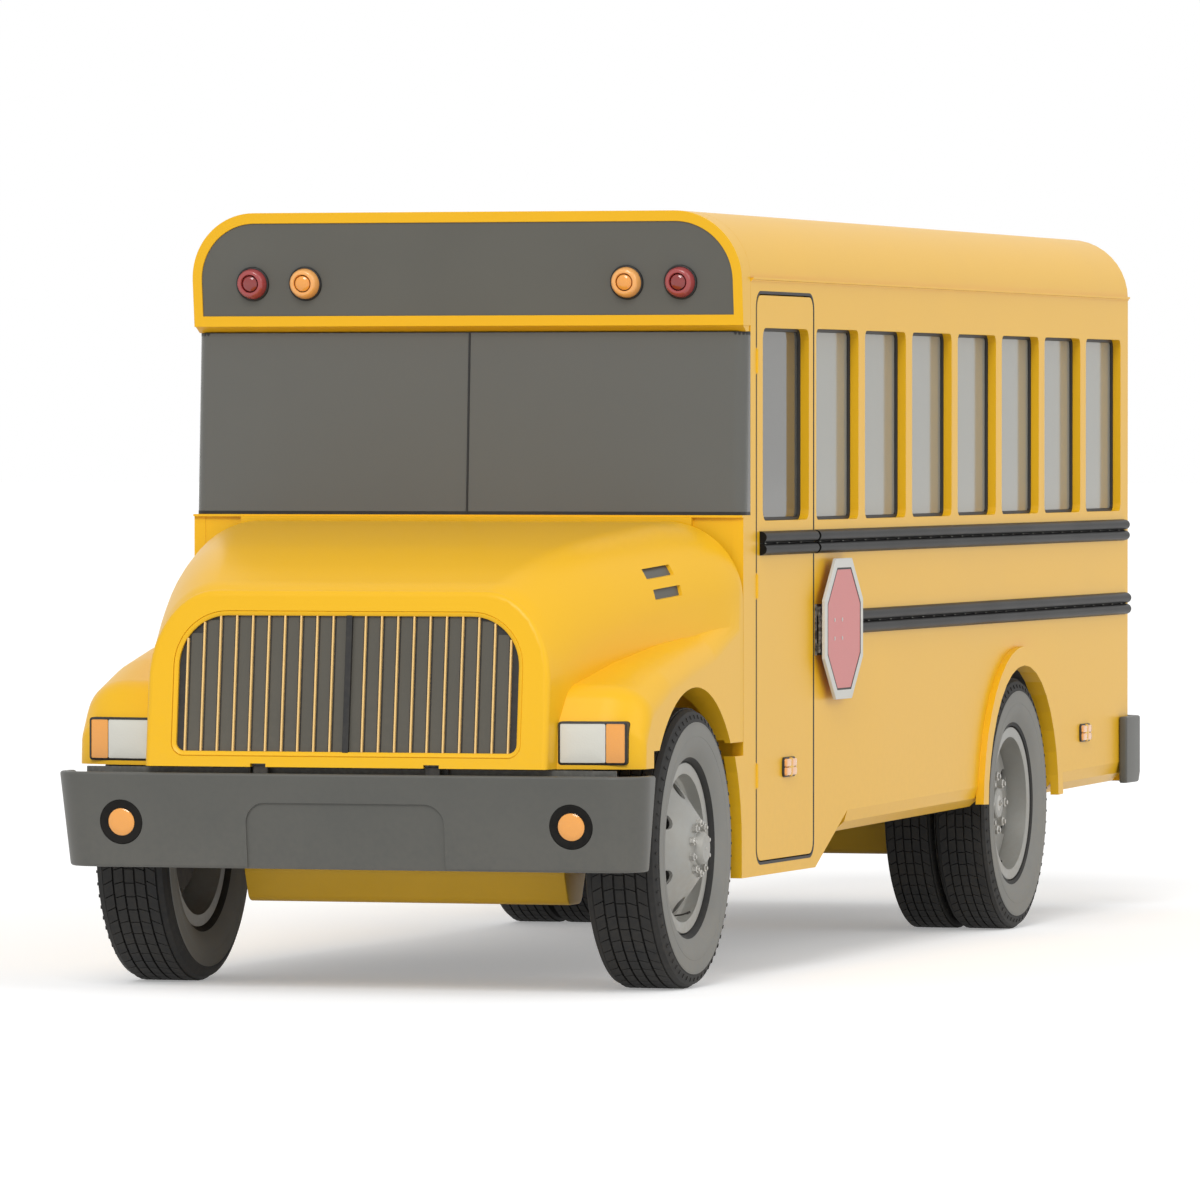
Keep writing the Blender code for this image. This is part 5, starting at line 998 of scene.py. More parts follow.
@dataclass
class Nose:
    """The hood and fenders, which tilt forward as one moulding, with the grille and headlamps."""

    hood_low: float = 0.930
    face_low_y: float = -NOSE_LENGTH + 0.021
    face_high_y: float = -NOSE_LENGTH + 0.099
    face_high_z: float = 1.655
    face_edge: float = 0.025
    wall: float = 0.025
    fender_inner_x: float = 0.700
    fender_face_y: float = -NOSE_LENGTH + 0.189
    sweep: float = 0.080
    round_wide: float = 0.190
    round_tall: float = 0.130
    fall: float = 0.300
    axle_y: float = -0.706
    wheel_z: float = 0.581
    arch_radius: float = 0.665
    grille_half: float = HALF - 0.468
    grille_low: float = 0.974
    grille_high: float = 1.569
    grille_corner: float = 0.226
    grille_low_corner: float = 0.055
    border: float = 0.020
    louvres: int = 20
    lamp_x: Flat = (HALF - 0.342, HALF - 0.060)
    lamp_z: Flat = (0.947, 1.125)
    lamp_corner: float = 0.014
    vent_centres: tuple[Flat, Flat] = ((-0.635, 1.720), (-0.620, 1.635))
    clear: float = 0.0006
    hinge: Flat = (-NOSE_LENGTH + 0.050, 0.945)
    pin_x: tuple[float, float, float] = (0.280, 0.339, 0.406)
    pin_radius: float = 0.012
    far: float = 1.4
    slat_share: float = 0.68
    vent_x: Flat = (0.85, 1.30)
    vent_deep: float = 0.016

    def stations(self) -> list[tuple[float, ...]]:
        """Gives Y, top Z, the flat top's half-width, and the corner's width and height, from the front."""
        given = [
            (self.face_high_y, self.face_high_z, HALF - 0.641, 0.286, 0.375),
            (-NOSE_LENGTH + 0.366, 1.754, HALF - 0.583, 0.290, 0.361),
            (-NOSE_LENGTH + 0.697, 1.835, HALF - 0.511, 0.297, 0.347),
            (-0.364, 1.909, HALF - 0.382, 0.309, 0.325),
            (-0.064, 1.925, HALF - 0.317, 0.3145, 0.315),
            (0.060, 1.935, HALF - 0.3155, 0.3145, 0.315),
        ]
        return curve_through(given, 6)

    def face_y(self, z: float) -> float:
        """Gives the Y of the leaning front face at a height."""
        slope = (self.face_high_y - self.face_low_y) / (self.face_high_z - self.hood_low)
        return self.face_low_y + (z - self.hood_low) * slope

    def ring(self, station: tuple[float, ...], inset: float, low: float) -> list[Point]:
        """Gives the hood's cross-section at a station, drawn in by inset."""
        y, top, flat, wide, tall = station
        turns = [math.radians(90.0 * i / 16) for i in range(17)]
        right = [
            (flat + (wide - inset) * math.cos(t), top - tall + (tall - inset) * math.sin(t)) for t in turns
        ]
        half = [(flat + wide - inset, low), (flat + wide - inset, (low + top - tall) / 2), *right]
        return [(x, y, z) for x, z in half + [(-x, z) for x, z in reversed(half)]]

    def core(self, inset: float, low: float) -> Mesh:
        """Makes the solid between the fenders, with a rounded edge where it meets the face."""
        rings = [self.ring(station, inset, low) for station in self.stations()]
        first = self.stations()[0]
        turned = []
        for i in range(5):
            turn = math.radians(90.0 * (1 - i / 4))
            drawn_in = self.face_edge * (1 - math.cos(turn)) if i else self.face_edge
            back = self.face_edge * (1 - math.sin(turn))
            turned.append([
                (x, self.face_y(z) + inset + back, z) for x, _, z in self.ring(first, inset + drawn_in, low)
            ])
        return skin(turned + rings[1:])

    def fender(self) -> Mesh:
        """Makes the left fender: its side profile carried outwards and rounded off at the outer edge."""
        low = self.hood_low
        edge = rounded([
            (0.050, 1.616, 0.0), (-0.422, 1.473, 0.30), (-0.752, 1.418, 0.40),
            (-NOSE_LENGTH + 0.592, 1.357, 0.60), (-NOSE_LENGTH + 0.274, 1.262, 0.12),
            (-NOSE_LENGTH + 0.193, 1.100, 0.10), (-NOSE_LENGTH + 0.187, low, 0.0), (0.050, low, 0.0)
        ], 8)
        stations = [(self.fender_inner_x, 0.0), (0.80, 0.0), (0.90, 0.0)]
        for i in range(13):
            turn = math.radians(7.5 * i)
            stations.append(
                (HALF - self.round_wide * (1 - math.sin(turn)), self.round_tall * (1 - math.cos(turn)))
            )
        sections = []
        for x, drop in stations:
            sweep = self.sweep * (HALF - x) / (HALF - self.fender_inner_x)
            section = []
            for y, z in edge:
                front = ramp(y, -NOSE_LENGTH + 0.655, -NOSE_LENGTH + 0.205)
                lowered = drop * ramp(z, low, low + self.fall)
                section.append((x, y + (0.5 * drop - sweep) * front, z - lowered))
            sections.append(section)
        return skin(sections)

    def leaned(self, mesh: Mesh) -> Mesh:
        """Shears an upright mesh so that its Y = 0 lies in the front face."""
        return sheared(mesh, lambda _, z: self.face_y(z))

    def outline(self, inset: float) -> list[Flat]:
        """Gives the grille's outline, drawn in by inset."""
        half, low, high = self.grille_half - inset, self.grille_low + inset, self.grille_high - inset
        top, foot = self.grille_corner - inset, max(self.grille_low_corner - inset, 0.008)
        return rounded([(-half, low, foot), (half, low, foot), (half, high, top), (-half, high, top)], 14)

    def lamp_y(self, x: float) -> float:
        """Gives the Y of the fender's face at a width."""
        share = (x - self.fender_inner_x) / (HALF - self.fender_inner_x)
        return self.fender_face_y - self.sweep * (1 - share)

    def on_fender(self, mesh: Mesh) -> Mesh:
        """Shears an upright mesh so that its Y = 0 lies in the left fender's face."""
        return sheared(mesh, lambda x, _: self.lamp_y(x))

    def hood_shell(self) -> Mesh:
        """Makes the hollow hood, less the arches, the grille's opening, the lamps' pockets and the vents."""
        far, gap = self.far, self.pin_radius + 0.0025
        rear = [(-0.008, 0.3), (-0.008, 1.600), (-0.066, 1.935), (-0.066, 2.4), (far, 2.4), (far, 0.3)]
        cuts = [
            self.leaned(prism(FRONT, self.outline(0.0), -0.10, 0.20)),
            prism(SIDE, rear, -far, far),
            self.core(self.wall, self.hood_low - 0.3),
        ]
        under = block((self.pin_x[1], self.pin_x[2]), (self.hood_low - 0.1, self.hinge[1]), 0.0005, 1)
        for notch in (
            drum(SIDE, self.hinge, gap, (self.pin_x[1], self.pin_x[2]), 24),
            prism(FRONT, under, self.face_low_y - 0.1, self.hinge[0] + 0.02),
        ):
            cuts += [reflected(notch.copy()), notch]
        sides = [
            drum(SIDE, (self.axle_y, self.wheel_z), self.arch_radius, (0.800, far), 96),
            slab(
                FRONT, (0.800, HALF - self.wall), (self.hood_low - 0.2, 1.100),
                (-NOSE_LENGTH + 0.305, -NOSE_LENGTH + 0.505), 0.02, 3
            ),
            slab(FRONT, (0.800, HALF - self.wall), (self.hood_low - 0.2, 1.430), (-0.200, 0.100), 0.02, 3),
            self.on_fender(slab(FRONT, self.lamp_x, self.lamp_z, (-0.1, 0.06), self.lamp_corner, 5))
        ]
        shell = combined(self.core(0.0, self.hood_low + 0.001), "UNION", [self.fender()])
        other = combined(self.core(0.0, self.hood_low + 0.001), "UNION", [reflected(self.fender())])
        shell = combined(shell, "UNION", [other])
        shell = cut(shell, *cuts)
        sides.append(self.vents())
        for side in sides:
            shell = cut(shell, reflected(side.copy()), side)
        return shell

    def build(self, shop: Workshop) -> None:
        """Makes and places every piece of the nose."""
        low_rear = -NOSE_LENGTH + 0.355
        shell = self.hood_shell()
        far = self.far
        skirt = prism(PLAN, [(-far, low_rear), (far, low_rear), (far, 0.2), (-far, 0.2)], 0.3, 1.000)
        shell = cut(shell, skirt)
        shop.place("hood_moulding", shell, "yellow_paint", "hood", 0.003, ("hood",))

        barrel = drum(SIDE, self.hinge, self.pin_radius, (self.pin_x[0], self.pin_x[1]), 24)
        tab = slab(
            FRONT, (self.pin_x[0], self.pin_x[1]), (self.hood_low + 0.006, self.hood_low + 0.024),
            (self.face_low_y + 0.010, self.hinge[0]), 0.002, 2
        )
        shop.place("hood_hinge_barrels", both_sides(barrel, tab), "yellow_paint", "hood")
        shop.place("hood_vent_floors", self.vent_floors(), "dark_panel", "hood")
        shop.place("grille_surround", self.surround(), "yellow_paint", "hood", replaces=("grille",))
        shop.place(
            "grille_slats", self.slats(shop, self.pitch() * self.slat_share, 0.020, 0.010, "grille_slat"),
            "grille_slat", "hood"
        )
        shop.place(
            "grille_fins", self.slats(shop, 0.007, 0.006, 0.016, "fin_yellow"), "fin_yellow", "hood", 0.0008
        )
        bar = self.leaned(
            slab(
                FRONT, (-0.013, 0.013),
                (self.grille_low + self.border - 0.002, self.grille_high - self.border + 0.002),
                (0.003, 0.020), 0.003, 3
            )
        )
        shop.place("grille_centre_bar", bar, "black_trim", "hood", 0.002)
        backing = self.leaned(prism(FRONT, self.outline(self.border), 0.021, 0.026))
        shop.place("grille_backing", backing, "black_trim", "hood")
        self.headlamps(shop)

    def pitch(self) -> float:
        """Gives the distance between louvres."""
        return (2 * self.grille_half - 0.114) / self.louvres

    def surround(self) -> Mesh:
        """Makes the grille's rounded frame, seated in the hood's opening."""
        thin = self.clear
        levels = [
            (self.outline(thin), 0.004), (self.outline(0.004), 0.0005),
            (self.outline(self.border - 0.005), 0.0030), (self.outline(self.border), 0.0080),
            (self.outline(self.border), 0.026), (self.outline(thin), 0.026)
        ]
        return self.leaned(moulding(FRONT, levels, closed=True))

    def slats(self, shop: Workshop, wide: float, front: float, deep: float, slot: str) -> Mesh:
        """Grows one upright for every louvre, each as tall as the rounded outline leaves room for.

        Args:
            shop: The workshop that holds the louvre tree.
            wide: The width of each upright.
            front: How far its front is set back from the face.
            deep: Its depth.
            slot: Its finish.

        Returns:
            The leaning row.
        """
        between = slot == "grille_slat"
        count = self.louvres if between else self.louvres + 1
        values = {
            "Count": count, "Pitch": self.pitch(), "Wide": wide, "Front": front, "Deep": deep,
            "Half": self.grille_half - self.border, "Low": self.grille_low + self.border,
            "High": self.grille_high - self.border, "Corner": self.grille_corner - self.border,
            "Material": shop.palette[slot]
        }
        return self.leaned(grown(bpy.data.meshes.new("seed"), shop.louvres, values))

    def headlamps(self, shop: Workshop) -> None:
        """Makes both headlamps: a black surround, a clear lens and an amber turn lens at the outer end."""
        split = self.lamp_x[1] - 0.31 * (self.lamp_x[1] - self.lamp_x[0])
        thin, rim = self.clear, 0.009
        whole = block(self.lamp_x, self.lamp_z, self.lamp_corner, 6)
        inner_x = (self.lamp_x[0] + rim, self.lamp_x[1] - rim)
        inner_z = (self.lamp_z[0] + rim, self.lamp_z[1] - rim)
        inner = block(inner_x, inner_z, self.lamp_corner - rim + 0.003, 6)
        slim = [(x + thin * (1 if x < 1.0 else -1), z + thin * (1 if z < 1.0 else -1)) for x, z in whole]
        surround = moulding(FRONT, [(slim, 0.055, -0.002), (inner, -0.006, 0.055)], closed=True)
        lenses = (
            ("turn_lenses", "lens_amber", (split + 0.0015, inner_x[1] - thin), 0.010),
            ("headlamp_lenses", "lens_clear", (inner_x[0] + thin, split - 0.0015), 0.014),
        )
        shop.place(
            "headlamp_surrounds", both_sides(self.on_fender(surround)), "black_trim", "hood",
            replaces=("headlamp_left", "headlamp_right")
        )
        for name, slot, x, crown in lenses:
            z = (inner_z[0] + thin, inner_z[1] - thin)
            outline = block(x, z, 0.006, 5)
            middle = ((x[0] + x[1]) / 2, (z[0] + z[1]) / 2)
            levels = [(outline, 0.05), (outline, -0.0035)]
            for share in (0.97, 0.90, 0.75, 0.50, 0.25, 0.02):
                smaller = [
                    (middle[0] + (a - middle[0]) * share, middle[1] + (b - middle[1]) * share)
                    for a, b in outline
                ]
                levels.append((smaller, -0.0035 - crown * 0.35 * (1 - share**3)))
            shop.place(name, both_sides(self.on_fender(moulding(FRONT, levels))), slot, "hood")

    def vent(self, centre: Flat) -> list[Flat]:
        """Gives one side vent's outline, in Y and Z."""
        corners = around(centre, [(-0.105, -0.030), (0.105, -0.012), (0.105, 0.031), (-0.105, 0.013)])
        return rounded([(a, b, 0.005) for a, b in corners], 3)

    def vent_slots(self) -> Mesh:
        """Makes the two bars that the vents' shapes are cut from."""
        return joined(*[prism(SIDE, self.vent(centre), *self.vent_x) for centre in self.vent_centres])

    def vents(self) -> Mesh:
        """Makes both vents' cutters on the left side."""
        return cut(self.vent_slots(), self.core(self.vent_deep, self.hood_low - 0.3))

    def vent_floors(self) -> Mesh:
        """Makes the dark floors of the vents on both sides."""
        skins = combined(
            self.vent_slots(), "INTERSECT", [self.core(self.vent_deep - 0.0015, self.hood_low - 0.3)]
        )
        return both_sides(cut(skins, self.core(self.vent_deep - 0.0002, self.hood_low - 0.3)))


# ------------------------------------------------------------------------------------- bumpers


@dataclass
class FrontBumper:
    """The wide channel bumper, with its sunk middle and a round lamp at each end."""

    low: float = 0.513
    high: float = 0.905
    half: float = HALF + 0.050
    wall: float = 0.040
    corner: float = 0.150
    lean: float = 0.050
    inwards: float = 0.030
    return_y: float = -NOSE_LENGTH + 0.225
    recess_half: float = 0.426
    recess_top: float = 0.784
    recess_corner: float = 0.085
    sink: float = 0.010
    lamp_x: float = HALF - 0.253
    lamp_z: float = 0.699
    ring_radius: float = 0.092
    lens_radius: float = 0.056

    def leaned(self, mesh: Mesh) -> Mesh:
        """Shears an upright mesh so that its Y = 0 lies in the bumper's face."""
        tall = self.high - self.low
        return sheared(mesh, lambda _, z: -NOSE_LENGTH + (self.high - z) * self.lean / tall)

    def ring(self, z: float, front: float, half: float) -> list[Point]:
        """Gives the bumper's plan at a height."""
        deep = self.return_y
        outer = rounded([
            (half, deep, 0.0), (half, front, self.corner), (-half, front, self.corner), (-half, deep, 0.0)
        ], 14)
        half -= self.wall
        front += self.wall
        small = self.corner - self.wall
        inner = rounded([
            (-half, deep, 0.0), (-half, front, small), (half, front, small), (half, deep, 0.0)
        ], 14)
        return [(x, y, z) for x, y in outer + inner]

    def bar(self) -> Mesh:
        """Makes the bumper with rounded upper and lower edges, its sunk middle and the lamps' pockets."""
        rings = []
        for z in (self.low, self.high):
            share = (self.high - z) / (self.high - self.low)
            rings.append(self.ring(z, -NOSE_LENGTH + self.lean * share, self.half - self.inwards * share))
        solid = bevelled(skin(rings), 0.013, 4, 60.0)
        deep = self.recess_half
        low, top, corner = self.low - 0.1, self.recess_top, self.recess_corner
        outline = rounded([
            (-deep, low, 0.0), (deep, low, 0.0), (deep, top, corner), (-deep, top, corner)
        ], 12)
        pocket = circle((self.lamp_x, self.lamp_z), self.ring_radius, 64)
        cuts = [
            self.leaned(prism(FRONT, outline, -0.1, self.sink)),
            self.leaned(both_sides(prism(FRONT, pocket, -0.1, self.sink))),
        ]
        return cut(solid, *cuts)

    def round_lamps(self, shop: Workshop) -> None:
        """Makes the black rings and the amber lenses."""
        centre, sink = (self.lamp_x, self.lamp_z), self.sink
        big, small = self.ring_radius - 0.001, self.lens_radius
        rings = lathe(FRONT, centre, [
            (sink, big), (0.001, big), (-0.002, big - 0.003), (-0.002, big - 0.012), (0.004, small + 0.002),
            (sink, small + 0.002)
        ], 64)
        lens = lathe(FRONT, centre, [
            (-0.005, 0.0), (-0.0045, small * 0.5), (-0.002, small * 0.85), (0.003, small), (sink, small),
            (sink, 0.0)
        ], 64)
        shop.place("bumper_lamp_rings", both_sides(self.leaned(rings)), "rail_black")
        shop.place("bumper_lamp_lenses", both_sides(self.leaned(lens)), "lens_amber")

    def build(self, shop: Workshop) -> None:
        """Makes and places the bumper and its lamps."""
        shop.place("front_bumper_bar", self.bar(), "bumper_grey", "bus_body", 0.0025, ("front_bumper",))
        span = (-self.half + 0.130, self.half - 0.130)
        cover = slab(
            FRONT, span, (self.high - 0.035, self.high + 0.021),
            (-NOSE_LENGTH + 0.093, -NOSE_LENGTH + 0.099), 0.002, 2
        )
        shop.place("front_bumper_cover", cover, "bumper_grey")
        self.round_lamps(shop)


# -------------------------------------------------------------------------------------- wheels


def hex_nut(plane: Plane, centre: Flat, depth: float, across: float, tall: float) -> Mesh:
    """Makes a chamfered nut with the end of its stud, standing on a depth."""
    foot, wide, inner = across * 0.62, across / 2 * 1.1547, across * 0.30
    profile = (
        (0.0, foot), (0.18, foot), (0.20, wide), (0.88, wide), (1.0, across * 0.47), (1.0, inner),
        (1.35, inner), (1.42, inner * 0.75),
    )  # a share of the height, and the radius there
    return moulding(plane, [(circle(centre, radius, 6), depth + tall * up) for up, radius in profile])


@dataclass
class Tyre:
    """The sizes of one kind of tyre, from the middle of its width."""

    centre: float
    half: float
    tread: float


@dataclass
class Wheels:
    """Six tyres on four rims: treads, sidewalls, discs, nuts and valves."""

    wheel_z: float = 0.581
    front_y: float = -0.706
    rear_y: float = 4.553
    front: Tyre = field(default_factory=lambda: Tyre(1.0615, 0.1585, 0.115))
    outer: Tyre = field(default_factory=lambda: Tyre(1.0925, 0.1275, 0.0965))
    inner: Tyre = field(default_factory=lambda: Tyre(0.8420, 0.1150, 0.0965))
    bead_share: float = 0.62
    rim_radius: float = 0.330
    rim_inner: float = 0.306
    flange: float = 0.354
    flange_thick: float = 0.010
    disc_x: float = 0.960
    rear_face: float = 1.0950
    spindle_end: float = 1.130
    hub_radius: float = 0.064
    hole_ring: float = 0.236
    hole_radius: float = 0.034
    holes: int = 6
    nuts: int = 10
    blocks: int = 60
    steps: int = 96

    def turned(self, y: float, profile: list[Flat], steps: int | None = None) -> Mesh:
        """Turns a profile of X and radius about an axle."""
        return lathe(SIDE, (y, self.wheel_z), profile, steps or self.steps)

    def side_curve(self, size: Tyre) -> list[Flat]:
        """Gives the offset from the middle and the radius along a sidewall, from shoulder to bead."""
        bead, half, tread = size.half * self.bead_share, size.half, size.tread
        radius = self.wheel_z
        return [
            (tread + 0.006, radius - 0.007), (tread + 0.62 * (half - tread), radius - 0.016),
            (half - 0.008, radius - 0.034), (half - 0.003, radius - 0.048), (half - 0.0035, radius - 0.054),
            (half, radius - 0.060), (half, radius - 0.125), (half - 0.003, radius - 0.150),
            (half - 0.012, radius - 0.178), (half - 0.028, self.flange + 0.022),
            (bead + 0.016, self.flange + 0.006), (bead, self.flange + 0.003),
            (bead, self.rim_radius + 0.0005)
        ]

    def carcass(self, size: Tyre, y: float) -> Mesh:
        """Makes a tyre without its tread blocks."""
        side = self.side_curve(size)
        base = self.wheel_z - 0.013
        crown = [(size.tread + 0.001, base + 0.004), (size.tread - 0.004, base)]
        half = crown[::-1] + side
        inboard = [(size.centre - x, r) for x, r in reversed(half)]
        outboard = [(size.centre + x, r) for x, r in half]
        return self.turned(y, inboard + outboard)

    def tread_blocks(self, shop: Workshop, size: Tyre, y: float) -> Mesh:
        """Makes the tread of five ribs round a tyre, and its shoulder ticks.

        Args:
            shop: The workshop that holds the repeating tree.
            size: The tyre's sizes.
            y: Its axle's Y.

        Returns:
            The blocks all round the left wheel.
        """
        pitch = 2 * math.pi * self.wheel_z / self.blocks
        half, gap = pitch / 2 - 0.0022, size.tread * 0.075
        edges = [size.tread * share for share in (-1.0, -0.62, -0.20, 0.20, 0.62, 1.0)]
        slice_of = []
        for i, (one, two) in enumerate(zip(edges, edges[1:])):
            x0 = size.centre + one + (gap / 2 if i else 0.0)
            x1 = size.centre + two - (gap / 2 if i < 4 else 0.0)
            slant = (0.010, 0.006, 0.0, -0.006, -0.010)[i]
            shape = [
                (x0, y - half - slant), (x1, y - half + slant), (x1, y + half + slant),
                (x0, y + half - slant)
            ]
            top = self.wheel_z * 2 - (0.0012 if i in (0, 4) else 0.0008)
            slice_of.append(prism(PLAN, shape, self.wheel_z * 2 - 0.016, top))
        x, top = size.centre + size.half - 0.0095, 2 * self.wheel_z - 0.030
        tick = skin([
            [
                (x - 0.004, y + d, top - 0.016), (x + 0.0095, y + d, top - 0.016), (x + 0.0045, y + d, top),
                (x - 0.004, y + d, top)
            ]
            for d in (-0.004, 0.004)
        ])
        ticks = shop.ring(tick, "tyre_rubber", 64, (0.0, y, self.wheel_z), (1.0, 0.0, 0.0))
        blocks = shop.ring(
            joined(*slice_of), "tyre_rubber", self.blocks, (0.0, y, self.wheel_z), (1.0, 0.0, 0.0)
        )
        return joined(blocks, ticks)

    def sidewalls(self, size: Tyre, y: float) -> Mesh:
        """Makes the raised band on both sides of a tyre, with its rings; the band's paler colour is painted
        sheen.
        """
        curve = self.side_curve(size)[5:10]
        bands = []
        for sign in (1, -1):
            out = [(size.centre + sign * (x + 0.0010), r) for x, r in curve]
            back = [(size.centre + sign * (x - 0.0030), r) for x, r in reversed(curve)]
            bands.append(self.turned(y, out + back))
            for radius in (self.wheel_z - 0.066, self.wheel_z - 0.118):
                x = size.centre + sign * size.half
                ring = [
                    (x - sign * 0.001, radius - 0.0022), (x + sign * 0.0019, radius),
                    (x - sign * 0.001, radius + 0.0022)
                ]
                bands.append(self.turned(y, ring))
        return joined(*bands)

    def barrel(self, size: Tyre, inset: float = 0.0) -> list[Flat]:
        """Gives a rim's outer profile from its outboard flange to its inboard one."""
        wide = size.half * self.bead_share + self.flange_thick + 0.002 - inset
        low, high, lip = size.centre - wide, size.centre + wide, self.flange_thick
        return [
            (high, self.flange - 0.003), (high - 0.003, self.flange), (high - lip + 0.002, self.flange),
            (high - lip, self.flange - 0.003), (high - lip, self.rim_radius), (low + lip, self.rim_radius),
            (low + lip, self.flange), (low, self.flange)
        ]

    def holed(self, rim: Mesh, y: float, low: float, high: float) -> Mesh:
        """Cuts the ring of hand holes through a disc."""
        cutters = []
        for i in range(self.holes):
            turn = 2 * math.pi * (i + 0.5) / self.holes
            centre = (y + self.hole_ring * math.cos(turn), self.wheel_z + self.hole_ring * math.sin(turn))
            cutters.append(prism(SIDE, circle(centre, self.hole_radius, 28), low, high))
        return cut(rim, joined(*cutters))

    def front_rim(self) -> Mesh:
        """Makes the left front rim with its cone-shaped disc and hub."""
        size, disc = self.front, self.spindle_end
        high = self.barrel(size)[0][0]
        at = size.centre
        profile = [
            (at + 0.205, 0.0), (at + 0.205, self.hub_radius - 0.008), (at + 0.198, self.hub_radius),
            (at + 0.174, 0.070), (at + 0.170, 0.076), (at + 0.166, 0.128), (at + 0.160, 0.139),
            (disc - 0.012, 0.275), (disc - 0.019, 0.288), (disc - 0.012, self.rim_inner - 0.004),
            (disc - 0.002, self.rim_inner), (high - 0.004, self.rim_inner + 0.001),
            (high, self.rim_inner + 0.010), *self.barrel(size),
            (size.centre - (high - size.centre), self.rim_inner), (disc - 0.035, self.rim_inner),
            (disc - 0.035, 0.285), (at + 0.140, 0.150), (at + 0.140, 0.120), (disc, 0.120), (disc, 0.0)
        ]
        return self.holed(self.turned(self.front_y, profile), self.front_y, disc - 0.09, disc + 0.12)

    def rear_rim(self) -> Mesh:
        """Makes both left rear rims, bolted disc to disc, with the hub."""
        disc, inner, face = self.disc_x, self.rim_inner, self.rear_face
        outer_high = self.barrel(self.outer)[0][0]
        outer_low, inner_high = self.barrel(self.outer)[-1][0], self.barrel(self.inner)[0][0]
        inner_low = self.barrel(self.inner)[-1][0]
        profile = [
            (disc + 0.170, 0.0), (disc + 0.170, self.hub_radius), (disc + 0.164, self.hub_radius + 0.006),
            (face + 0.012, self.hub_radius + 0.008), (face + 0.008, 0.084), (face + 0.008, 0.150),
            (face, 0.160), (face - 0.004, 0.215), (face, 0.268), (face - 0.010, 0.292),
            (face - 0.030, inner), (outer_high - 0.004, inner + 0.001), (outer_high, inner + 0.010),
            *self.barrel(self.outer), (outer_low, inner + 0.009), (inner_high, inner + 0.009),
            *self.barrel(self.inner), (inner_low, inner), (disc - 0.040, inner), (disc, 0.250), (disc, 0.0)
        ]
        space = [
            (disc + 0.014, 0.165), (face - 0.014, 0.165), (face - 0.014, 0.275),
            (face - 0.045, inner - 0.004), (disc + 0.014, inner - 0.004)
        ]
        hollow = cut(self.turned(self.rear_y, profile), self.turned(self.rear_y, space))
        return self.holed(hollow, self.rear_y, disc - 0.10, face + 0.10)

    def nut_ring(
        self, shop: Workshop, y: float, x: float, radius: float, across: float, count: int
    ) -> Mesh:
        """Makes a ring of wheel nuts."""
        nut = hex_nut(SIDE, (y, self.wheel_z + radius), x, across, across * 0.62)
        return shop.ring(nut, "nut_steel", count, (0.0, y, self.wheel_z), (1.0, 0.0, 0.0))

    def cap(self, y: float, x: float, radius: float) -> Mesh:
        """Makes the round hub cover with its central bolt."""
        dome = [
            (x + 0.014, 0.0), (x + 0.012, radius * 0.45), (x + 0.006, radius * 0.78),
            (x - 0.004, radius * 0.94), (x - 0.010, radius * 0.94), (x - 0.010, 0.0)
        ]
        return joined(self.turned(y, dome, 48), hex_nut(SIDE, (y, self.wheel_z), x + 0.010, 0.024, 0.010))

    def valve(self, y: float, x: float, radius: float) -> Mesh:
        """Makes a valve stem inside a rim."""
        foot = (x, y, self.wheel_z - radius)
        stem = tube(beyond(foot, [(-0.030, 0.0, 0.0), (0.0, 0.0, 0.004), (0.026, 0.0, 0.012)]), 0.0035, 8)
        cap = tube(beyond(foot, [(0.024, 0.0, 0.011), (0.038, 0.0, 0.0165)]), 0.0052, 8)
        return joined(stem, cap)

    def both(
        self, shop: Workshop, name: str, mesh: Mesh, slot: str, wheel: str, edge: float = 0.0,
        replaced: str = ""
    ) -> None:
        """Places a left wheel's piece and its reflection on the right wheel."""
        other = reflected(mesh)
        for side, shape in (("left", mesh), ("right", other)):
            nodes = (f"{replaced}_{side}",) if replaced else ()
            shop.place(f"{name}_{side}", shape, slot, f"{wheel}_{side}", edge, nodes)

    def build(self, shop: Workshop) -> None:
        """Makes and places every wheel."""
        kinds = (
            ("front_tyre", self.front, self.front_y, "wheel_front", "tyre_front"),
            ("rear_outer_tyre", self.outer, self.rear_y, "wheel_rear", "tyre_rear_outer"),
            ("rear_inner_tyre", self.inner, self.rear_y, "wheel_rear", "tyre_rear_inner"),
        )
        for name, size, y, wheel, replaced in kinds:
            self.both(shop, name, self.carcass(size, y), "tyre_rubber", wheel, 0.0, replaced)
            self.both(shop, name + "_tread", self.tread_blocks(shop, size, y), "tyre_rubber", wheel)
            # The sidewall bands wear a paler finish that is painted sheen.
            self.both(shop, name + "_sidewall", self.sidewalls(size, y), "tyre_side_painted_sheen", wheel)
        self.both(shop, "front_rim", self.front_rim(), "rim_steel", "wheel_front", 0.0, "rim_front")
        self.both(shop, "rear_rim", self.rear_rim(), "rim_steel", "wheel_rear", 0.0, "rim_rear")
        at = self.front.centre
        self.both(
            shop, "front_nuts", self.nut_ring(shop, self.front_y, at + 0.1672, 0.104, 0.030, self.nuts),
            "nut_steel", "wheel_front"
        )
        self.both(
            shop, "front_hub_cap", self.cap(self.front_y, at + 0.183, self.hub_radius), "nut_steel",
            "wheel_front"
        )
        self.both(
            shop, "front_valve", self.valve(self.front_y, self.spindle_end + 0.03, 0.280), "black_trim",
            "wheel_front"
        )
        self.both(
            shop, "rear_nuts", self.nut_ring(shop, self.rear_y, self.rear_face + 0.0075, 0.124, 0.040, 8),
            "nut_steel", "wheel_rear"
        )
        self.both(
            shop, "rear_hub_cap", self.cap(self.rear_y, self.disc_x + 0.160, self.hub_radius), "nut_steel",
            "wheel_rear"
        )
        self.both(
            shop, "rear_valve", self.valve(self.rear_y, self.rear_face + 0.010, 0.285), "black_trim",
            "wheel_rear"
        )


# ---------------------------------------------------------------------------------------- body


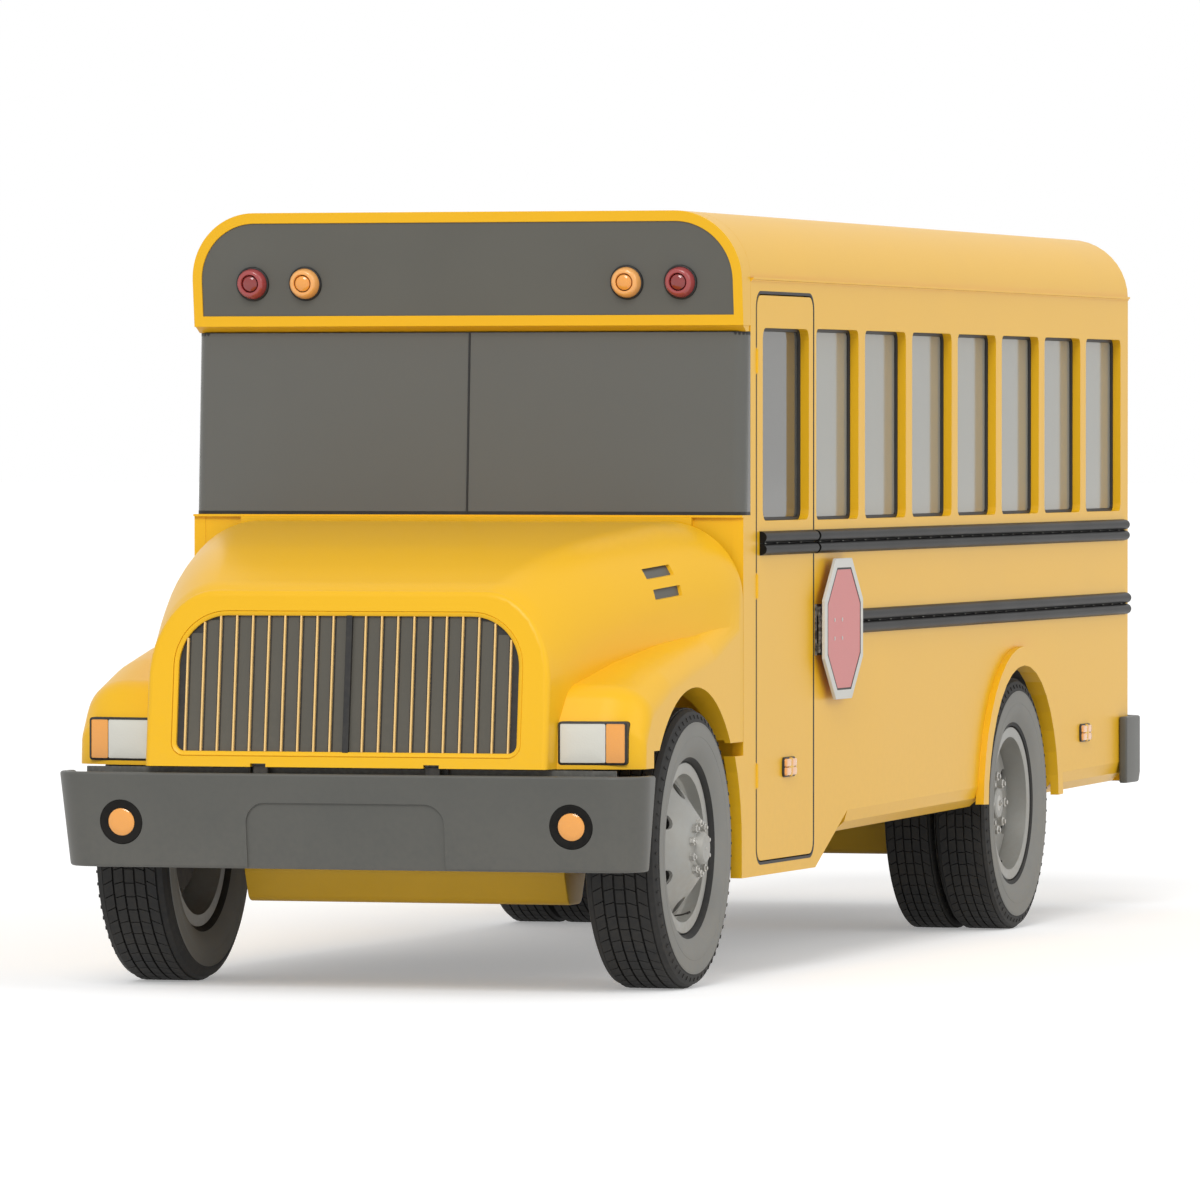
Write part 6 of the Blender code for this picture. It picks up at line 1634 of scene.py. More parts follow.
@dataclass
class Header:
    """The cap over the windshield, with its dark sunk panel and four warning lamps."""

    low: float = 2.748
    roof: float = 3.231
    corner: float = 0.286
    lean: float = 0.058
    rear_y: float = 0.108
    brow_low: float = 2.723
    screen_lean: float = 0.052
    side_band: float = 0.041
    low_band: float = 0.045
    high_band: float = 0.045
    depth: float = 0.018
    lamp_z: float = 2.930
    lamp_radius: float = 0.067
    lamp_proud: float = 0.042
    lamps: tuple[tuple[float, str], ...] = ((0.714, "amber"), (0.950, "red"))

    def leaned(self, mesh: Mesh) -> Mesh:
        """Shears an upright mesh so that its Y = 0 lies in the header's face."""
        return sheared(mesh, lambda _, z: -self.lean * (z - self.low) / (self.roof - self.low))

    def outline(self, side: float, low: float, high: float, steps: int = 20) -> list[Flat]:
        """Gives the face's outline, drawn in by its bands."""
        half, corner = HALF - side, self.corner - side
        return rounded([
            (-half, low, 0.0), (half, low, 0.0), (half, high, corner), (-half, high, corner)
        ], steps)

    def sunk_outline(self, grow: float) -> list[Flat]:
        """Gives the outline of the sunk panel."""
        return self.outline(
            self.side_band + grow, self.low + self.low_band + grow, self.roof - self.high_band - grow
        )

    def cap(self) -> Mesh:
        """Makes the hollow cap with its brow and its sunk face."""
        outline = self.outline(0.0, self.low, self.roof)
        front = [(x, -self.lean * (z - self.low) / (self.roof - self.low), z) for x, z in outline]
        solid = skin([front, [(x, self.rear_y, z) for x, z in outline]])
        brow = [
            (self.rear_y, self.brow_low), (self.screen_lean + 0.004, self.brow_low),
            (0.004, self.low + 0.002), (0.004, self.low + 0.030), (self.rear_y, self.low + 0.030)
        ]
        solid = combined(solid, "UNION", [prism(SIDE, brow, -HALF + 0.004, HALF - 0.004)])
        sunk = self.leaned(prism(FRONT, self.sunk_outline(0.0), -0.1, self.depth))
        inside = HALF - 0.050
        hollow = block((-inside, inside), (self.brow_low + 0.035, self.roof - 0.050), 0.15, 8)
        return cut(solid, sunk, prism(FRONT, hollow, 0.045, self.rear_y + 0.05))

    def lamp(self, x: float, parts: list[Flat]) -> Mesh:
        """Turns one part of a lamp about its centre, on both sides of the bus."""
        return both_sides(self.leaned(lathe(FRONT, (x, self.lamp_z), parts, 48)))

    def build(self, shop: Workshop) -> None:
        """Makes and places the header."""
        shop.place("header_shell", self.cap(), "yellow_paint", "bus_body", 0.004, ("header_cap",))
        face = self.leaned(prism(FRONT, self.sunk_outline(0.0006), 0.006, self.depth - 0.0003))
        shop.place("header_face", face, "dark_panel", replaces=("header_panel",))
        big, out = self.lamp_radius, -self.lamp_proud
        for x, colour in self.lamps:
            gasket = self.lamp(x, [
                (0.0055, big + 0.006), (0.0, big + 0.006), (-0.004, big + 0.004), (-0.006, big - 0.001),
                (0.0055, big - 0.004)
            ])
            shop.place(f"{colour}_lamp_gaskets", gasket, "black_trim")
            cone = [
                (0.0055, big - 0.002), (-0.006, big - 0.002), (out + 0.012, big - 0.008),
                (out + 0.003, big - 0.014), (out, big - 0.019), (out, big - 0.027),
                (out + 0.004, big - 0.030), (0.0055, big - 0.030)
            ]
            shop.place(f"{colour}_lamp_rings", self.lamp(x, cone), f"lens_{colour}_pale")
            small = big - 0.0345
            dome = [
                (out - 0.003, 0.0), (out - 0.0024, small * 0.45), (out + 0.001, small * 0.8),
                (out + 0.006, small), (0.0055, small), (0.0055, 0.0)
            ]
            shop.place(f"{colour}_lamp_lenses", self.lamp(x, dome), f"lens_{colour}")


@dataclass
class Windshield:
    """The bent windshield's black seals and its centre strip."""

    low: float = 1.951
    high: float = 2.723
    lean: float = 0.052
    corner: float = 0.057
    rear_y: float = 0.108
    seal: float = 0.014

    def line(self, share: float, proud: float) -> list[Point]:
        """Gives the glass's outer line, from one side round to the other, at a share of its height."""
        z = self.low + (self.high - self.low) * share
        y = 0.004 + (self.lean - 0.012) * share
        radius = self.corner + proud
        right = arc((HALF - self.corner, y + self.corner), radius, -90.0, 0.0, 12)
        right.append((HALF + proud, self.rear_y - 0.002))
        line = [(-a, b) for a, b in reversed(right)] + right
        return [(a, b, z) for a, b in line]

    def strip(self, share: float, up: float) -> Mesh:
        """Makes the seal along the glass's upper or lower edge."""
        rings = []
        for (x0, y0, z), (x1, y1, _) in zip(self.line(share, -0.004), self.line(share, -0.0002)):
            inwards = Vector((x0 - x1, y0 - y1, 0.0)).normalized() * 0.006
            low, high = min(z, z + up * self.seal), max(z, z + up * self.seal)
            rings.append([
                (x1, y1, low), (x1, y1, high), (x1 + inwards.x, y1 + inwards.y, high),
                (x1 + inwards.x, y1 + inwards.y, low)
            ])
        return skin(rings)

    def build(self, shop: Workshop) -> None:
        """Makes and places the seals."""
        screen = shop.copy_of("windshield")
        shop.place("windshield_glass", screen, "glass", replaces=("windshield",))
        shop.place("windshield_seal_low", self.strip(0.0, 1.0), "black_trim")
        shop.place("windshield_seal_high", self.strip(1.0, -1.0), "black_trim")
        rings = []
        for share in (0.004, 0.996):
            y, z = 0.004 + (self.lean - 0.012) * share, self.low + (self.high - self.low) * share
            rings.append([(-0.005, y, z), (-0.0035, y - 0.003, z), (0.0035, y - 0.003, z), (0.005, y, z)])
        shop.place("windshield_centre_strip", skin(rings), "black_trim")


@dataclass
class Roof:
    """The rounded panels over the sides, the drip rails and the white roof with its bows."""

    eaves: float = 2.945
    top: float = 3.231
    corner: float = 0.286
    wall: float = 0.050
    front_y: float = 0.1083
    rear_y: float = 6.5897
    bows: int = 8

    def build(self, shop: Workshop) -> None:
        """Makes and places the roof."""
        centre = (HALF - self.corner, self.eaves + 0.0003)
        outer = arc(centre, self.corner - 0.0003, 0.0, 90.0, 28)
        inner = arc(centre, self.corner - self.wall, 90.0, 0.0, 28)
        rail = prism(FRONT, outer + inner, self.front_y, self.rear_y)
        for side, mesh in (("left", rail), ("right", reflected(rail.copy()))):
            shop.place(f"roof_side_{side}", mesh, "yellow_paint", replaces=(f"cant_rail_{side}",))
        drip = [
            (HALF + 0.0003, self.eaves - 0.010), (HALF + 0.0045, self.eaves - 0.010),
            (HALF + 0.0045, self.eaves - 0.004), (HALF + 0.012, self.eaves - 0.001),
            (HALF + 0.012, self.eaves + 0.008), (HALF + 0.010, self.eaves + 0.008),
            (HALF + 0.009, self.eaves + 0.002), (HALF + 0.0003, self.eaves + 0.002)
        ]
        gutter = prism(FRONT, drip, self.front_y + 0.002, self.rear_y + 0.045)
        shop.place("drip_rails", both_sides(gutter), "yellow_paint")
        edge = HALF - self.corner - 0.0006
        sheet = prism(FRONT, [
            (-edge, self.top - self.wall), (edge, self.top - self.wall), (edge, self.top - 0.0035),
            (-edge, self.top - 0.0035)
        ], self.front_y, self.rear_y)
        shop.place("roof_sheet", sheet, "white_roof", replaces=("roof_skin",))
        step = (self.rear_y - self.front_y - 0.10) / (self.bows - 1)
        bow = moulding(PLAN, [
            (
                block(
                    (-edge + 0.004, edge - 0.004), (self.front_y + 0.020, self.front_y + 0.080), 0.004, 2
                ),
                self.top - 0.004
            ),
            (
                block(
                    (-edge + 0.004, edge - 0.004), (self.front_y + 0.022, self.front_y + 0.078), 0.004, 2
                ),
                self.top - 0.0012
            ),
            (
                block(
                    (-edge + 0.007, edge - 0.007), (self.front_y + 0.025, self.front_y + 0.075), 0.004, 2
                ),
                self.top - AIR
            )
        ])
        shop.place("roof_bows", shop.row(bow, "white_roof", self.bows, (0.0, step, 0.0)), "white_roof")
        rivet = lathe(PLAN, (-edge + 0.030, self.front_y + 0.030), [
            (-0.0006, 0.0), (-0.0012, 0.0040), (-0.003, 0.0055), (-0.004, 0.0)
        ], 8, self.top)
        line = shop.row(rivet, "white_roof", 24, ((2 * edge - 0.060) / 23, 0.0, 0.0))
        shop.place("roof_rivets", shop.row(line, "white_roof", self.bows, (0.0, step, 0.0)), "white_roof")


@dataclass
class RubRails:
    """The black ribbed rails along both sides."""

    upper: Flat = (1.780, 1.880)
    lower: Flat = (1.424, 1.528)
    proud: float = 0.0300
    door: Flat = (0.245, 1.062)
    upper_y: Flat = (1.094, 6.556)
    left_y: Flat = (1.694, 6.5855)
    right_y: Flat = (1.125, 6.5855)
    bolt_step: float = 0.182

    def bar(self, z: Flat, y: Flat) -> Mesh:
        """Makes one rail: two half-round beads on a flat base."""
        low, high = z[0] - 0.001, z[1] + 0.001
        radius = (high - low) / 4
        outline = [(HALF + AIR, low), (HALF + 0.0030, low)]
        for centre in (low + radius, high - radius):
            for i in range(13):
                turn = math.radians(-90 + 15 * i)
                outline.append(
                    (
                        HALF + 0.0030 + (self.proud - 0.0012) * math.cos(turn),
                        centre + radius * 0.97 * math.sin(turn)
                    )
                )
        outline += [(HALF + 0.0030, high), (HALF + AIR, high)]
        return prism(FRONT, outline, y[0] - 0.001, y[1] + 0.001)

    def bolts(self, shop: Workshop, z: Flat, y: Flat) -> Mesh:
        """Makes the row of bolt heads in the groove between a rail's beads."""
        middle = (z[0] + z[1]) / 2
        head = lathe(
            SIDE, (y[0] + 0.060, middle),
            [(0.004, 0.0), (0.004, 0.0055), (0.0085, 0.0055), (0.0105, 0.0030), (0.0108, 0.0)], 10, HALF
        )
        count = int((y[1] - y[0] - 0.120) / self.bolt_step) + 1
        return shop.row(head, "nut_steel", count, (0.0, self.bolt_step, 0.0))

    def build(self, shop: Workshop) -> None:
        """Makes and places every rail."""
        fixed = (
            (self.upper, self.upper_y, False), (self.upper, self.upper_y, True),
            (self.lower, self.left_y, False), (self.lower, self.right_y, True)
        )
        for name, make, slot in (
            ("rub_rails", self.bar, "rail_black"),
            ("rub_rail_bolts", lambda z, y: self.bolts(shop, z, y), "nut_steel")
        ):
            pieces = [reflected(make(z, y)) if right else make(z, y) for z, y, right in fixed]
            shop.place(name, joined(*pieces), slot)
        shop.place("driver_door_rub_rail", self.bar(self.upper, self.door), "rail_black", "driver_door")
        shop.place(
            "driver_door_rail_bolts", self.bolts(shop, self.upper, self.door), "nut_steel", "driver_door"
        )


@dataclass
class Markers:
    """The four amber side markers, each a base with a lens of four cells."""

    z: float = 0.874
    half_long: float = 0.092
    half_tall: float = 0.042
    rim: float = 0.005
    front_y: float = 0.678
    rear_y: float = 5.786
    proud: float = 0.0195

    def cell(self, y: float, z: float) -> Mesh:
        """Makes one crowned cell of a lens."""
        long, tall, out = self.half_long - self.rim, self.half_tall - self.rim, HALF + self.proud
        crown = (
            (1.0, HALF + 0.002), (1.0, out - 0.007), (0.93, out - 0.0025), (0.80, out - 0.0006), (0.5, out)
        )
        levels = []
        for share, depth in crown:
            across = (y - long / 2 * share + 0.001, y + long / 2 * share - 0.001)
            upright = (z - tall / 2 * share + 0.001, z + tall / 2 * share - 0.001)
            levels.append((block(across, upright, 0.010 * share, 4), depth))
        return moulding(SIDE, levels)

    def lens(self, y: float) -> Mesh:
        """Makes the four cells of one marker on the left side."""
        long, tall = (self.half_long - self.rim) / 2, (self.half_tall - self.rim) / 2
        return joined(*[self.cell(y + a * long, self.z + b * tall) for a in (-1, 1) for b in (-1, 1)])

    def base(self, y: float) -> Mesh:
        """Makes the black base of one marker on the left side."""
        long, tall = self.half_long, self.half_tall
        levels = [
            (block(about(y, long), about(self.z, tall), 0.020, 5), HALF + AIR),
            (block(about(y, long), about(self.z, tall), 0.020, 5), HALF + 0.008),
            (
                block(
                    (y - long + 0.004, y + long - 0.004), (self.z - tall + 0.004, self.z + tall - 0.004),
                    0.016, 5
                ),
                HALF + 0.0105
            )
        ]
        return moulding(SIDE, levels)

    def build(self, shop: Workshop) -> None:
        """Makes and places the markers; the front left one rides on the driver's door."""
        for name, make, slot in (
            ("marker_bases", self.base, "black_trim"), ("marker_lenses", self.lens, "lens_amber")
        ):
            shop.place(f"rear_{name}", both_sides(make(self.rear_y)), slot)
            shop.place(f"door_{name}", make(self.front_y), slot, "driver_door")


@dataclass
class StopSign:
    """The folding octagonal sign: its face, border, pan and hinge strap. It carries no words."""

    width: float = 0.609
    z: float = 1.450
    front_y: float = 1.095
    back_x: float = HALF + 0.034
    thick: float = 0.0135
    rim_x: float = HALF + 0.034
    axis_x: float = HALF + 0.020
    border: float = 0.040
    arm_half: float = 0.060

    def octagon(self, inset: float, corner: float = 0.0) -> list[Flat]:
        """Gives the sign's outline, drawn in by inset."""
        middle = self.front_y + self.width / 2
        radius = (self.width / 2 - inset) / math.cos(math.radians(22.5))
        points = circle((0.0, 0.0), radius, 8)
        turned = [
            (
                middle + a * math.cos(math.pi / 8) - b * math.sin(math.pi / 8),
                self.z + a * math.sin(math.pi / 8) + b * math.cos(math.pi / 8)
            )
            for a, b in points
        ]
        return rounded([(a, b, corner) for a, b in turned], 3)

    def build(self, shop: Workshop) -> None:
        """Makes and places the sign."""
        front = self.back_x + self.thick
        edge, inner = self.octagon(0.0, 0.006), self.octagon(self.border, 0.004)
        pan_levels = [
            (edge, self.rim_x, front - 0.002), (self.octagon(0.002, 0.006), front),
            (inner, front, front - 0.004), (self.octagon(0.0028, 0.006), front - 0.004, self.rim_x)
        ]
        pan = moulding(SIDE, pan_levels, closed=True)
        shop.place("stop_sign_pan", pan, "sign_white", "stop_sign", replaces=("stop_sign",))
        low, high = self.back_x + 0.002, front + 0.0002
        line = moulding(SIDE, [
            (inner, low, high), (self.octagon(self.border + 0.008, 0.004), high, low)
        ], closed=True)
        shop.place("stop_sign_line", line, "black_trim", "stop_sign")
        face = prism(SIDE, self.octagon(self.border + 0.0082, 0.004), low, front - 0.0006)
        shop.place("stop_sign_face", face, "sign_red", "stop_sign")
        back = prism(SIDE, self.octagon(0.003, 0.006), self.back_x, self.back_x + 0.0018)
        shop.place("stop_sign_back", back, "sign_red", "stop_sign")
        low, high = self.z - self.arm_half, self.z + self.arm_half
        axis_y = self.front_y + 0.012
        strap = slab(
            SIDE, (axis_y, self.front_y + self.width / 2), (low, high),
            (self.axis_x - 0.001, self.back_x + 0.001), 0.006, 3
        )
        knuckle = drum(PLAN, (self.axis_x, axis_y), 0.008, (low, high), 24)
        bolt = hex_nut(
            SIDE, (self.front_y + self.width / 2 - 0.030, low + 0.020), front - 0.0006, 0.016, 0.0014
        )
        bolts = shop.grid(
            bolt, "nut_steel", (2, (0.0, 0.0, 2 * self.arm_half - 0.040)), (2, (0.0, -0.120, 0.0))
        )
        shop.place("stop_sign_strap", joined(strap, knuckle), "black_paint", "stop_sign")
        shop.place("stop_sign_bolts", bolts, "nut_steel", "stop_sign")


def framing(
    plane: Plane, across: Flat, upright: Flat, corner: float, profile: list[Flat], start: float, steps: int
) -> Mesh:
    """Carries a profile round a rounded rectangle.

    Args:
        plane: The plane of the rectangle.
        across: The rectangle's first span.
        upright: Its second span.
        corner: The radius of its corners.
        profile: How far each point lies inside the rectangle, and its depth.
        start: What is added to every depth.
        steps: The straight pieces in each rounded corner.

    Returns:
        The closed frame.
    """
    levels = []
    for inset, depth in profile:
        spans = [(low + inset, high - inset) for low, high in (across, upright)]
        levels.append((block(*spans, max(corner - inset, 0.004), steps), start + depth))
    return moulding(plane, levels, closed=True)


def doorway_seal(
    plane: Plane, across: Flat, upright: Flat, corner: float, face: float, hinges: list[Flat]
) -> Mesh:
    """Makes the seal that lines a doorway and laps onto the wall round it.

    Args:
        plane: The wall's plane.
        across: Where the door's leaf starts and ends along the wall.
        upright: The leaf's low and high Z.
        corner: The radius of the leaf's corners.
        face: The depth of the wall's outer face.
        hinges: The middle of each hinge, which the seal leaves free.

    Returns:
        The seal, 5 mm clear of the leaf.
    """
    profile = [
        (-0.0055, -0.030), (-0.0055, -0.0005), (-0.0070, 0.0010), (-0.0170, 0.0010),
        (-0.0185, -0.0005), (-0.0185, -0.0040), (-0.0078, -0.0040), (-0.0078, -0.030),
    ]
    frame_shape = framing(plane, across, upright, corner, profile, face, 8)
    gaps = [
        slab(plane, about(y, 0.016), about(z, 0.056), (face - 0.05, face + 0.02), 0.001, 1)
        for y, z in hinges
    ]
    return cut(frame_shape, *gaps)


@dataclass
class SideGlazing:
    """The black seals round the side windows and the doors' panes, and the seals of the doorways."""

    first_y: float = 1.120
    pitch: float = 0.783
    width: float = 0.678
    low: float = 1.922
    high: float = 2.745
    corner: float = 0.035
    count: int = 7
    inside: float = HALF - 0.050
    driver_pane: tuple[float, float, float, float] = (0.293, 1.006, 1.925, 2.741)
    door: tuple[float, float, float, float] = (0.206, 1.070, 0.490, 2.878)
    hinge_z: tuple[float, ...] = (0.85, 1.65, 2.60)
    wide: float = 0.014
    deep: float = 0.012
    pane_corner: float = 0.045
    door_corner: float = 0.055
    leaf_low: float = 1.150
    leaves: tuple[tuple[str, Flat], ...] = (("front", (0.266, 0.573)), ("rear", (0.7028, 1.010)))

    def seal(self, y: Flat, z: Flat, corner: float, wide: float) -> Mesh:
        """Makes the rounded seal in the angle between a pane and the edge of its opening."""
        deep = self.deep
        profile = [
            (AIR, 0.0), (AIR, deep), (wide * 0.5, deep * 0.96), (wide * 0.9, deep * 0.60), (wide, 0.0)
        ]
        return framing(SIDE, y, z, corner, profile, self.inside + AIR, 6)

    def build(self, shop: Workshop) -> None:
        """Makes and places the seals."""
        one = self.seal(
            (self.first_y, self.first_y + self.width), (self.low, self.high), self.corner, self.wide
        )
        row = shop.row(one, "black_trim", self.count, (0.0, self.pitch, 0.0))
        shop.place("window_seals", both_sides(row), "black_trim")
        y0, y1, z0, z1 = self.driver_pane
        ring = self.seal((y0, y1), (z0, z1), self.pane_corner, self.wide)
        shop.place("driver_door_seal", ring, "black_trim", "driver_door")
        for leaf, y in self.leaves:
            ring = self.seal(y, (self.leaf_low, z1), self.pane_corner, self.deep)
            shop.place(f"entry_{leaf}_seal", reflected(ring), "black_trim", f"entry_leaf_{leaf}")
        y0, y1, z0, z1 = self.door
        front = [(y0 - 0.004, z) for z in self.hinge_z]
        rear = [(y1 + 0.004, z) for z in self.hinge_z]
        left = doorway_seal(SIDE, (y0, y1), (z0, z1), self.door_corner, HALF, front)
        right = doorway_seal(SIDE, (y0, y1), (z0, z1), self.door_corner, HALF, front + rear)
        shop.place("side_doorway_seals", joined(left, reflected(right)), "black_trim")


# ---------------------------------------------------------------------------------------- rear


@dataclass
class RearEnd:
    """The lamps, seals, hinges and handle on the back wall, and the rear bumper."""

    wall_y: float = 6.640
    inside_y: float = 6.590
    proud: float = 0.030
    lamps: tuple[tuple[float, float, float, str], ...] = (
        (0.950, 2.930, 0.067, "red"), (0.714, 2.930, 0.067, "amber"), (0.930, 1.560, 0.090, "amber"),
        (0.930, 1.330, 0.090, "red")
    )
    window: tuple[float, float, float, float] = (0.500, 1.020, 1.960, 2.700)
    panes: tuple[Flat, ...] = ((1.200, 1.700), (1.960, 2.660))
    pane_half: float = 0.270
    pane_corner: float = 0.050
    door_half: float = 0.360
    door_z: Flat = (1.000, 2.760)
    door_corner: float = 0.060
    handle: tuple[float, float, float] = (0.285, 1.780, 1.900)
    hinges: tuple[float, ...] = (1.20, 1.90, 2.60)
    low: float = 0.611
    turned_z: float = 0.660
    high: float = 0.931
    half: float = 1.262
    back: float = 6.834
    ends: float = 6.461
    corner: float = 0.130
    thick: float = 0.040

    def lamp(self, x: float, z: float, parts: list[Flat]) -> Mesh:
        """Turns one part of a lamp about its centre on both sides, with its depth from the wall's face."""
        return both_sides(lathe(FRONT, (x, z), parts, 48, self.wall_y))

    def seal(self, x: Flat, z: Flat) -> Mesh:
        """Makes a seal in the angle between a pane and the edge of its opening."""
        profile = [(AIR, 0.0), (AIR, 0.014), (0.008, 0.013), (0.013, 0.008), (0.014, 0.0)]
        return framing(FRONT, x, z, self.pane_corner, profile, self.inside_y + AIR, 8)

    def fit_lamps(self, shop: Workshop) -> None:
        """Makes and places the lamps' black rims and their ribbed lenses."""
        for i, (x, z, radius, colour) in enumerate(self.lamps):
            rim = [
                (AIR, radius + 0.003), (0.006, radius + 0.0026), (0.009, radius), (0.009, radius - 0.004),
                (AIR, radius - 0.004)
            ]
            shop.place(f"rear_lamp_rims_{i + 1}", self.lamp(x, z, rim), "black_trim")
            out, edge = self.proud + 0.0012, radius - 0.0045
            dome = [
                (0.001, 0.0), (0.001, edge), (0.014, edge), (out - 0.006, edge * 0.95),
                (out - 0.001, edge * 0.86)
            ]
            dome += [(out + 0.0008 - 0.0016 * (k % 2), edge * (0.80 - 0.10 * k)) for k in range(7)]
            dome.append((out, 0.0))
            shop.place(f"rear_lamp_lenses_{i + 1}", self.lamp(x, z, dome), f"lens_{colour}")

    def fit_door(self, shop: Workshop) -> None:
        """Makes and places the door's seals, handle and hinge leaves."""
        half = self.pane_half
        seals = [self.seal((-half, half), span) for span in self.panes]
        shop.place("rear_door_seals", joined(*seals), "black_trim", "rear_door")
        hinges = [(-self.door_half - 0.004, z) for z in self.hinges]
        span = (-self.door_half, self.door_half)
        doorway = doorway_seal(FRONT, span, self.door_z, self.door_corner, self.wall_y, hinges)
        shop.place("rear_doorway_seal", doorway, "black_trim")
        x, z0, z1 = self.handle
        face = self.wall_y + AIR
        plate = moulding(FRONT, [
            (block(about(x, 0.026), (z0 - 0.030, z1 + 0.030), 0.012, 5), face, face + 0.004),
            (block(about(x, 0.023), (z0 - 0.027, z1 + 0.027), 0.010, 5), face + 0.006),
        ])
        grip = moulding(FRONT, [
            (block(about(x, 0.0158), (z0 - 0.001, z1 + 0.001), 0.008, 5), face + 0.004, face + 0.030),
            (block(about(x, 0.012), (z0 + 0.003, z1 - 0.003), 0.006, 5), face + 0.0362),
        ])
        bends = [
            (0.0, 0.020, -0.020), (0.0, 0.0345, -0.035), (-0.055, 0.0345, -0.045), (-0.150, 0.0345, -0.050)
        ]
        lever = tube(beyond((x, face, z1), bends), 0.0085, 12)
        shop.place("rear_door_handle_plate", plate, "nut_steel", "rear_door")
        shop.place("rear_door_handle", joined(grip, lever), "black_paint", "rear_door", 0.001)
        for i, z in enumerate(self.hinges):
            leaf = moulding(FRONT, [
                (
                    block((-self.door_half + 0.016, -self.door_half + 0.120), about(z, 0.030), 0.010, 4),
                    face, face + 0.004
                ),
                (
                    block((-self.door_half + 0.018, -self.door_half + 0.118), about(z, 0.028), 0.008, 4),
                    face + 0.005
                )
            ])
            shop.place(f"rear_door_hinge_leaf_{i + 1}", leaf, "black_paint", "rear_door")
        bolt = hex_nut(FRONT, (-self.door_half + 0.045, self.hinges[0]), face + 0.0045, 0.013, 0.005)
        pair = shop.row(bolt, "nut_steel", 2, (0.045, 0.0, 0.0))
        shop.place(
            "rear_door_hinge_bolts",
            shop.row(pair, "nut_steel", len(self.hinges), (0.0, 0.0, self.hinges[1] - self.hinges[0])),
            "nut_steel", "rear_door"
        )

    def plan(self, inset: float, z: float) -> list[Point]:
        """Gives the bumper's plan at a height, its back face drawn in by inset."""
        back, half, corner = self.back - inset, self.half, self.corner
        outer = rounded([
            (half, self.ends, 0.0), (half, back, corner), (-half, back, corner), (-half, self.ends, 0.0)
        ], 14)
        half, back, corner = half - self.thick, back - self.thick, corner - self.thick
        inner = rounded([
            (-half, self.ends, 0.0), (-half, back, corner), (half, back, corner), (half, self.ends, 0.0)
        ], 14)
        return [(x, y, z) for x, y in outer + inner]

    def fit_bumper(self, shop: Workshop) -> None:
        """Makes and places the bumper, its step plate and its brackets."""
        bar = skin([self.plan(0.030, self.low), self.plan(0.0, self.turned_z), self.plan(0.0, self.high)])
        bar = bevelled(bar, 0.010, 4, 30.0)
        shop.place("rear_bumper_bar", bar, "bumper_grey", replaces=("rear_bumper",))
        tread = slab(
            PLAN, (-HALF + 0.020, HALF - 0.020), (self.wall_y + 0.004, self.back - self.thick / 2),
            (self.high - 0.025, self.high - 0.003), 0.004, 2
        )
        stud = lathe(PLAN, (-HALF + 0.070, self.wall_y + 0.040), [
            (-0.001, 0.0), (-0.001, 0.006), (-0.0035, 0.0085), (-0.0035, 0.0)
        ], 8, self.high)
        studs = shop.grid(stud, "bumper_grey", (58, (0.0408, 0.0, 0.0)), (3, (0.0, 0.038, 0.0)))
        shop.place("rear_step_plate", joined(tread, studs), "bumper_grey")
        bracket = prism(SIDE, [
            (6.625, 0.757), (6.812, 0.757), (6.812, 0.917), (6.740, 0.917), (6.625, 0.900)
        ], 0.372, 0.428)
        arm = slab(SIDE, (6.645, 6.812), (0.900, 0.912), (0.370, 0.415), 0.002, 2)
        bolt = hex_nut(SIDE, (6.690, 0.800), 0.428, 0.026, 0.012)
        bolts = shop.grid(bolt, "nut_steel", (2, (0.0, 0.080, 0.0)), (2, (0.0, 0.0, 0.070)))
        shop.place("rear_bumper_brackets", both_sides(bracket, arm), "chassis_steel", edge=0.002)
        shop.place("rear_bumper_bolts", both_sides(bolts), "nut_steel")

    def build(self, shop: Workshop) -> None:
        """Makes and places everything at the back."""
        self.fit_lamps(shop)
        self.fit_door(shop)
        x0, x1, z0, z1 = self.window
        shop.place("rear_window_seals", both_sides(self.seal((x0, x1), (z0, z1))), "black_trim")
        self.fit_bumper(shop)


# ------------------------------------------------------------------------------------ interior


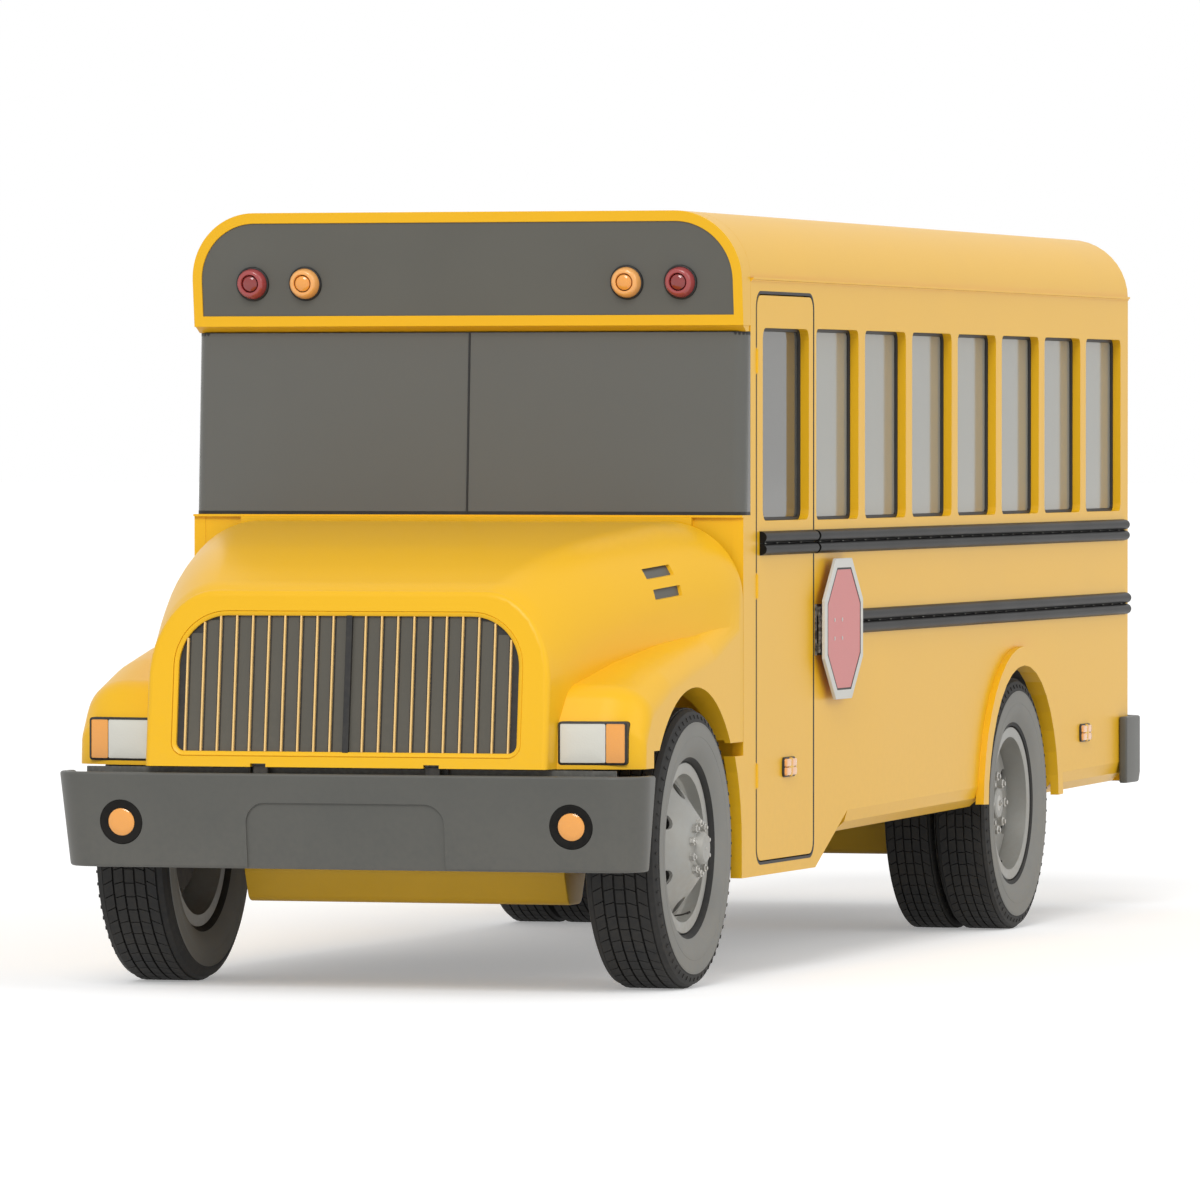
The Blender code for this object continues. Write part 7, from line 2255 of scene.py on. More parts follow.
@dataclass(frozen=True)
class Pad:
    """A stuffed pad's box, its corner radius, its cells, its greatest swell and how it is filled."""

    x: Flat
    y: Flat
    z: Flat
    corner: float
    voxel: float
    most: float
    room: float = 0.010
    inside: float = 0.0005
    frames: int = 20
    quality: int = 6
    pressure: float = 4.0

    def start(self) -> Mesh:
        """Makes the closed shape that the pad swells from, a little inside its box."""
        (x0, x1), (y0, y1), (z0, z1) = self.x, self.y, self.z
        gap, round_ = self.room, min(self.corner, (z1 - z0) / 2 - self.room - 0.004)
        levels = []
        for share in (1.0, 0.35, 0.0):
            inset = gap + round_ * share
            levels.append((inset, gap + round_ * (1.0 - share) * (0.55 if share else 1.0)))
        ups = [(a, z0 + b) for a, b in levels] + [(a, z1 - b) for a, b in reversed(levels)]
        return moulding(PLAN, [
            (block((x0 + a, x1 - a), (y0 + a, y1 - a), self.corner, 6), z) for a, z in ups
        ])

    def held(self, start: Vector, end: Vector, share: float) -> Vector:
        """Gives a point's place after a share of its move, kept inside the pad's box."""
        place = start.lerp(end, share)
        for axis, (low, high) in enumerate((self.x, self.y, self.z)):
            place[axis] = min(max(place[axis], low + self.inside), high - self.inside)
        return place

    def filled(self) -> Mesh:
        """Swells the pad with a cloth simulation and smooths it once.

        Returns:
            The finished mesh, crowned and inside its box.
        """
        even = evaluated(self.start(), self.remeshed)
        rest = [vert.co.copy() for vert in even.vertices]
        grown_to = self.simulated(even)
        farthest = max((b - a).length for a, b in zip(rest, grown_to))
        share = self.most / farthest if farthest > self.most else 1.0
        for vert, a, b in zip(even.vertices, rest, grown_to):
            vert.co = self.held(a, b, share)
        LOG.info("pad of %d points moved %.1f mm at most", len(rest), 1000 * min(farthest, self.most))
        return evaluated(even, subdivided)

    def remeshed(self, holder: bpy.types.Object) -> None:
        """Adds the voxel remesh that gives the cover even cells."""
        remesh = holder.modifiers.new("even", "REMESH")
        remesh.mode = "VOXEL"
        remesh.voxel_size = self.voxel

    def simulated(self, mesh: Mesh) -> list[Vector]:
        """Blows the cover up frame by frame and gives where its points end."""
        scene = bpy.context.scene
        holder = bpy.data.objects.new("cover", mesh.copy())
        scene.collection.objects.link(holder)
        cloth = holder.modifiers.new("cloth", "CLOTH")
        cloth.settings.quality = self.quality
        cloth.settings.use_pressure = True
        cloth.settings.uniform_pressure_force = self.pressure
        cloth.settings.effector_weights.gravity = 0.0
        cloth.point_cache.frame_start = 1
        cloth.point_cache.frame_end = self.frames
        for frame_number in range(1, self.frames + 1):
            scene.frame_set(frame_number)
        blown = holder.evaluated_get(bpy.context.evaluated_depsgraph_get()).data
        places = [vert.co.copy() for vert in blown.vertices]
        used = holder.data
        bpy.data.objects.remove(holder)
        bpy.data.meshes.remove(used)
        scene.frame_set(1)
        return places


def subdivided(holder: bpy.types.Object) -> None:
    """Adds one level of subdivision, the same in the view as in a render."""
    smooth = holder.modifiers.new("smooth", "SUBSURF")
    smooth.levels = smooth.render_levels = 1


def welt(mesh: Mesh, path: list[Point], radius: float) -> Mesh:
    """Lays a closed cord of piping on a pad along the points of its cover that are nearest to a path."""
    form = bmesh.new()
    form.from_mesh(mesh)
    cover = BVHTree.FromBMesh(form)
    form.free()
    points = [tuple(cover.find_nearest(Vector(point))[0]) for point in path]
    return tube(points + points[:2], radius, 6)


@dataclass
class Benches:
    """The two rows of padded bench seats on their steel frames."""

    inner: float = 0.230
    outer: float = 1.150
    wall: float = 1.1697
    depth: float = 0.400
    cushion_z: Flat = (1.345, 1.470)
    back_y: Flat = (0.343, 0.430)
    back_z: Flat = (1.400, 2.060)
    pitch: float = 0.760
    count: int = 6
    floor_z: float = 1.0605
    first: dict[str, float] = field(default_factory=lambda: {"left": 1.780, "right": 1.300})

    def frame_mesh(self, y: float) -> Mesh:
        """Makes one seat's steel frame, for the left row."""
        x, low, floor = self.inner + 0.080, self.cushion_z[0], self.floor_z
        leg = [
            (x, y + 0.075, floor), (x, y + 0.085, low - 0.050), (x, y + 0.105, low - 0.018),
            (x, y + 0.300, low - 0.018), (x, y + 0.325, low - 0.050), (x, y + 0.335, floor)
        ]
        pan = slab(
            PLAN, (self.inner + 0.012, self.outer - 0.010), (y + 0.012, y + self.depth - 0.060),
            (low - 0.006, low + 0.002), 0.025, 4
        )
        feet = [
            slab(PLAN, about(x, 0.024), about(y + d, 0.026), (floor, floor + 0.005), 0.010, 3)
            for d in (0.075, 0.335)
        ]
        bars = [
            tube([
                (self.inner + 0.030, y + d, low - 0.014), (self.wall - 0.004, y + d, low - 0.014)
            ], 0.0095, 10)
            for d in (0.090, 0.315)
        ]
        bends = [(0.0, 0.330, -0.010), (0.0, 0.352, 0.045), (0.0, 0.385, 0.110), (0.0, 0.388, 0.300)]
        sides = (self.inner + 0.060, self.outer - 0.060)
        uprights = [tube(beyond((a, y, low), bends), 0.011, 10) for a in sides]
        return joined(tube(leg, 0.0145, 12), pan, *feet, *bars, *uprights)

    def build(self, shop: Workshop) -> None:
        """Makes and places both rows. Each pad is filled once and copied."""
        x = (self.inner, self.outer)
        cushion = Pad(x, (0.0, self.back_y[0] - 0.004), self.cushion_z, 0.034, 0.020, 0.016).filled()
        back = Pad(x, self.back_y, self.back_z, 0.034, 0.021, 0.014).filled()
        border = block((self.inner + 0.010, self.outer - 0.010), (0.010, self.back_y[0] - 0.014), 0.05, 8)
        front = block(
            (self.inner + 0.008, self.outer - 0.008), (self.back_z[0] + 0.008, self.back_z[1] - 0.008),
            0.05, 8
        )
        cords = [welt(cushion, [(a, b, self.cushion_z[1] + 0.002) for a, b in border], 0.0042)]
        cords += [
            welt(back, [(a, y, b) for a, b in front], 0.0042)
            for y in (self.back_y[0] - 0.002, self.back_y[1] + 0.002)
        ]
        cord = joined(*cords)
        for side, first in self.first.items():
            turn = reflected if side == "right" else (lambda mesh: mesh)
            for i in range(self.count):
                for name, pad in (("cushion", cushion), ("back", back)):
                    piece = shop.place(
                        f"bench_{name}_{side}_{i + 1}", turn(shifted(pad.copy(), y=first + i * self.pitch)),
                        "seat_vinyl"
                    )
            step = (0.0, self.pitch, 0.0)
            seams = turn(shop.row(shifted(cord.copy(), y=first), "seat_vinyl", self.count, step))
            shop.place(f"bench_welts_{side}", seams, "seat_vinyl")
            x0, x1 = self.outer - 0.030, self.wall
            z0, z1 = self.cushion_z[0] - 0.034, self.cushion_z[0] - 0.004
            end = first + self.pitch * (self.count - 1) + self.depth
            rail = prism(FRONT, [(x0, z0), (x1, z0), (x1, z1), (x0, z1)], first, end)
            frames = joined(
                turn(shop.row(self.frame_mesh(first), "chassis_steel", self.count, step)), turn(rail)
            )
            shop.place(f"bench_frames_{side}", frames, "chassis_steel", replaces=(f"benches_{side}",))
        for mesh in (cushion, back, cord):
            bpy.data.meshes.remove(mesh)


@dataclass
class DriverPlace:
    """The driver's padded seat on its sprung base, the steering wheel and the dashboard's fittings."""

    x: float = 0.380
    half: float = 0.250
    seat_y: Flat = (1.000, 1.400)
    seat_z: Flat = (1.380, 1.500)
    back_y: Flat = (1.404, 1.508)
    back_z: Flat = (1.452, 1.975)
    rest_z: Flat = (2.010, 2.149)
    floor_z: float = 1.0605
    hub: Point = (0.380, 0.620, 1.700)
    tilt: float = 55.0
    radius: float = 0.215
    grip: float = 0.015
    dash_face: tuple[Flat, Flat] = ((0.400, 1.620), (0.360, 1.860))

    def seat(self, shop: Workshop) -> None:
        """Makes and places the seat's pads, piping, bellows and plates."""
        x0, x1 = self.x - self.half, self.x + self.half
        pads = {
            "cushion": Pad((x0, x1), self.seat_y, self.seat_z, 0.05, 0.014, 0.018),
            "back": Pad((x0 + 0.012, x1 - 0.012), self.back_y, self.back_z, 0.045, 0.014, 0.018),
            "headrest": Pad(
                about(self.x, 0.130), (self.back_y[0] + 0.006, self.back_y[1]), self.rest_z, 0.045, 0.011,
                0.012
            )
        }
        cords = []
        for name, pad in pads.items():
            mesh = pad.filled()
            upright = name != "cushion"
            (a0, a1), (b0, b1) = pad.x, (pad.z if upright else pad.y)
            border = block((a0 + 0.012, a1 - 0.012), (b0 + 0.012, b1 - 0.012), 0.06, 8)
            cords.append(
                welt(mesh, [
                    (a, pad.y[0] - 0.002, b) if upright else (a, b, pad.z[1] + 0.002) for a, b in border
                ], 0.0038)
            )
            shop.place(f"driver_seat_{name}", mesh, "seat_vinyl")
        shop.place("driver_seat_welts", joined(*cords), "seat_vinyl")
        middle, low = (self.x, self.seat_y[0] + 0.200), self.seat_z[0]
        folds = [(self.floor_z + 0.012, 0.0)] + [
            (self.floor_z + 0.012 + 0.0235 * i, 0.150 - (0.022 if i % 2 else 0.0)) for i in range(12)
        ]
        bellows = lathe(PLAN, middle, folds + [(self.floor_z + 0.012 + 0.0235 * 11, 0.0)], 32)
        shop.place("driver_seat_bellows", bellows, "floor_rubber")
        plates = [
            slab(PLAN, about(self.x, 0.180), (middle[1] - 0.180, middle[1] + 0.170), (z0, z1), 0.020, 4)
            for z0, z1 in ((self.floor_z, self.floor_z + 0.012), (low - 0.049, low - 0.030))
        ]
        pan = slab(
            PLAN, (x0 + 0.020, x1 - 0.020), (self.seat_y[0] + 0.020, self.back_y[1] - 0.020),
            (low - 0.030, low - 0.002), 0.040, 5
        )
        rods = [
            tube([
                (a, self.back_y[1] - 0.040, self.back_z[1] - 0.060),
                (a, self.back_y[1] - 0.040, self.rest_z[0] + 0.030)
            ], 0.0055, 10)
            for a in about(self.x, 0.060)
        ]
        spine = slab(
            SIDE, (self.back_y[1] - 0.036, self.back_y[1] - 0.014), (low - 0.010, self.back_z[0] + 0.120),
            about(self.x, 0.150), 0.006, 3
        )
        bends = [(0.030, 0.120, -0.020), (0.004, 0.100, -0.022), (0.001, 0.020, -0.018)]
        lever = tube(beyond((x0, self.seat_y[0], low), bends), 0.006, 8)
        shop.place(
            "driver_seat_base", joined(*plates, pan, *rods, spine, lever), "chassis_steel",
            replaces=("driver_seat",)
        )

    def column(self, mesh: Mesh) -> Mesh:
        """Puts a shape made about the origin on the steering column."""
        mesh.transform(Matrix.Translation(self.hub) @ Matrix.Rotation(math.radians(-self.tilt), 4, "X"))
        return mesh

    def wheel(self, shop: Workshop) -> None:
        """Makes and places the steering wheel: a grip with finger ridges, three spokes and the horn pad."""
        ring = lathe(PLAN, (0.0, 0.0), [
            (self.grip * math.sin(t), self.radius + self.grip * math.cos(t))
            for t in (math.pi * k / 8 for k in range(16))
        ], 96)
        ridge = lathe(SIDE, (0.0, 0.0), [
            (-0.003, self.grip * 0.9), (0.0, self.grip * 1.0), (0.003, self.grip * 0.9),
            (0.0, self.grip * 0.86)
        ], 12)
        ridges = shop.ring(
            shifted(ridge, y=self.radius), "dash_plastic", 60, (0.0, 0.0, 0.0), (0.0, 0.0, 1.0)
        )
        hub = lathe(PLAN, (0.0, 0.0), [
            (0.020, 0.0), (0.019, 0.020), (0.015, 0.036), (0.008, 0.045), (-0.012, 0.044), (-0.012, 0.0)
        ], 40)
        spokes = []
        for i in range(3):
            outline = [
                (-0.019, 0.030), (-0.013, 0.110), (-0.012, self.radius - 0.004),
                (0.012, self.radius - 0.004), (0.013, 0.110), (0.019, 0.030)
            ]
            spoke = bevelled(prism(PLAN, outline, -0.006, 0.006), 0.003, 3, 40.0)
            spoke.transform(Matrix.Rotation(2 * math.pi * i / 3 + math.pi / 3, 4, "Z"))
            spokes.append(spoke)
        shop.place(
            "steering_wheel_ring", self.column(joined(ring, ridges, hub, *spokes)), "dash_plastic",
            "steering_wheel", replaces=("steering_wheel",)
        )

    def on_dash(self, mesh: Mesh) -> Mesh:
        """Leans a shape made on an upright face, with Z from its lower edge, onto the dashboard."""
        (y0, z0), (y1, z1) = self.dash_face
        lean = math.atan2(y0 - y1, z1 - z0)
        mesh.transform(Matrix.Translation((0.0, y0, z0)) @ Matrix.Rotation(lean, 4, "X"))
        return mesh

    def dash(self, shop: Workshop) -> None:
        """Makes and places the gauges, the switches and the air vents."""
        rows = ((0.075, 0.125, 0.052), (0.165, 0.140, 0.026), (0.165, 0.082, 0.026))
        bezels, faces, marks = [], [], []
        for x, z, radius in [(x, z, radius) for out, z, radius in rows for x in about(self.x, out)]:
            bezels.append(
                lathe(FRONT, (x, z), [
                    (-0.004, radius + 0.004), (0.006, radius + 0.004), (0.009, radius),
                    (0.006, radius - 0.004), (-0.004, radius - 0.004)
                ], 40)
            )
            faces.append(drum(FRONT, (x, z), radius - 0.0035, (0.0032, -0.004), 40))
            mark = prism(
                FRONT,
                around((x, z + radius), [
                    (-0.0008, -0.014), (0.0008, -0.014), (0.0008, -0.006), (-0.0008, -0.006)
                ]),
                0.002, 0.0040
            )
            marks.append(shop.ring(mark, "sign_white", 24, (x, 0.0, z), (0.0, 1.0, 0.0)))
            tip = [(radius * 0.35, radius * 0.62), (radius * 0.33, radius * 0.63)]
            marks.append(
                prism(FRONT, around((x, z), [(-0.0016, -0.008), (0.0016, -0.008), *tip]), 0.0040, 0.0052)
            )
        shop.place("gauge_bezels", self.on_dash(joined(*bezels)), "nut_steel")
        shop.place("gauge_faces", self.on_dash(joined(*faces)), "black_trim")
        shop.place("gauge_marks", self.on_dash(joined(*marks)), "sign_white")
        switch = moulding(FRONT, [
            (block((-0.300, -0.276), (0.070, 0.106), 0.003, 2), -0.002, 0.006),
            (block((-0.297, -0.279), (0.075, 0.101), 0.003, 2), 0.009)
        ])
        shop.place(
            "dash_switches", self.on_dash(shop.row(switch, "black_trim", 10, (0.034, 0.0, 0.0))),
            "black_trim"
        )
        blade = moulding(FRONT, [(block((0.640, 0.840), (0.080, 0.084), 0.001, 1), -0.002, 0.008)])
        blades = shop.row(blade, "black_trim", 8, (0.0, 0.0, 0.0105))
        rim = moulding(FRONT, [
            (block((0.630, 0.850), (0.070, 0.168), 0.010, 4), -0.002, 0.010),
            (block((0.637, 0.843), (0.077, 0.161), 0.008, 4), 0.010, -0.002)
        ], closed=True)
        vent = joined(blades, rim)
        shop.place("dash_vents", self.on_dash(joined(vent.copy(), shifted(vent, x=-1.150))), "black_trim")
        boot = lathe(PLAN, (0.0, 0.0), [
            (-0.030, 0.0), (-0.030, 0.038), (-0.060, 0.052), (-0.250, 0.056), (-0.300, 0.044), (-0.300, 0.0)
        ], 28)
        shop.place("steering_column_shroud", self.column(boot), "dash_plastic")

    def build(self, shop: Workshop) -> None:
        """Makes and places the driver's place."""
        self.seat(shop)
        self.wheel(shop)
        self.dash(shop)


@dataclass
class Flooring:
    """The ribbed rubber runner along the aisle."""

    floor_z: float = 1.0605
    half: float = 0.200
    y: Flat = (1.080, 6.560)

    def build(self, shop: Workshop) -> None:
        """Makes and places the runner."""
        base = slab(PLAN, (-self.half, self.half), self.y, (self.floor_z, self.floor_z + 0.002), 0.01, 3)
        outline = around((-self.half, self.floor_z), [
            (0.008, 0.0015), (0.020, 0.0015), (0.018, 0.005), (0.010, 0.005)
        ])
        rib = prism(FRONT, outline, self.y[0] + 0.01, self.y[1] - 0.01)
        ribs = shop.row(rib, "floor_rubber", 19, (0.0205, 0.0, 0.0))
        shop.place("aisle_runner", joined(base, ribs), "floor_rubber")


# ----------------------------------------------------------------------------------- underbody


@dataclass
class LeafPack:
    """One pack of tapered spring leaves under a frame rail, with its clamp bolts and hanger plates."""

    y: float
    reach: float
    top: float
    under: float
    clamp: float
    rail_low: float = 0.7195
    x: Flat = (0.356, 0.424)
    leaves: int = 5
    thick: float = 0.0110

    def leaf(self, i: int) -> Mesh:
        """Makes one leaf, shorter the lower it lies."""
        reach = self.reach * (1.0 - 0.19 * i)
        sag = self.rail_low - self.top
        shares = [-1 + k / 8 for k in range(17)]
        upper = [
            (
                self.y + reach * t,
                self.rail_low - sag * (1 - (t * reach / self.reach) ** 2) - i * (self.thick + 0.0006)
            )
            for t in shares
        ]
        lower = [(y, z - self.thick * (0.5 if k in (0, 16) else 1.0)) for k, (y, z) in enumerate(upper)]
        return prism(SIDE, upper + lower[::-1], *self.x)

    def metal(self, shop: Workshop) -> Mesh:
        """Makes the leaves, the clamp bolts and the hanger plates on the left side."""
        x0, x1 = self.x[0] - 0.0085, self.x[1] + 0.0085
        parts = [self.leaf(i) for i in range(self.leaves)]
        for low, high in ((self.top - 0.001, self.top + 0.010), (self.under - 0.012, self.under)):
            parts.append(
                slab(
                    PLAN, (x0 - 0.012, x1 + 0.012),
                    (self.y - self.clamp - 0.018, self.y + self.clamp + 0.018), (low, high), 0.006, 3
                )
            )
        low, bend, high = self.under - 0.026, self.top + 0.010, self.top + 0.017
        turns = ((x0, low), (x0, bend), (x0 + 0.012, high), (x1 - 0.012, high), (x1, bend), (x1, low))
        bow = tube([(x, self.y - self.clamp, z) for x, z in turns], 0.0065, 8)
        parts.append(shop.row(bow, "chassis_steel", 2, (0.0, 2 * self.clamp, 0.0)))
        end = self.y - self.reach
        outline = [(end - 0.045, 0.726), (end + 0.060, 0.726), (end + 0.045, 0.810), (end - 0.030, 0.810)]
        hanger = prism(SIDE, outline, 0.4305, 0.4375)
        parts.append(shop.row(hanger, "chassis_steel", 2, (0.0, 2 * self.reach - 0.015, 0.0)))
        return joined(*parts)

    def nuts(self, shop: Workshop) -> Mesh:
        """Makes the hanger plates' bolts and the clamp bolts' nuts on the left side."""
        bolt = hex_nut(SIDE, (self.y - self.reach - 0.012, 0.745), 0.4370, 0.020, 0.009)
        four = shop.grid(bolt, "nut_steel", (2, (0.0, 0.040, 0.0)), (2, (0.0, 0.0, 0.042)))
        nut = reflected(
            hex_nut(PLAN, (-self.x[0] + 0.0085, self.y - self.clamp), -self.under + 0.012, 0.022, 0.010)
        )
        for vert in nut.vertices:
            vert.co.z = -vert.co.z
        nut.flip_normals()
        low = shop.grid(
            nut, "nut_steel", (2, (self.x[1] - self.x[0] + 0.017, 0.0, 0.0)),
            (2, (0.0, 2 * self.clamp, 0.0))
        )
        return joined(shop.row(four, "nut_steel", 2, (0.0, 2 * self.reach - 0.015, 0.0)), low)


@dataclass
class Axles:
    """The front beam, the driven rear axle with its shaft, their springs and dampers."""

    front_y: float = -0.706
    rear_y: float = 4.553
    wheel_z: float = 0.581
    beam_low: float = 0.341
    beam_top: float = 0.560
    beam_half: float = 0.700
    kingpin_x: float = 0.950
    boss: Flat = (0.050, 0.055)
    seat_x: Flat = (0.345, 0.435)
    seat_drop: float = 0.056
    shaft_z: float = 0.611
    shaft_front_y: float = 0.6205
    tube: Flat = (0.075, 0.735)
    front_pack: LeafPack = field(default_factory=lambda: LeafPack(-0.706, 0.580, 0.655, 0.540, 0.046))
    rear_pack: LeafPack = field(default_factory=lambda: LeafPack(4.553, 0.720, 0.660, 0.500, 0.086))

    def beam(self, y: float) -> Mesh:
        """Makes the deep yellow beam that crosses under the bus at an axle."""
        low, top = self.beam_low, self.beam_top
        waist = low + 0.150
        outline = rounded([
            (y - 0.160, waist, 0.06), (y - 0.090, low, 0.05), (y + 0.090, low, 0.05),
            (y + 0.160, waist, 0.06), (y + 0.100, top, 0.03), (y - 0.100, top, 0.03)
        ], 12)
        return bevelled(prism(SIDE, outline, -self.beam_half, self.beam_half), 0.006, 3, 60.0)

    def front(self) -> Mesh:
        """Makes the front beam with its ends, bosses and spring seats."""
        y, top = self.front_y, self.beam_top
        end = slab(
            SIDE, about(y, 0.045), (0.535, 0.600), (self.beam_half - 0.020, self.kingpin_x), 0.010, 4
        )
        radius, half = self.boss
        profile = both_ends(-half, half, [(0.0, 0.0), (0.0, radius - 0.004), (0.006, radius)])
        boss = lathe(PLAN, (self.kingpin_x, y), profile, 40, self.wheel_z)
        seat = slab(
            PLAN, self.seat_x, about(y, 0.062), (top - 0.030, self.front_pack.top - self.seat_drop), 0.008,
            3
        )
        return joined(self.beam(y), both_sides(end, boss, seat))

    def rear(self) -> Mesh:
        """Makes the rear axle's tube, its housing, pinion, hubs and spring seats."""
        y, z = self.rear_y, self.wheel_z
        radius, half = self.tube
        bulge = [
            (0.300, radius + 0.001), (0.215, 0.090), (0.160, 0.125), (0.125, 0.170), (0.108, 0.205),
            (0.090, 0.222)
        ]
        left = [(-half, 0.0), (-half, radius), *[(-x, r) for x, r in bulge], (-0.060, 0.236)]
        right = [(0.060, 0.230), *[(x, r - 0.012) for x, r in reversed(bulge)], (half, radius), (half, 0.0)]
        housing = lathe(SIDE, (y, z), left + right, 56)
        pinion = lathe(FRONT, (0.0, self.shaft_z), [
            (-0.100, 0.0), (-0.100, 0.105), (-0.230, 0.082), (-0.300, 0.070), (-0.380, 0.068),
            (-0.386, 0.062), (-0.420, 0.056), (-0.420, 0.0)
        ], 40, y)
        hub = lathe(SIDE, (y, z), [
            (0.700, 0.0), (0.700, 0.100), (0.935, 0.100), (0.940, 0.096), (0.9595, 0.096), (0.9595, 0.0)
        ], 40)
        seat = slab(
            PLAN, self.seat_x, about(y, 0.070), (0.520, self.rear_pack.top - self.seat_drop), 0.008, 3
        )
        return joined(self.beam(y), housing, pinion, both_sides(hub, seat))

    def drum(self) -> Mesh:
        """Makes a rear brake drum with its cooling ribs."""
        ribs = [(0.735, 0.0), (0.735, 0.196), (0.742, 0.204)]
        for k in range(5):
            x = 0.752 + 0.030 * k
            ribs += [(x, 0.204), (x + 0.002, 0.210), (x + 0.010, 0.210), (x + 0.012, 0.204)]
        return lathe(
            SIDE, (self.rear_y, self.wheel_z), ribs + [(0.898, 0.204), (0.905, 0.194), (0.905, 0.0)], 56
        )

    def shaft(self, shop: Workshop) -> Mesh:
        """Makes the drive shaft with its welded collars, yokes and joint cross."""
        front, rear = self.shaft_front_y, self.rear_y - 0.415
        yoke = [
            (0.0, 0.0), (0.0, 0.052), (0.020, 0.052), (0.024, 0.034), (0.070, 0.034), (0.090, 0.045),
            (0.110, 0.047), (0.114, 0.045)
        ]
        profile = both_ends(front, rear, yoke)
        cap = drum(SIDE, (front + 0.047, self.shaft_z), 0.016, (-0.046, 0.046), 20)
        caps = shop.row(cap, "chassis_steel", 2, (0.0, rear - front - 0.094, 0.0))
        return joined(lathe(FRONT, (0.0, self.shaft_z), profile, 32), caps)

    def damper(self, y: float, lean: float) -> Mesh:
        """Makes a damper between the left rail and an axle."""
        foot, head = Vector((0.500, y, 0.560)), Vector((0.462, y + lean, 0.880))
        along = (head - foot).normalized()
        middle = foot + along * 0.150
        parts = [
            tube([tuple(foot), tuple(middle)], 0.026, 18),
            tube([tuple(middle - along * 0.010), tuple(head)], 0.034, 18)
        ]
        for centre in (foot, head):
            parts.append(
                tube([(0.430, centre.y, centre.z), (centre.x + 0.030, centre.y, centre.z)], 0.013, 12)
            )
        return joined(*parts)

    def build(self, shop: Workshop) -> None:
        """Makes and places both axles."""
        shop.place("front_axle_beam", self.front(), "yellow_axle", replaces=("front_axle",))
        shop.place("rear_axle_housing", self.rear(), "yellow_axle", replaces=("rear_axle",))
        shop.place("rear_brake_drums", both_sides(self.drum()), "cast_iron")
        shop.place("drive_shaft", self.shaft(shop), "chassis_steel")
        cover = hex_nut(SIDE, (self.rear_y, self.wheel_z + 0.212), 0.0, 0.018, 0.008)
        cover.transform(Matrix.Translation((0.088, 0.0, 0.0)))
        ring = shop.ring(cover, "nut_steel", 14, (0.0, self.rear_y, self.wheel_z), (1.0, 0.0, 0.0))
        nuts = [both_sides(pack.nuts(shop)) for pack in (self.front_pack, self.rear_pack)]
        shop.place("axle_bolts", joined(ring, *nuts), "nut_steel")
        packs = [both_sides(pack.metal(shop)) for pack in (self.front_pack, self.rear_pack)]
        dampers = both_sides(
            self.damper(self.front_y + 0.130, 0.060), self.damper(self.rear_y - 0.150, -0.120)
        )
        shop.place("leaf_springs", joined(*packs, dampers), "chassis_steel")


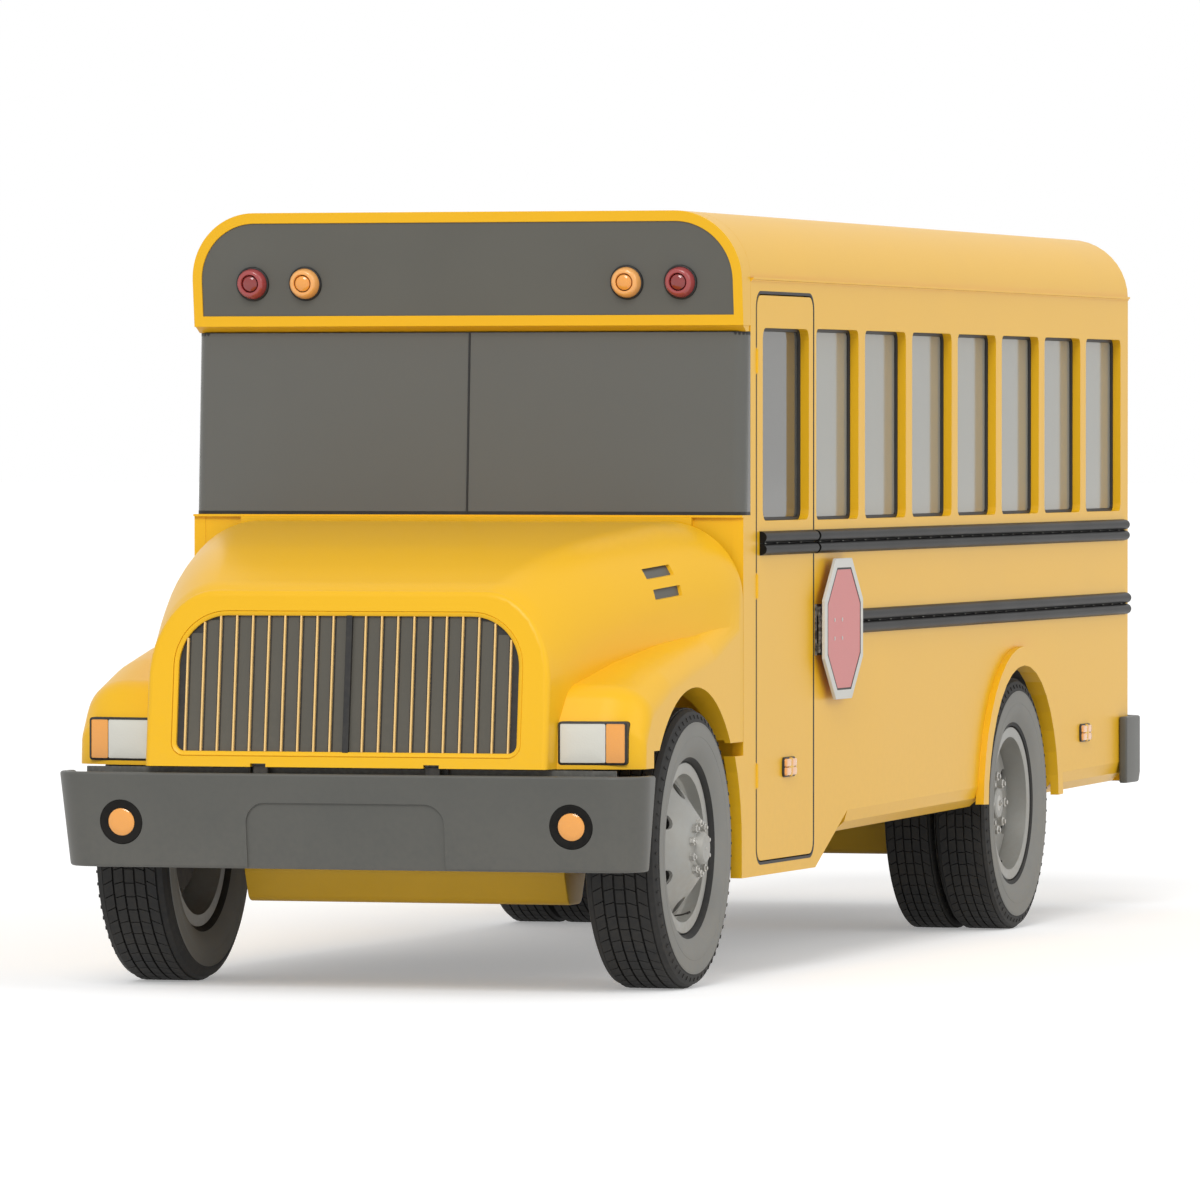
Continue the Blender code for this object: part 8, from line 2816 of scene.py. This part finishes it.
@dataclass
class TankAndExhaust:
    """The fuel tank's straps and cap, and the silencer with its pipes and hangers."""

    tank_x: Flat = (-1.050, -0.4305)
    tank_z: Flat = (0.640, 0.930)
    strap_y: Flat = (2.300, 0.700)
    filler: tuple[float, float, float] = (-0.900, 1.900, 0.930)
    axis: Flat = (0.570, 0.800)
    radius: float = 0.1395
    silencer: Flat = (1.800, 2.900)
    pipe: Flat = (0.450, 3.750)

    def build(self, shop: Workshop) -> None:
        """Makes and places the tank's fittings and the exhaust."""
        (x0, x1), (z0, z1), (first, step) = self.tank_x, self.tank_z, self.strap_y
        outer = block((x0 - 0.0035, x1), (z0 - 0.0035, z1 + 0.0035), 0.0635, 8)
        inner = block((x0 + 0.002, x1 - 0.004), (z0 + 0.002, z1 - 0.002), 0.058, 8)
        strap = moulding(FRONT, [
            (outer, first - 0.030, first + 0.030), (inner, first + 0.030, first - 0.030)
        ], closed=True)
        shop.place(
            "tank_straps", shop.row(strap, "nut_steel", 2, (0.0, step, 0.0)), "nut_steel", edge=0.0008
        )
        x, y, z = self.filler
        cap = lathe(FRONT, (x, z), [
            (0.030, 0.0), (0.030, 0.0405), (0.012, 0.0405), (0.010, 0.046), (-0.014, 0.046),
            (-0.018, 0.040), (-0.018, 0.0)
        ], 40, y)
        ridge = prism(
            FRONT, around((x, z), [(-0.003, 0.0455), (0.003, 0.0455), (0.002, 0.0485), (-0.002, 0.0485)]),
            y - 0.013, y + 0.009
        )
        shop.place(
            "tank_cap", joined(cap, shop.ring(ridge, "black_trim", 20, (x, 0.0, z), (0.0, 1.0, 0.0))),
            "black_trim"
        )
        s0, s1 = self.silencer
        (p0, p1), big = self.pipe, self.radius
        end = [
            (0.0, 0.0), (0.0, 0.052), (0.004, 0.110), (0.010, big - 0.006), (0.014, big), (0.024, big),
            (0.028, big - 0.005),
        ]
        body = lathe(FRONT, self.axis, both_ends(s0, s1, end), 56)
        head = lathe(FRONT, self.axis, [
            (p0, 0.0), (p0, 0.058), (p0 + 0.014, 0.058), (p0 + 0.016, 0.049), (s0 + 0.010, 0.049),
            (s0 + 0.010, 0.0)
        ], 40)
        tail = lathe(FRONT, self.axis, [
            (s1 - 0.010, 0.045), (p1, 0.045), (p1, 0.0415), (s1 - 0.010, 0.0415)
        ], 40)
        shop.place("silencer_and_pipes", joined(body, head, tail), "tank_steel", replaces=("exhaust",))
        x, z = self.axis
        loop = lathe(FRONT, self.axis, [
            (-0.016, big + 0.0025), (0.016, big + 0.0025), (0.016, big - 0.006), (-0.016, big - 0.006)
        ], 56)
        arm = prism(FRONT, [
            (0.4305, 0.835), (0.4305, 0.925), (0.440, 0.925), (x - 0.040, z + big - 0.004),
            (x - 0.060, z + big - 0.020), (0.440, 0.835)
        ], -0.016, 0.016)
        hangers = shop.row(
            shifted(joined(loop, arm), y=s0 + 0.180), "chassis_steel", 2, (0.0, s1 - s0 - 0.360, 0.0)
        )
        clamp = lathe(FRONT, self.axis, [
            (-0.014, 0.0535), (0.014, 0.0535), (0.014, 0.046), (-0.014, 0.046)
        ], 32)
        clamps = shop.row(shifted(clamp, y=s0 - 0.040), "chassis_steel", 2, (0.0, -0.900, 0.0))
        shop.place("exhaust_hangers", joined(hangers, clamps), "chassis_steel")


@dataclass
class Engine:
    """The in-line engine under the hood, with its manifolds, pulleys, fan, air cleaner and gearbox."""

    front_y: float = -1.200
    rear_y: float = -0.200
    base_z: float = 0.7705
    deck_z: float = 1.280
    head_top: float = 1.360
    cylinders: int = 6
    gearbox_z: float = 0.700
    shaft_z: float = 0.611
    shaft_y: float = 0.6195
    blade_twist: float = 0.15

    def iron(self, shop: Workshop) -> Mesh:
        """Makes the crankcase, head, exhaust manifold and gearbox."""
        y0, y1, deck = self.front_y, self.rear_y, self.deck_z
        section = [(0.130, self.base_z), (0.170, 0.860), (0.205, 0.950), (0.205, 1.190), (0.150, deck)]
        outline = [(-x, z) for x, z in reversed(section)] + section
        case = prism(FRONT, outline, y0, y1)
        pitch = (y1 - y0 - 0.160) / self.cylinders
        rib = prism(FRONT, [
            (0.204, 0.955), (0.214, 0.965), (0.214, 1.175), (0.204, 1.185)
        ], y0 + 0.085, y0 + 0.100)
        ribs = both_sides(shop.row(rib, "cast_iron", self.cylinders + 1, (0.0, pitch, 0.0)))
        head = slab(
            PLAN, (-0.150, 0.150), (y0 + 0.040, y1 - 0.040), (deck - 0.005, self.head_top), 0.020, 4
        )
        port_y = y0 + 0.080 + pitch / 2
        runner = tube([
            (0.140, port_y, 1.315), (0.190, port_y, 1.315), (0.235, port_y, 1.290), (0.255, port_y, 1.240)
        ], 0.024, 12)
        log_ = tube([(0.258, y0 + 0.090, 1.215), (0.258, y1 - 0.080, 1.215)], 0.036, 16)
        exhaust = joined(shop.row(runner, "cast_iron", self.cylinders, (0.0, pitch, 0.0)), log_)
        turbo = lathe(FRONT, (0.240, 1.090), [
            (-0.640, 0.0), (-0.640, 0.030), (-0.630, 0.060), (-0.600, 0.080), (-0.560, 0.076),
            (-0.545, 0.040), (-0.500, 0.040), (-0.485, 0.070), (-0.455, 0.076), (-0.425, 0.055),
            (-0.425, 0.0)
        ], 32)
        z = self.gearbox_z
        bell = lathe(FRONT, (0.0, z), [
            (y1 - 0.010, 0.0), (y1 - 0.010, 0.200), (y1 + 0.010, 0.200), (y1 + 0.030, 0.190),
            (-0.060, 0.165), (-0.040, 0.150), (0.060, 0.142), (0.070, 0.150), (0.084, 0.150),
            (0.094, 0.140), (0.300, 0.120), (0.300, 0.0)
        ], 48)
        tail = lathe(FRONT, (0.0, self.shaft_z), [
            (0.150, 0.0), (0.150, 0.075), (0.340, 0.070), (0.420, 0.055), (0.560, 0.050), (0.565, 0.060),
            (self.shaft_y, 0.060), (self.shaft_y, 0.0)
        ], 32)
        fin = prism(SIDE, [
            (-0.030, z + 0.140), (0.290, z + 0.118), (0.290, z + 0.126), (-0.030, z + 0.160)
        ], -0.004, 0.004)
        fins = shop.ring(fin, "cast_iron", 16, (0.0, 0.0, z), (0.0, 1.0, 0.0))
        return joined(case, ribs, head, exhaust, turbo, bell, tail, fins)

    def trim(self, shop: Workshop) -> Mesh:
        """Makes the rocker cover, intake manifold, filters and a filter bracket in dark paint."""
        y0, y1, top = self.front_y, self.rear_y, self.head_top
        steps = (
            (0.118, 0.060, 0.030, (-0.004, 0.008)), (0.104, 0.074, 0.024, (0.012, 0.062)),
            (0.088, 0.090, 0.020, (0.076,))
        )
        cover = moulding(PLAN, [
            (block((-half, half), (y0 + inset, y1 - inset), corner, 6), *[top + up for up in ups])
            for half, inset, corner, ups in steps
        ])
        rib = slab(
            PLAN, (-0.080, 0.080), (y0 + 0.140, y0 + 0.150), (self.head_top + 0.070, self.head_top + 0.082),
            0.002, 1
        )
        pitch = (y1 - y0 - 0.160) / self.cylinders
        port_y = y0 + 0.080 + pitch / 2
        runner = tube([
            (-0.140, port_y, 1.315), (-0.200, port_y, 1.310), (-0.240, port_y, 1.280)
        ], 0.026, 12)
        plenum = tube([(-0.262, y0 + 0.080, 1.262), (-0.262, y1 - 0.070, 1.262)], 0.046, 20)
        cleaner = lathe(FRONT, (-0.235, 1.395), [
            (-0.760, 0.0), (-0.760, 0.060), (-0.745, 0.078), (-0.720, 0.080), (-0.716, 0.084),
            (-0.704, 0.084), (-0.700, 0.080), (-0.420, 0.080), (-0.405, 0.070), (-0.395, 0.045),
            (-0.395, 0.0)
        ], 40)
        filter_can = lathe(PLAN, (-0.250, -0.860), [
            (0.960, 0.0), (0.960, 0.040), (0.970, 0.048), (1.110, 0.048), (1.125, 0.030), (1.150, 0.030),
            (1.150, 0.0)
        ], 32)
        bracket = slab(PLAN, (-0.270, -0.190), (-0.885, -0.835), (1.140, 1.158), 0.006, 2)
        ribs = shop.row(rib, "black_paint", 9, (0.0, 0.088, 0.0))
        runners = shop.row(runner, "black_paint", self.cylinders, (0.0, pitch, 0.0))
        return joined(cover, ribs, runners, plenum, cleaner, filter_can, bracket)

    def drive(self, shop: Workshop) -> Mesh:
        """Makes the belt, its pulleys and the fan."""
        y = self.front_y
        wheels = ((0.0, 0.900, 0.100), (0.0, 1.130, 0.070), (0.210, 1.060, 0.048), (-0.190, 0.980, 0.050))
        parts = []
        for x, z, radius in wheels:
            parts.append(
                lathe(FRONT, (x, z), [
                    (0.010, 0.0), (0.010, radius * 0.6), (-0.004, radius * 0.6), (-0.004, radius + 0.003),
                    (-0.008, radius - 0.004), (-0.012, radius + 0.001), (-0.016, radius - 0.004),
                    (-0.020, radius + 0.003), (-0.020, radius * 0.55), (-0.012, radius * 0.4), (-0.012, 0.0)
                ], 36, y)
            )
        parts.append(
            lathe(FRONT, (0.210, 1.060), [
                (0.008, 0.0), (0.008, 0.062), (0.020, 0.068), (0.130, 0.068), (0.142, 0.055), (0.142, 0.0)
            ], 32, y)
        )
        parts.append(
            lathe(FRONT, (-0.190, 0.980), [
                (0.008, 0.0), (0.008, 0.050), (0.110, 0.055), (0.120, 0.030), (0.120, 0.0)
            ], 28, y)
        )
        blade = prism(FRONT, [
            (-0.018, 1.160), (0.020, 1.160), (0.044, 1.310), (0.020, 1.326), (-0.040, 1.318)
        ], y - 0.026, y - 0.023)
        blade = sheared(blade, lambda x, _: -x * self.blade_twist)
        parts.append(shop.ring(blade, "nut_steel", 8, (0.0, 0.0, 1.130), (0.0, 1.0, 0.0)))
        parts.append(
            lathe(FRONT, (0.0, 1.130), [
                (-0.018, 0.0), (-0.018, 0.048), (-0.032, 0.044), (-0.034, 0.0)
            ], 28, y)
        )
        return joined(*parts)

    def belt(self) -> Mesh:
        """Makes the belt round the pulleys as a closed flat band."""
        y = self.front_y - 0.012
        turns = [
            (0.0, 0.900, 0.1015, 200, 340), (0.210, 1.060, 0.0495, -20, 70), (0.0, 1.130, 0.0715, 70, 110),
            (-0.190, 0.980, 0.0515, 110, 200),
        ]
        line = []
        for x, z, radius, start, end in turns:
            line += arc((x, z), radius, start, end, 10)
        middle = (sum(x for x, _ in line) / len(line), sum(z for _, z in line) / len(line))
        inner = [(x + (middle[0] - x) * 0.02, z + (middle[1] - z) * 0.02) for x, z in line]
        return moulding(FRONT, [(line, y - 0.008, y + 0.008), (inner, y + 0.008, y - 0.008)], closed=True)

    def build(self, shop: Workshop) -> None:
        """Makes and places the engine."""
        shop.place("engine_and_gearbox", self.iron(shop), "cast_iron", replaces=("engine_block",))
        shop.place("engine_covers", self.trim(shop), "black_paint")
        shop.place("engine_drive", self.drive(shop), "nut_steel")
        shop.place("engine_belt", self.belt(), "black_trim")
        bolt = hex_nut(PLAN, (-0.111, self.front_y + 0.075), self.head_top + 0.0075, 0.012, 0.006)
        bolts = shop.grid(bolt, "nut_steel", (9, (0.0, 0.106, 0.0)), (2, (0.222, 0.0, 0.0)))
        flange = reflected(hex_nut(FRONT, (0.0, self.gearbox_z + 0.186), self.rear_y + 0.009, 0.016, 0.008))
        ring = shop.ring(flange, "nut_steel", 12, (0.0, 0.0, self.gearbox_z), (0.0, 1.0, 0.0))
        shop.place("engine_bolts", joined(bolts, ring), "nut_steel")


# -------------------------------------------------------------------------------------- studio


@dataclass
class Studio:
    """The camera, the lamps, the world and the floor."""

    azimuth: float = 17.06
    elevation: float = 0.95
    lens: float = 300.0
    sensor: float = 36.0
    share: float = 0.90
    first_distance: float = 40.0
    tries: int = 8
    clip_end: float = 1000.0
    world: float = 0.62
    key: tuple[float, float, float, float] = (1.35, 8.0, 38.0, 25.0)  # strength, azimuth, elevation, size
    fill: tuple[float, float, float, float] = (0.45, 75.0, 30.0, 40.0)
    floor_half: float = 400.0
    floor_lift: float = 0.30

    def direction(self, azimuth: float, elevation: float) -> Vector:
        """Gives the unit vector from the bus towards a viewer at these angles, in degrees."""
        a, e = math.radians(azimuth), math.radians(elevation)
        return Vector((math.sin(a) * math.cos(e), -math.cos(a) * math.cos(e), math.sin(e)))

    def camera(self) -> None:
        """Places the camera so that the bus fills its share of the frame's width, in the middle."""
        away = self.direction(self.azimuth, self.elevation)
        turn = away.to_track_quat("Z", "Y").to_matrix()
        corners = [
            o.data.vertices[i].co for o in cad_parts.values() for i in range(len(o.data.vertices))
        ]
        middle = (CAD_BOX[0] + CAD_BOX[1]) / 2
        middle.z = CAD_BOX[1].z / 2
        distance = self.first_distance
        for _ in range(self.tries):
            seen = [turn.transposed() @ (co - middle) for co in corners]
            across = [p.x / (distance - p.z) for p in seen]
            up = [p.y / (distance - p.z) for p in seen]
            middle += turn @ Vector((max(across) + min(across), max(up) + min(up), 0.0)) * distance / 2
            distance *= (max(across) - min(across)) * self.lens / self.sensor / self.share
        data = bpy.data.cameras.new("camera")
        data.lens = self.lens
        data.sensor_width = self.sensor
        data.clip_end = self.clip_end
        camera = bpy.data.objects.new("camera", data)
        camera.matrix_world = Matrix.Translation(middle + away * distance) @ turn.to_4x4()
        bpy.context.scene.collection.objects.link(camera)
        bpy.context.scene.camera = camera
        LOG.info("camera at %.1f m", distance)

    def lamp(self, name: str, strength: float, azimuth: float, elevation: float, angle: float) -> None:
        """Adds one soft sun that shines from these angles, in degrees."""
        data = bpy.data.lights.new(name, "SUN")
        data.energy = strength
        data.angle = math.radians(angle)
        lamp = bpy.data.objects.new(name, data)
        lamp.rotation_euler = self.direction(azimuth, elevation).to_track_quat("Z", "Y").to_euler()
        bpy.context.scene.collection.objects.link(lamp)

    def seen_directly(self, wiring: Wiring) -> bpy.types.NodeSocket:
        """Gives 1 for camera, glossy and transmission rays and 0 for light that falls on things."""
        rays = wiring.add("ShaderNodeLightPath").outputs
        either = wiring.math("ADD", rays["Is Camera Ray"], rays["Is Glossy Ray"])
        return wiring.math("ADD", either, rays["Is Transmission Ray"], clamp=True)

    def background(self) -> None:
        """Makes a white world whose light on the bus is softer than what is seen."""
        world = bpy.data.worlds.new("studio_world")
        world.use_nodes = True
        wiring = Wiring(world.node_tree)
        shader = world.node_tree.nodes["Background"]
        wiring.feed(
            shader.inputs["Strength"], wiring.ramp(self.seen_directly(wiring), 0.0, 1.0, self.world, 1.0)
        )
        shader.inputs["Color"].default_value = (1.0, 1.0, 1.0, 1.0)
        bpy.context.scene.world = world

    def floor(self) -> None:
        """Lays a pale floor that keeps the shadow of the bus."""
        half = self.floor_half
        mesh = bpy.data.meshes.new("floor_stage")
        mesh.from_pydata(
            [(-half, -half, 0), (half, -half, 0), (half, half, 0), (-half, half, 0)], [], [(0, 1, 2, 3)]
        )
        floor = bpy.data.objects.new("floor_stage", mesh)
        bpy.context.scene.collection.objects.link(floor)
        material = bpy.data.materials.new("floor_stage_finish")
        material.use_nodes = True
        wiring = Wiring(material.node_tree)
        shader = material.node_tree.nodes["Principled BSDF"]
        shader.inputs["Base Color"].default_value = (0.86, 0.86, 0.86, 1.0)
        shader.inputs["Roughness"].default_value = 1.0
        shader.inputs["Specular IOR Level"].default_value = 0.0
        shader.inputs["Emission Color"].default_value = (1.0, 1.0, 1.0, 1.0)
        wiring.feed(
            shader.inputs["Emission Strength"],
            wiring.math("MULTIPLY", self.seen_directly(wiring), self.floor_lift)
        )
        mesh.materials.append(material)

    def build(self) -> None:
        """Sets the whole studio up."""
        self.camera()
        self.lamp("key_lamp", *self.key)
        self.lamp("fill_lamp", *self.fill)
        self.background()
        self.floor()
        bpy.context.scene.view_settings.view_transform = "Standard"


# ---------------------------------------------------------------------------------------- main


def main() -> None:
    """Builds the studio and every sub-assembly, and reports each piece."""
    logging.basicConfig(level=logging.INFO, format="%(name)s: %(message)s")
    Studio().build()
    palette = Palette()
    palette.dress_nodes()
    shop = Workshop(palette)
    assemblies = (
        Benches(), DriverPlace(), Flooring(), Nose(), FrontBumper(), Wheels(), Header(), Windshield(),
        Roof(), RubRails(), Markers(), StopSign(), SideGlazing(), RearEnd(), Axles(), TankAndExhaust(),
        Engine()
    )
    for assembly in assemblies:
        assembly.build(shop)


if __name__ == "__main__":
    main()
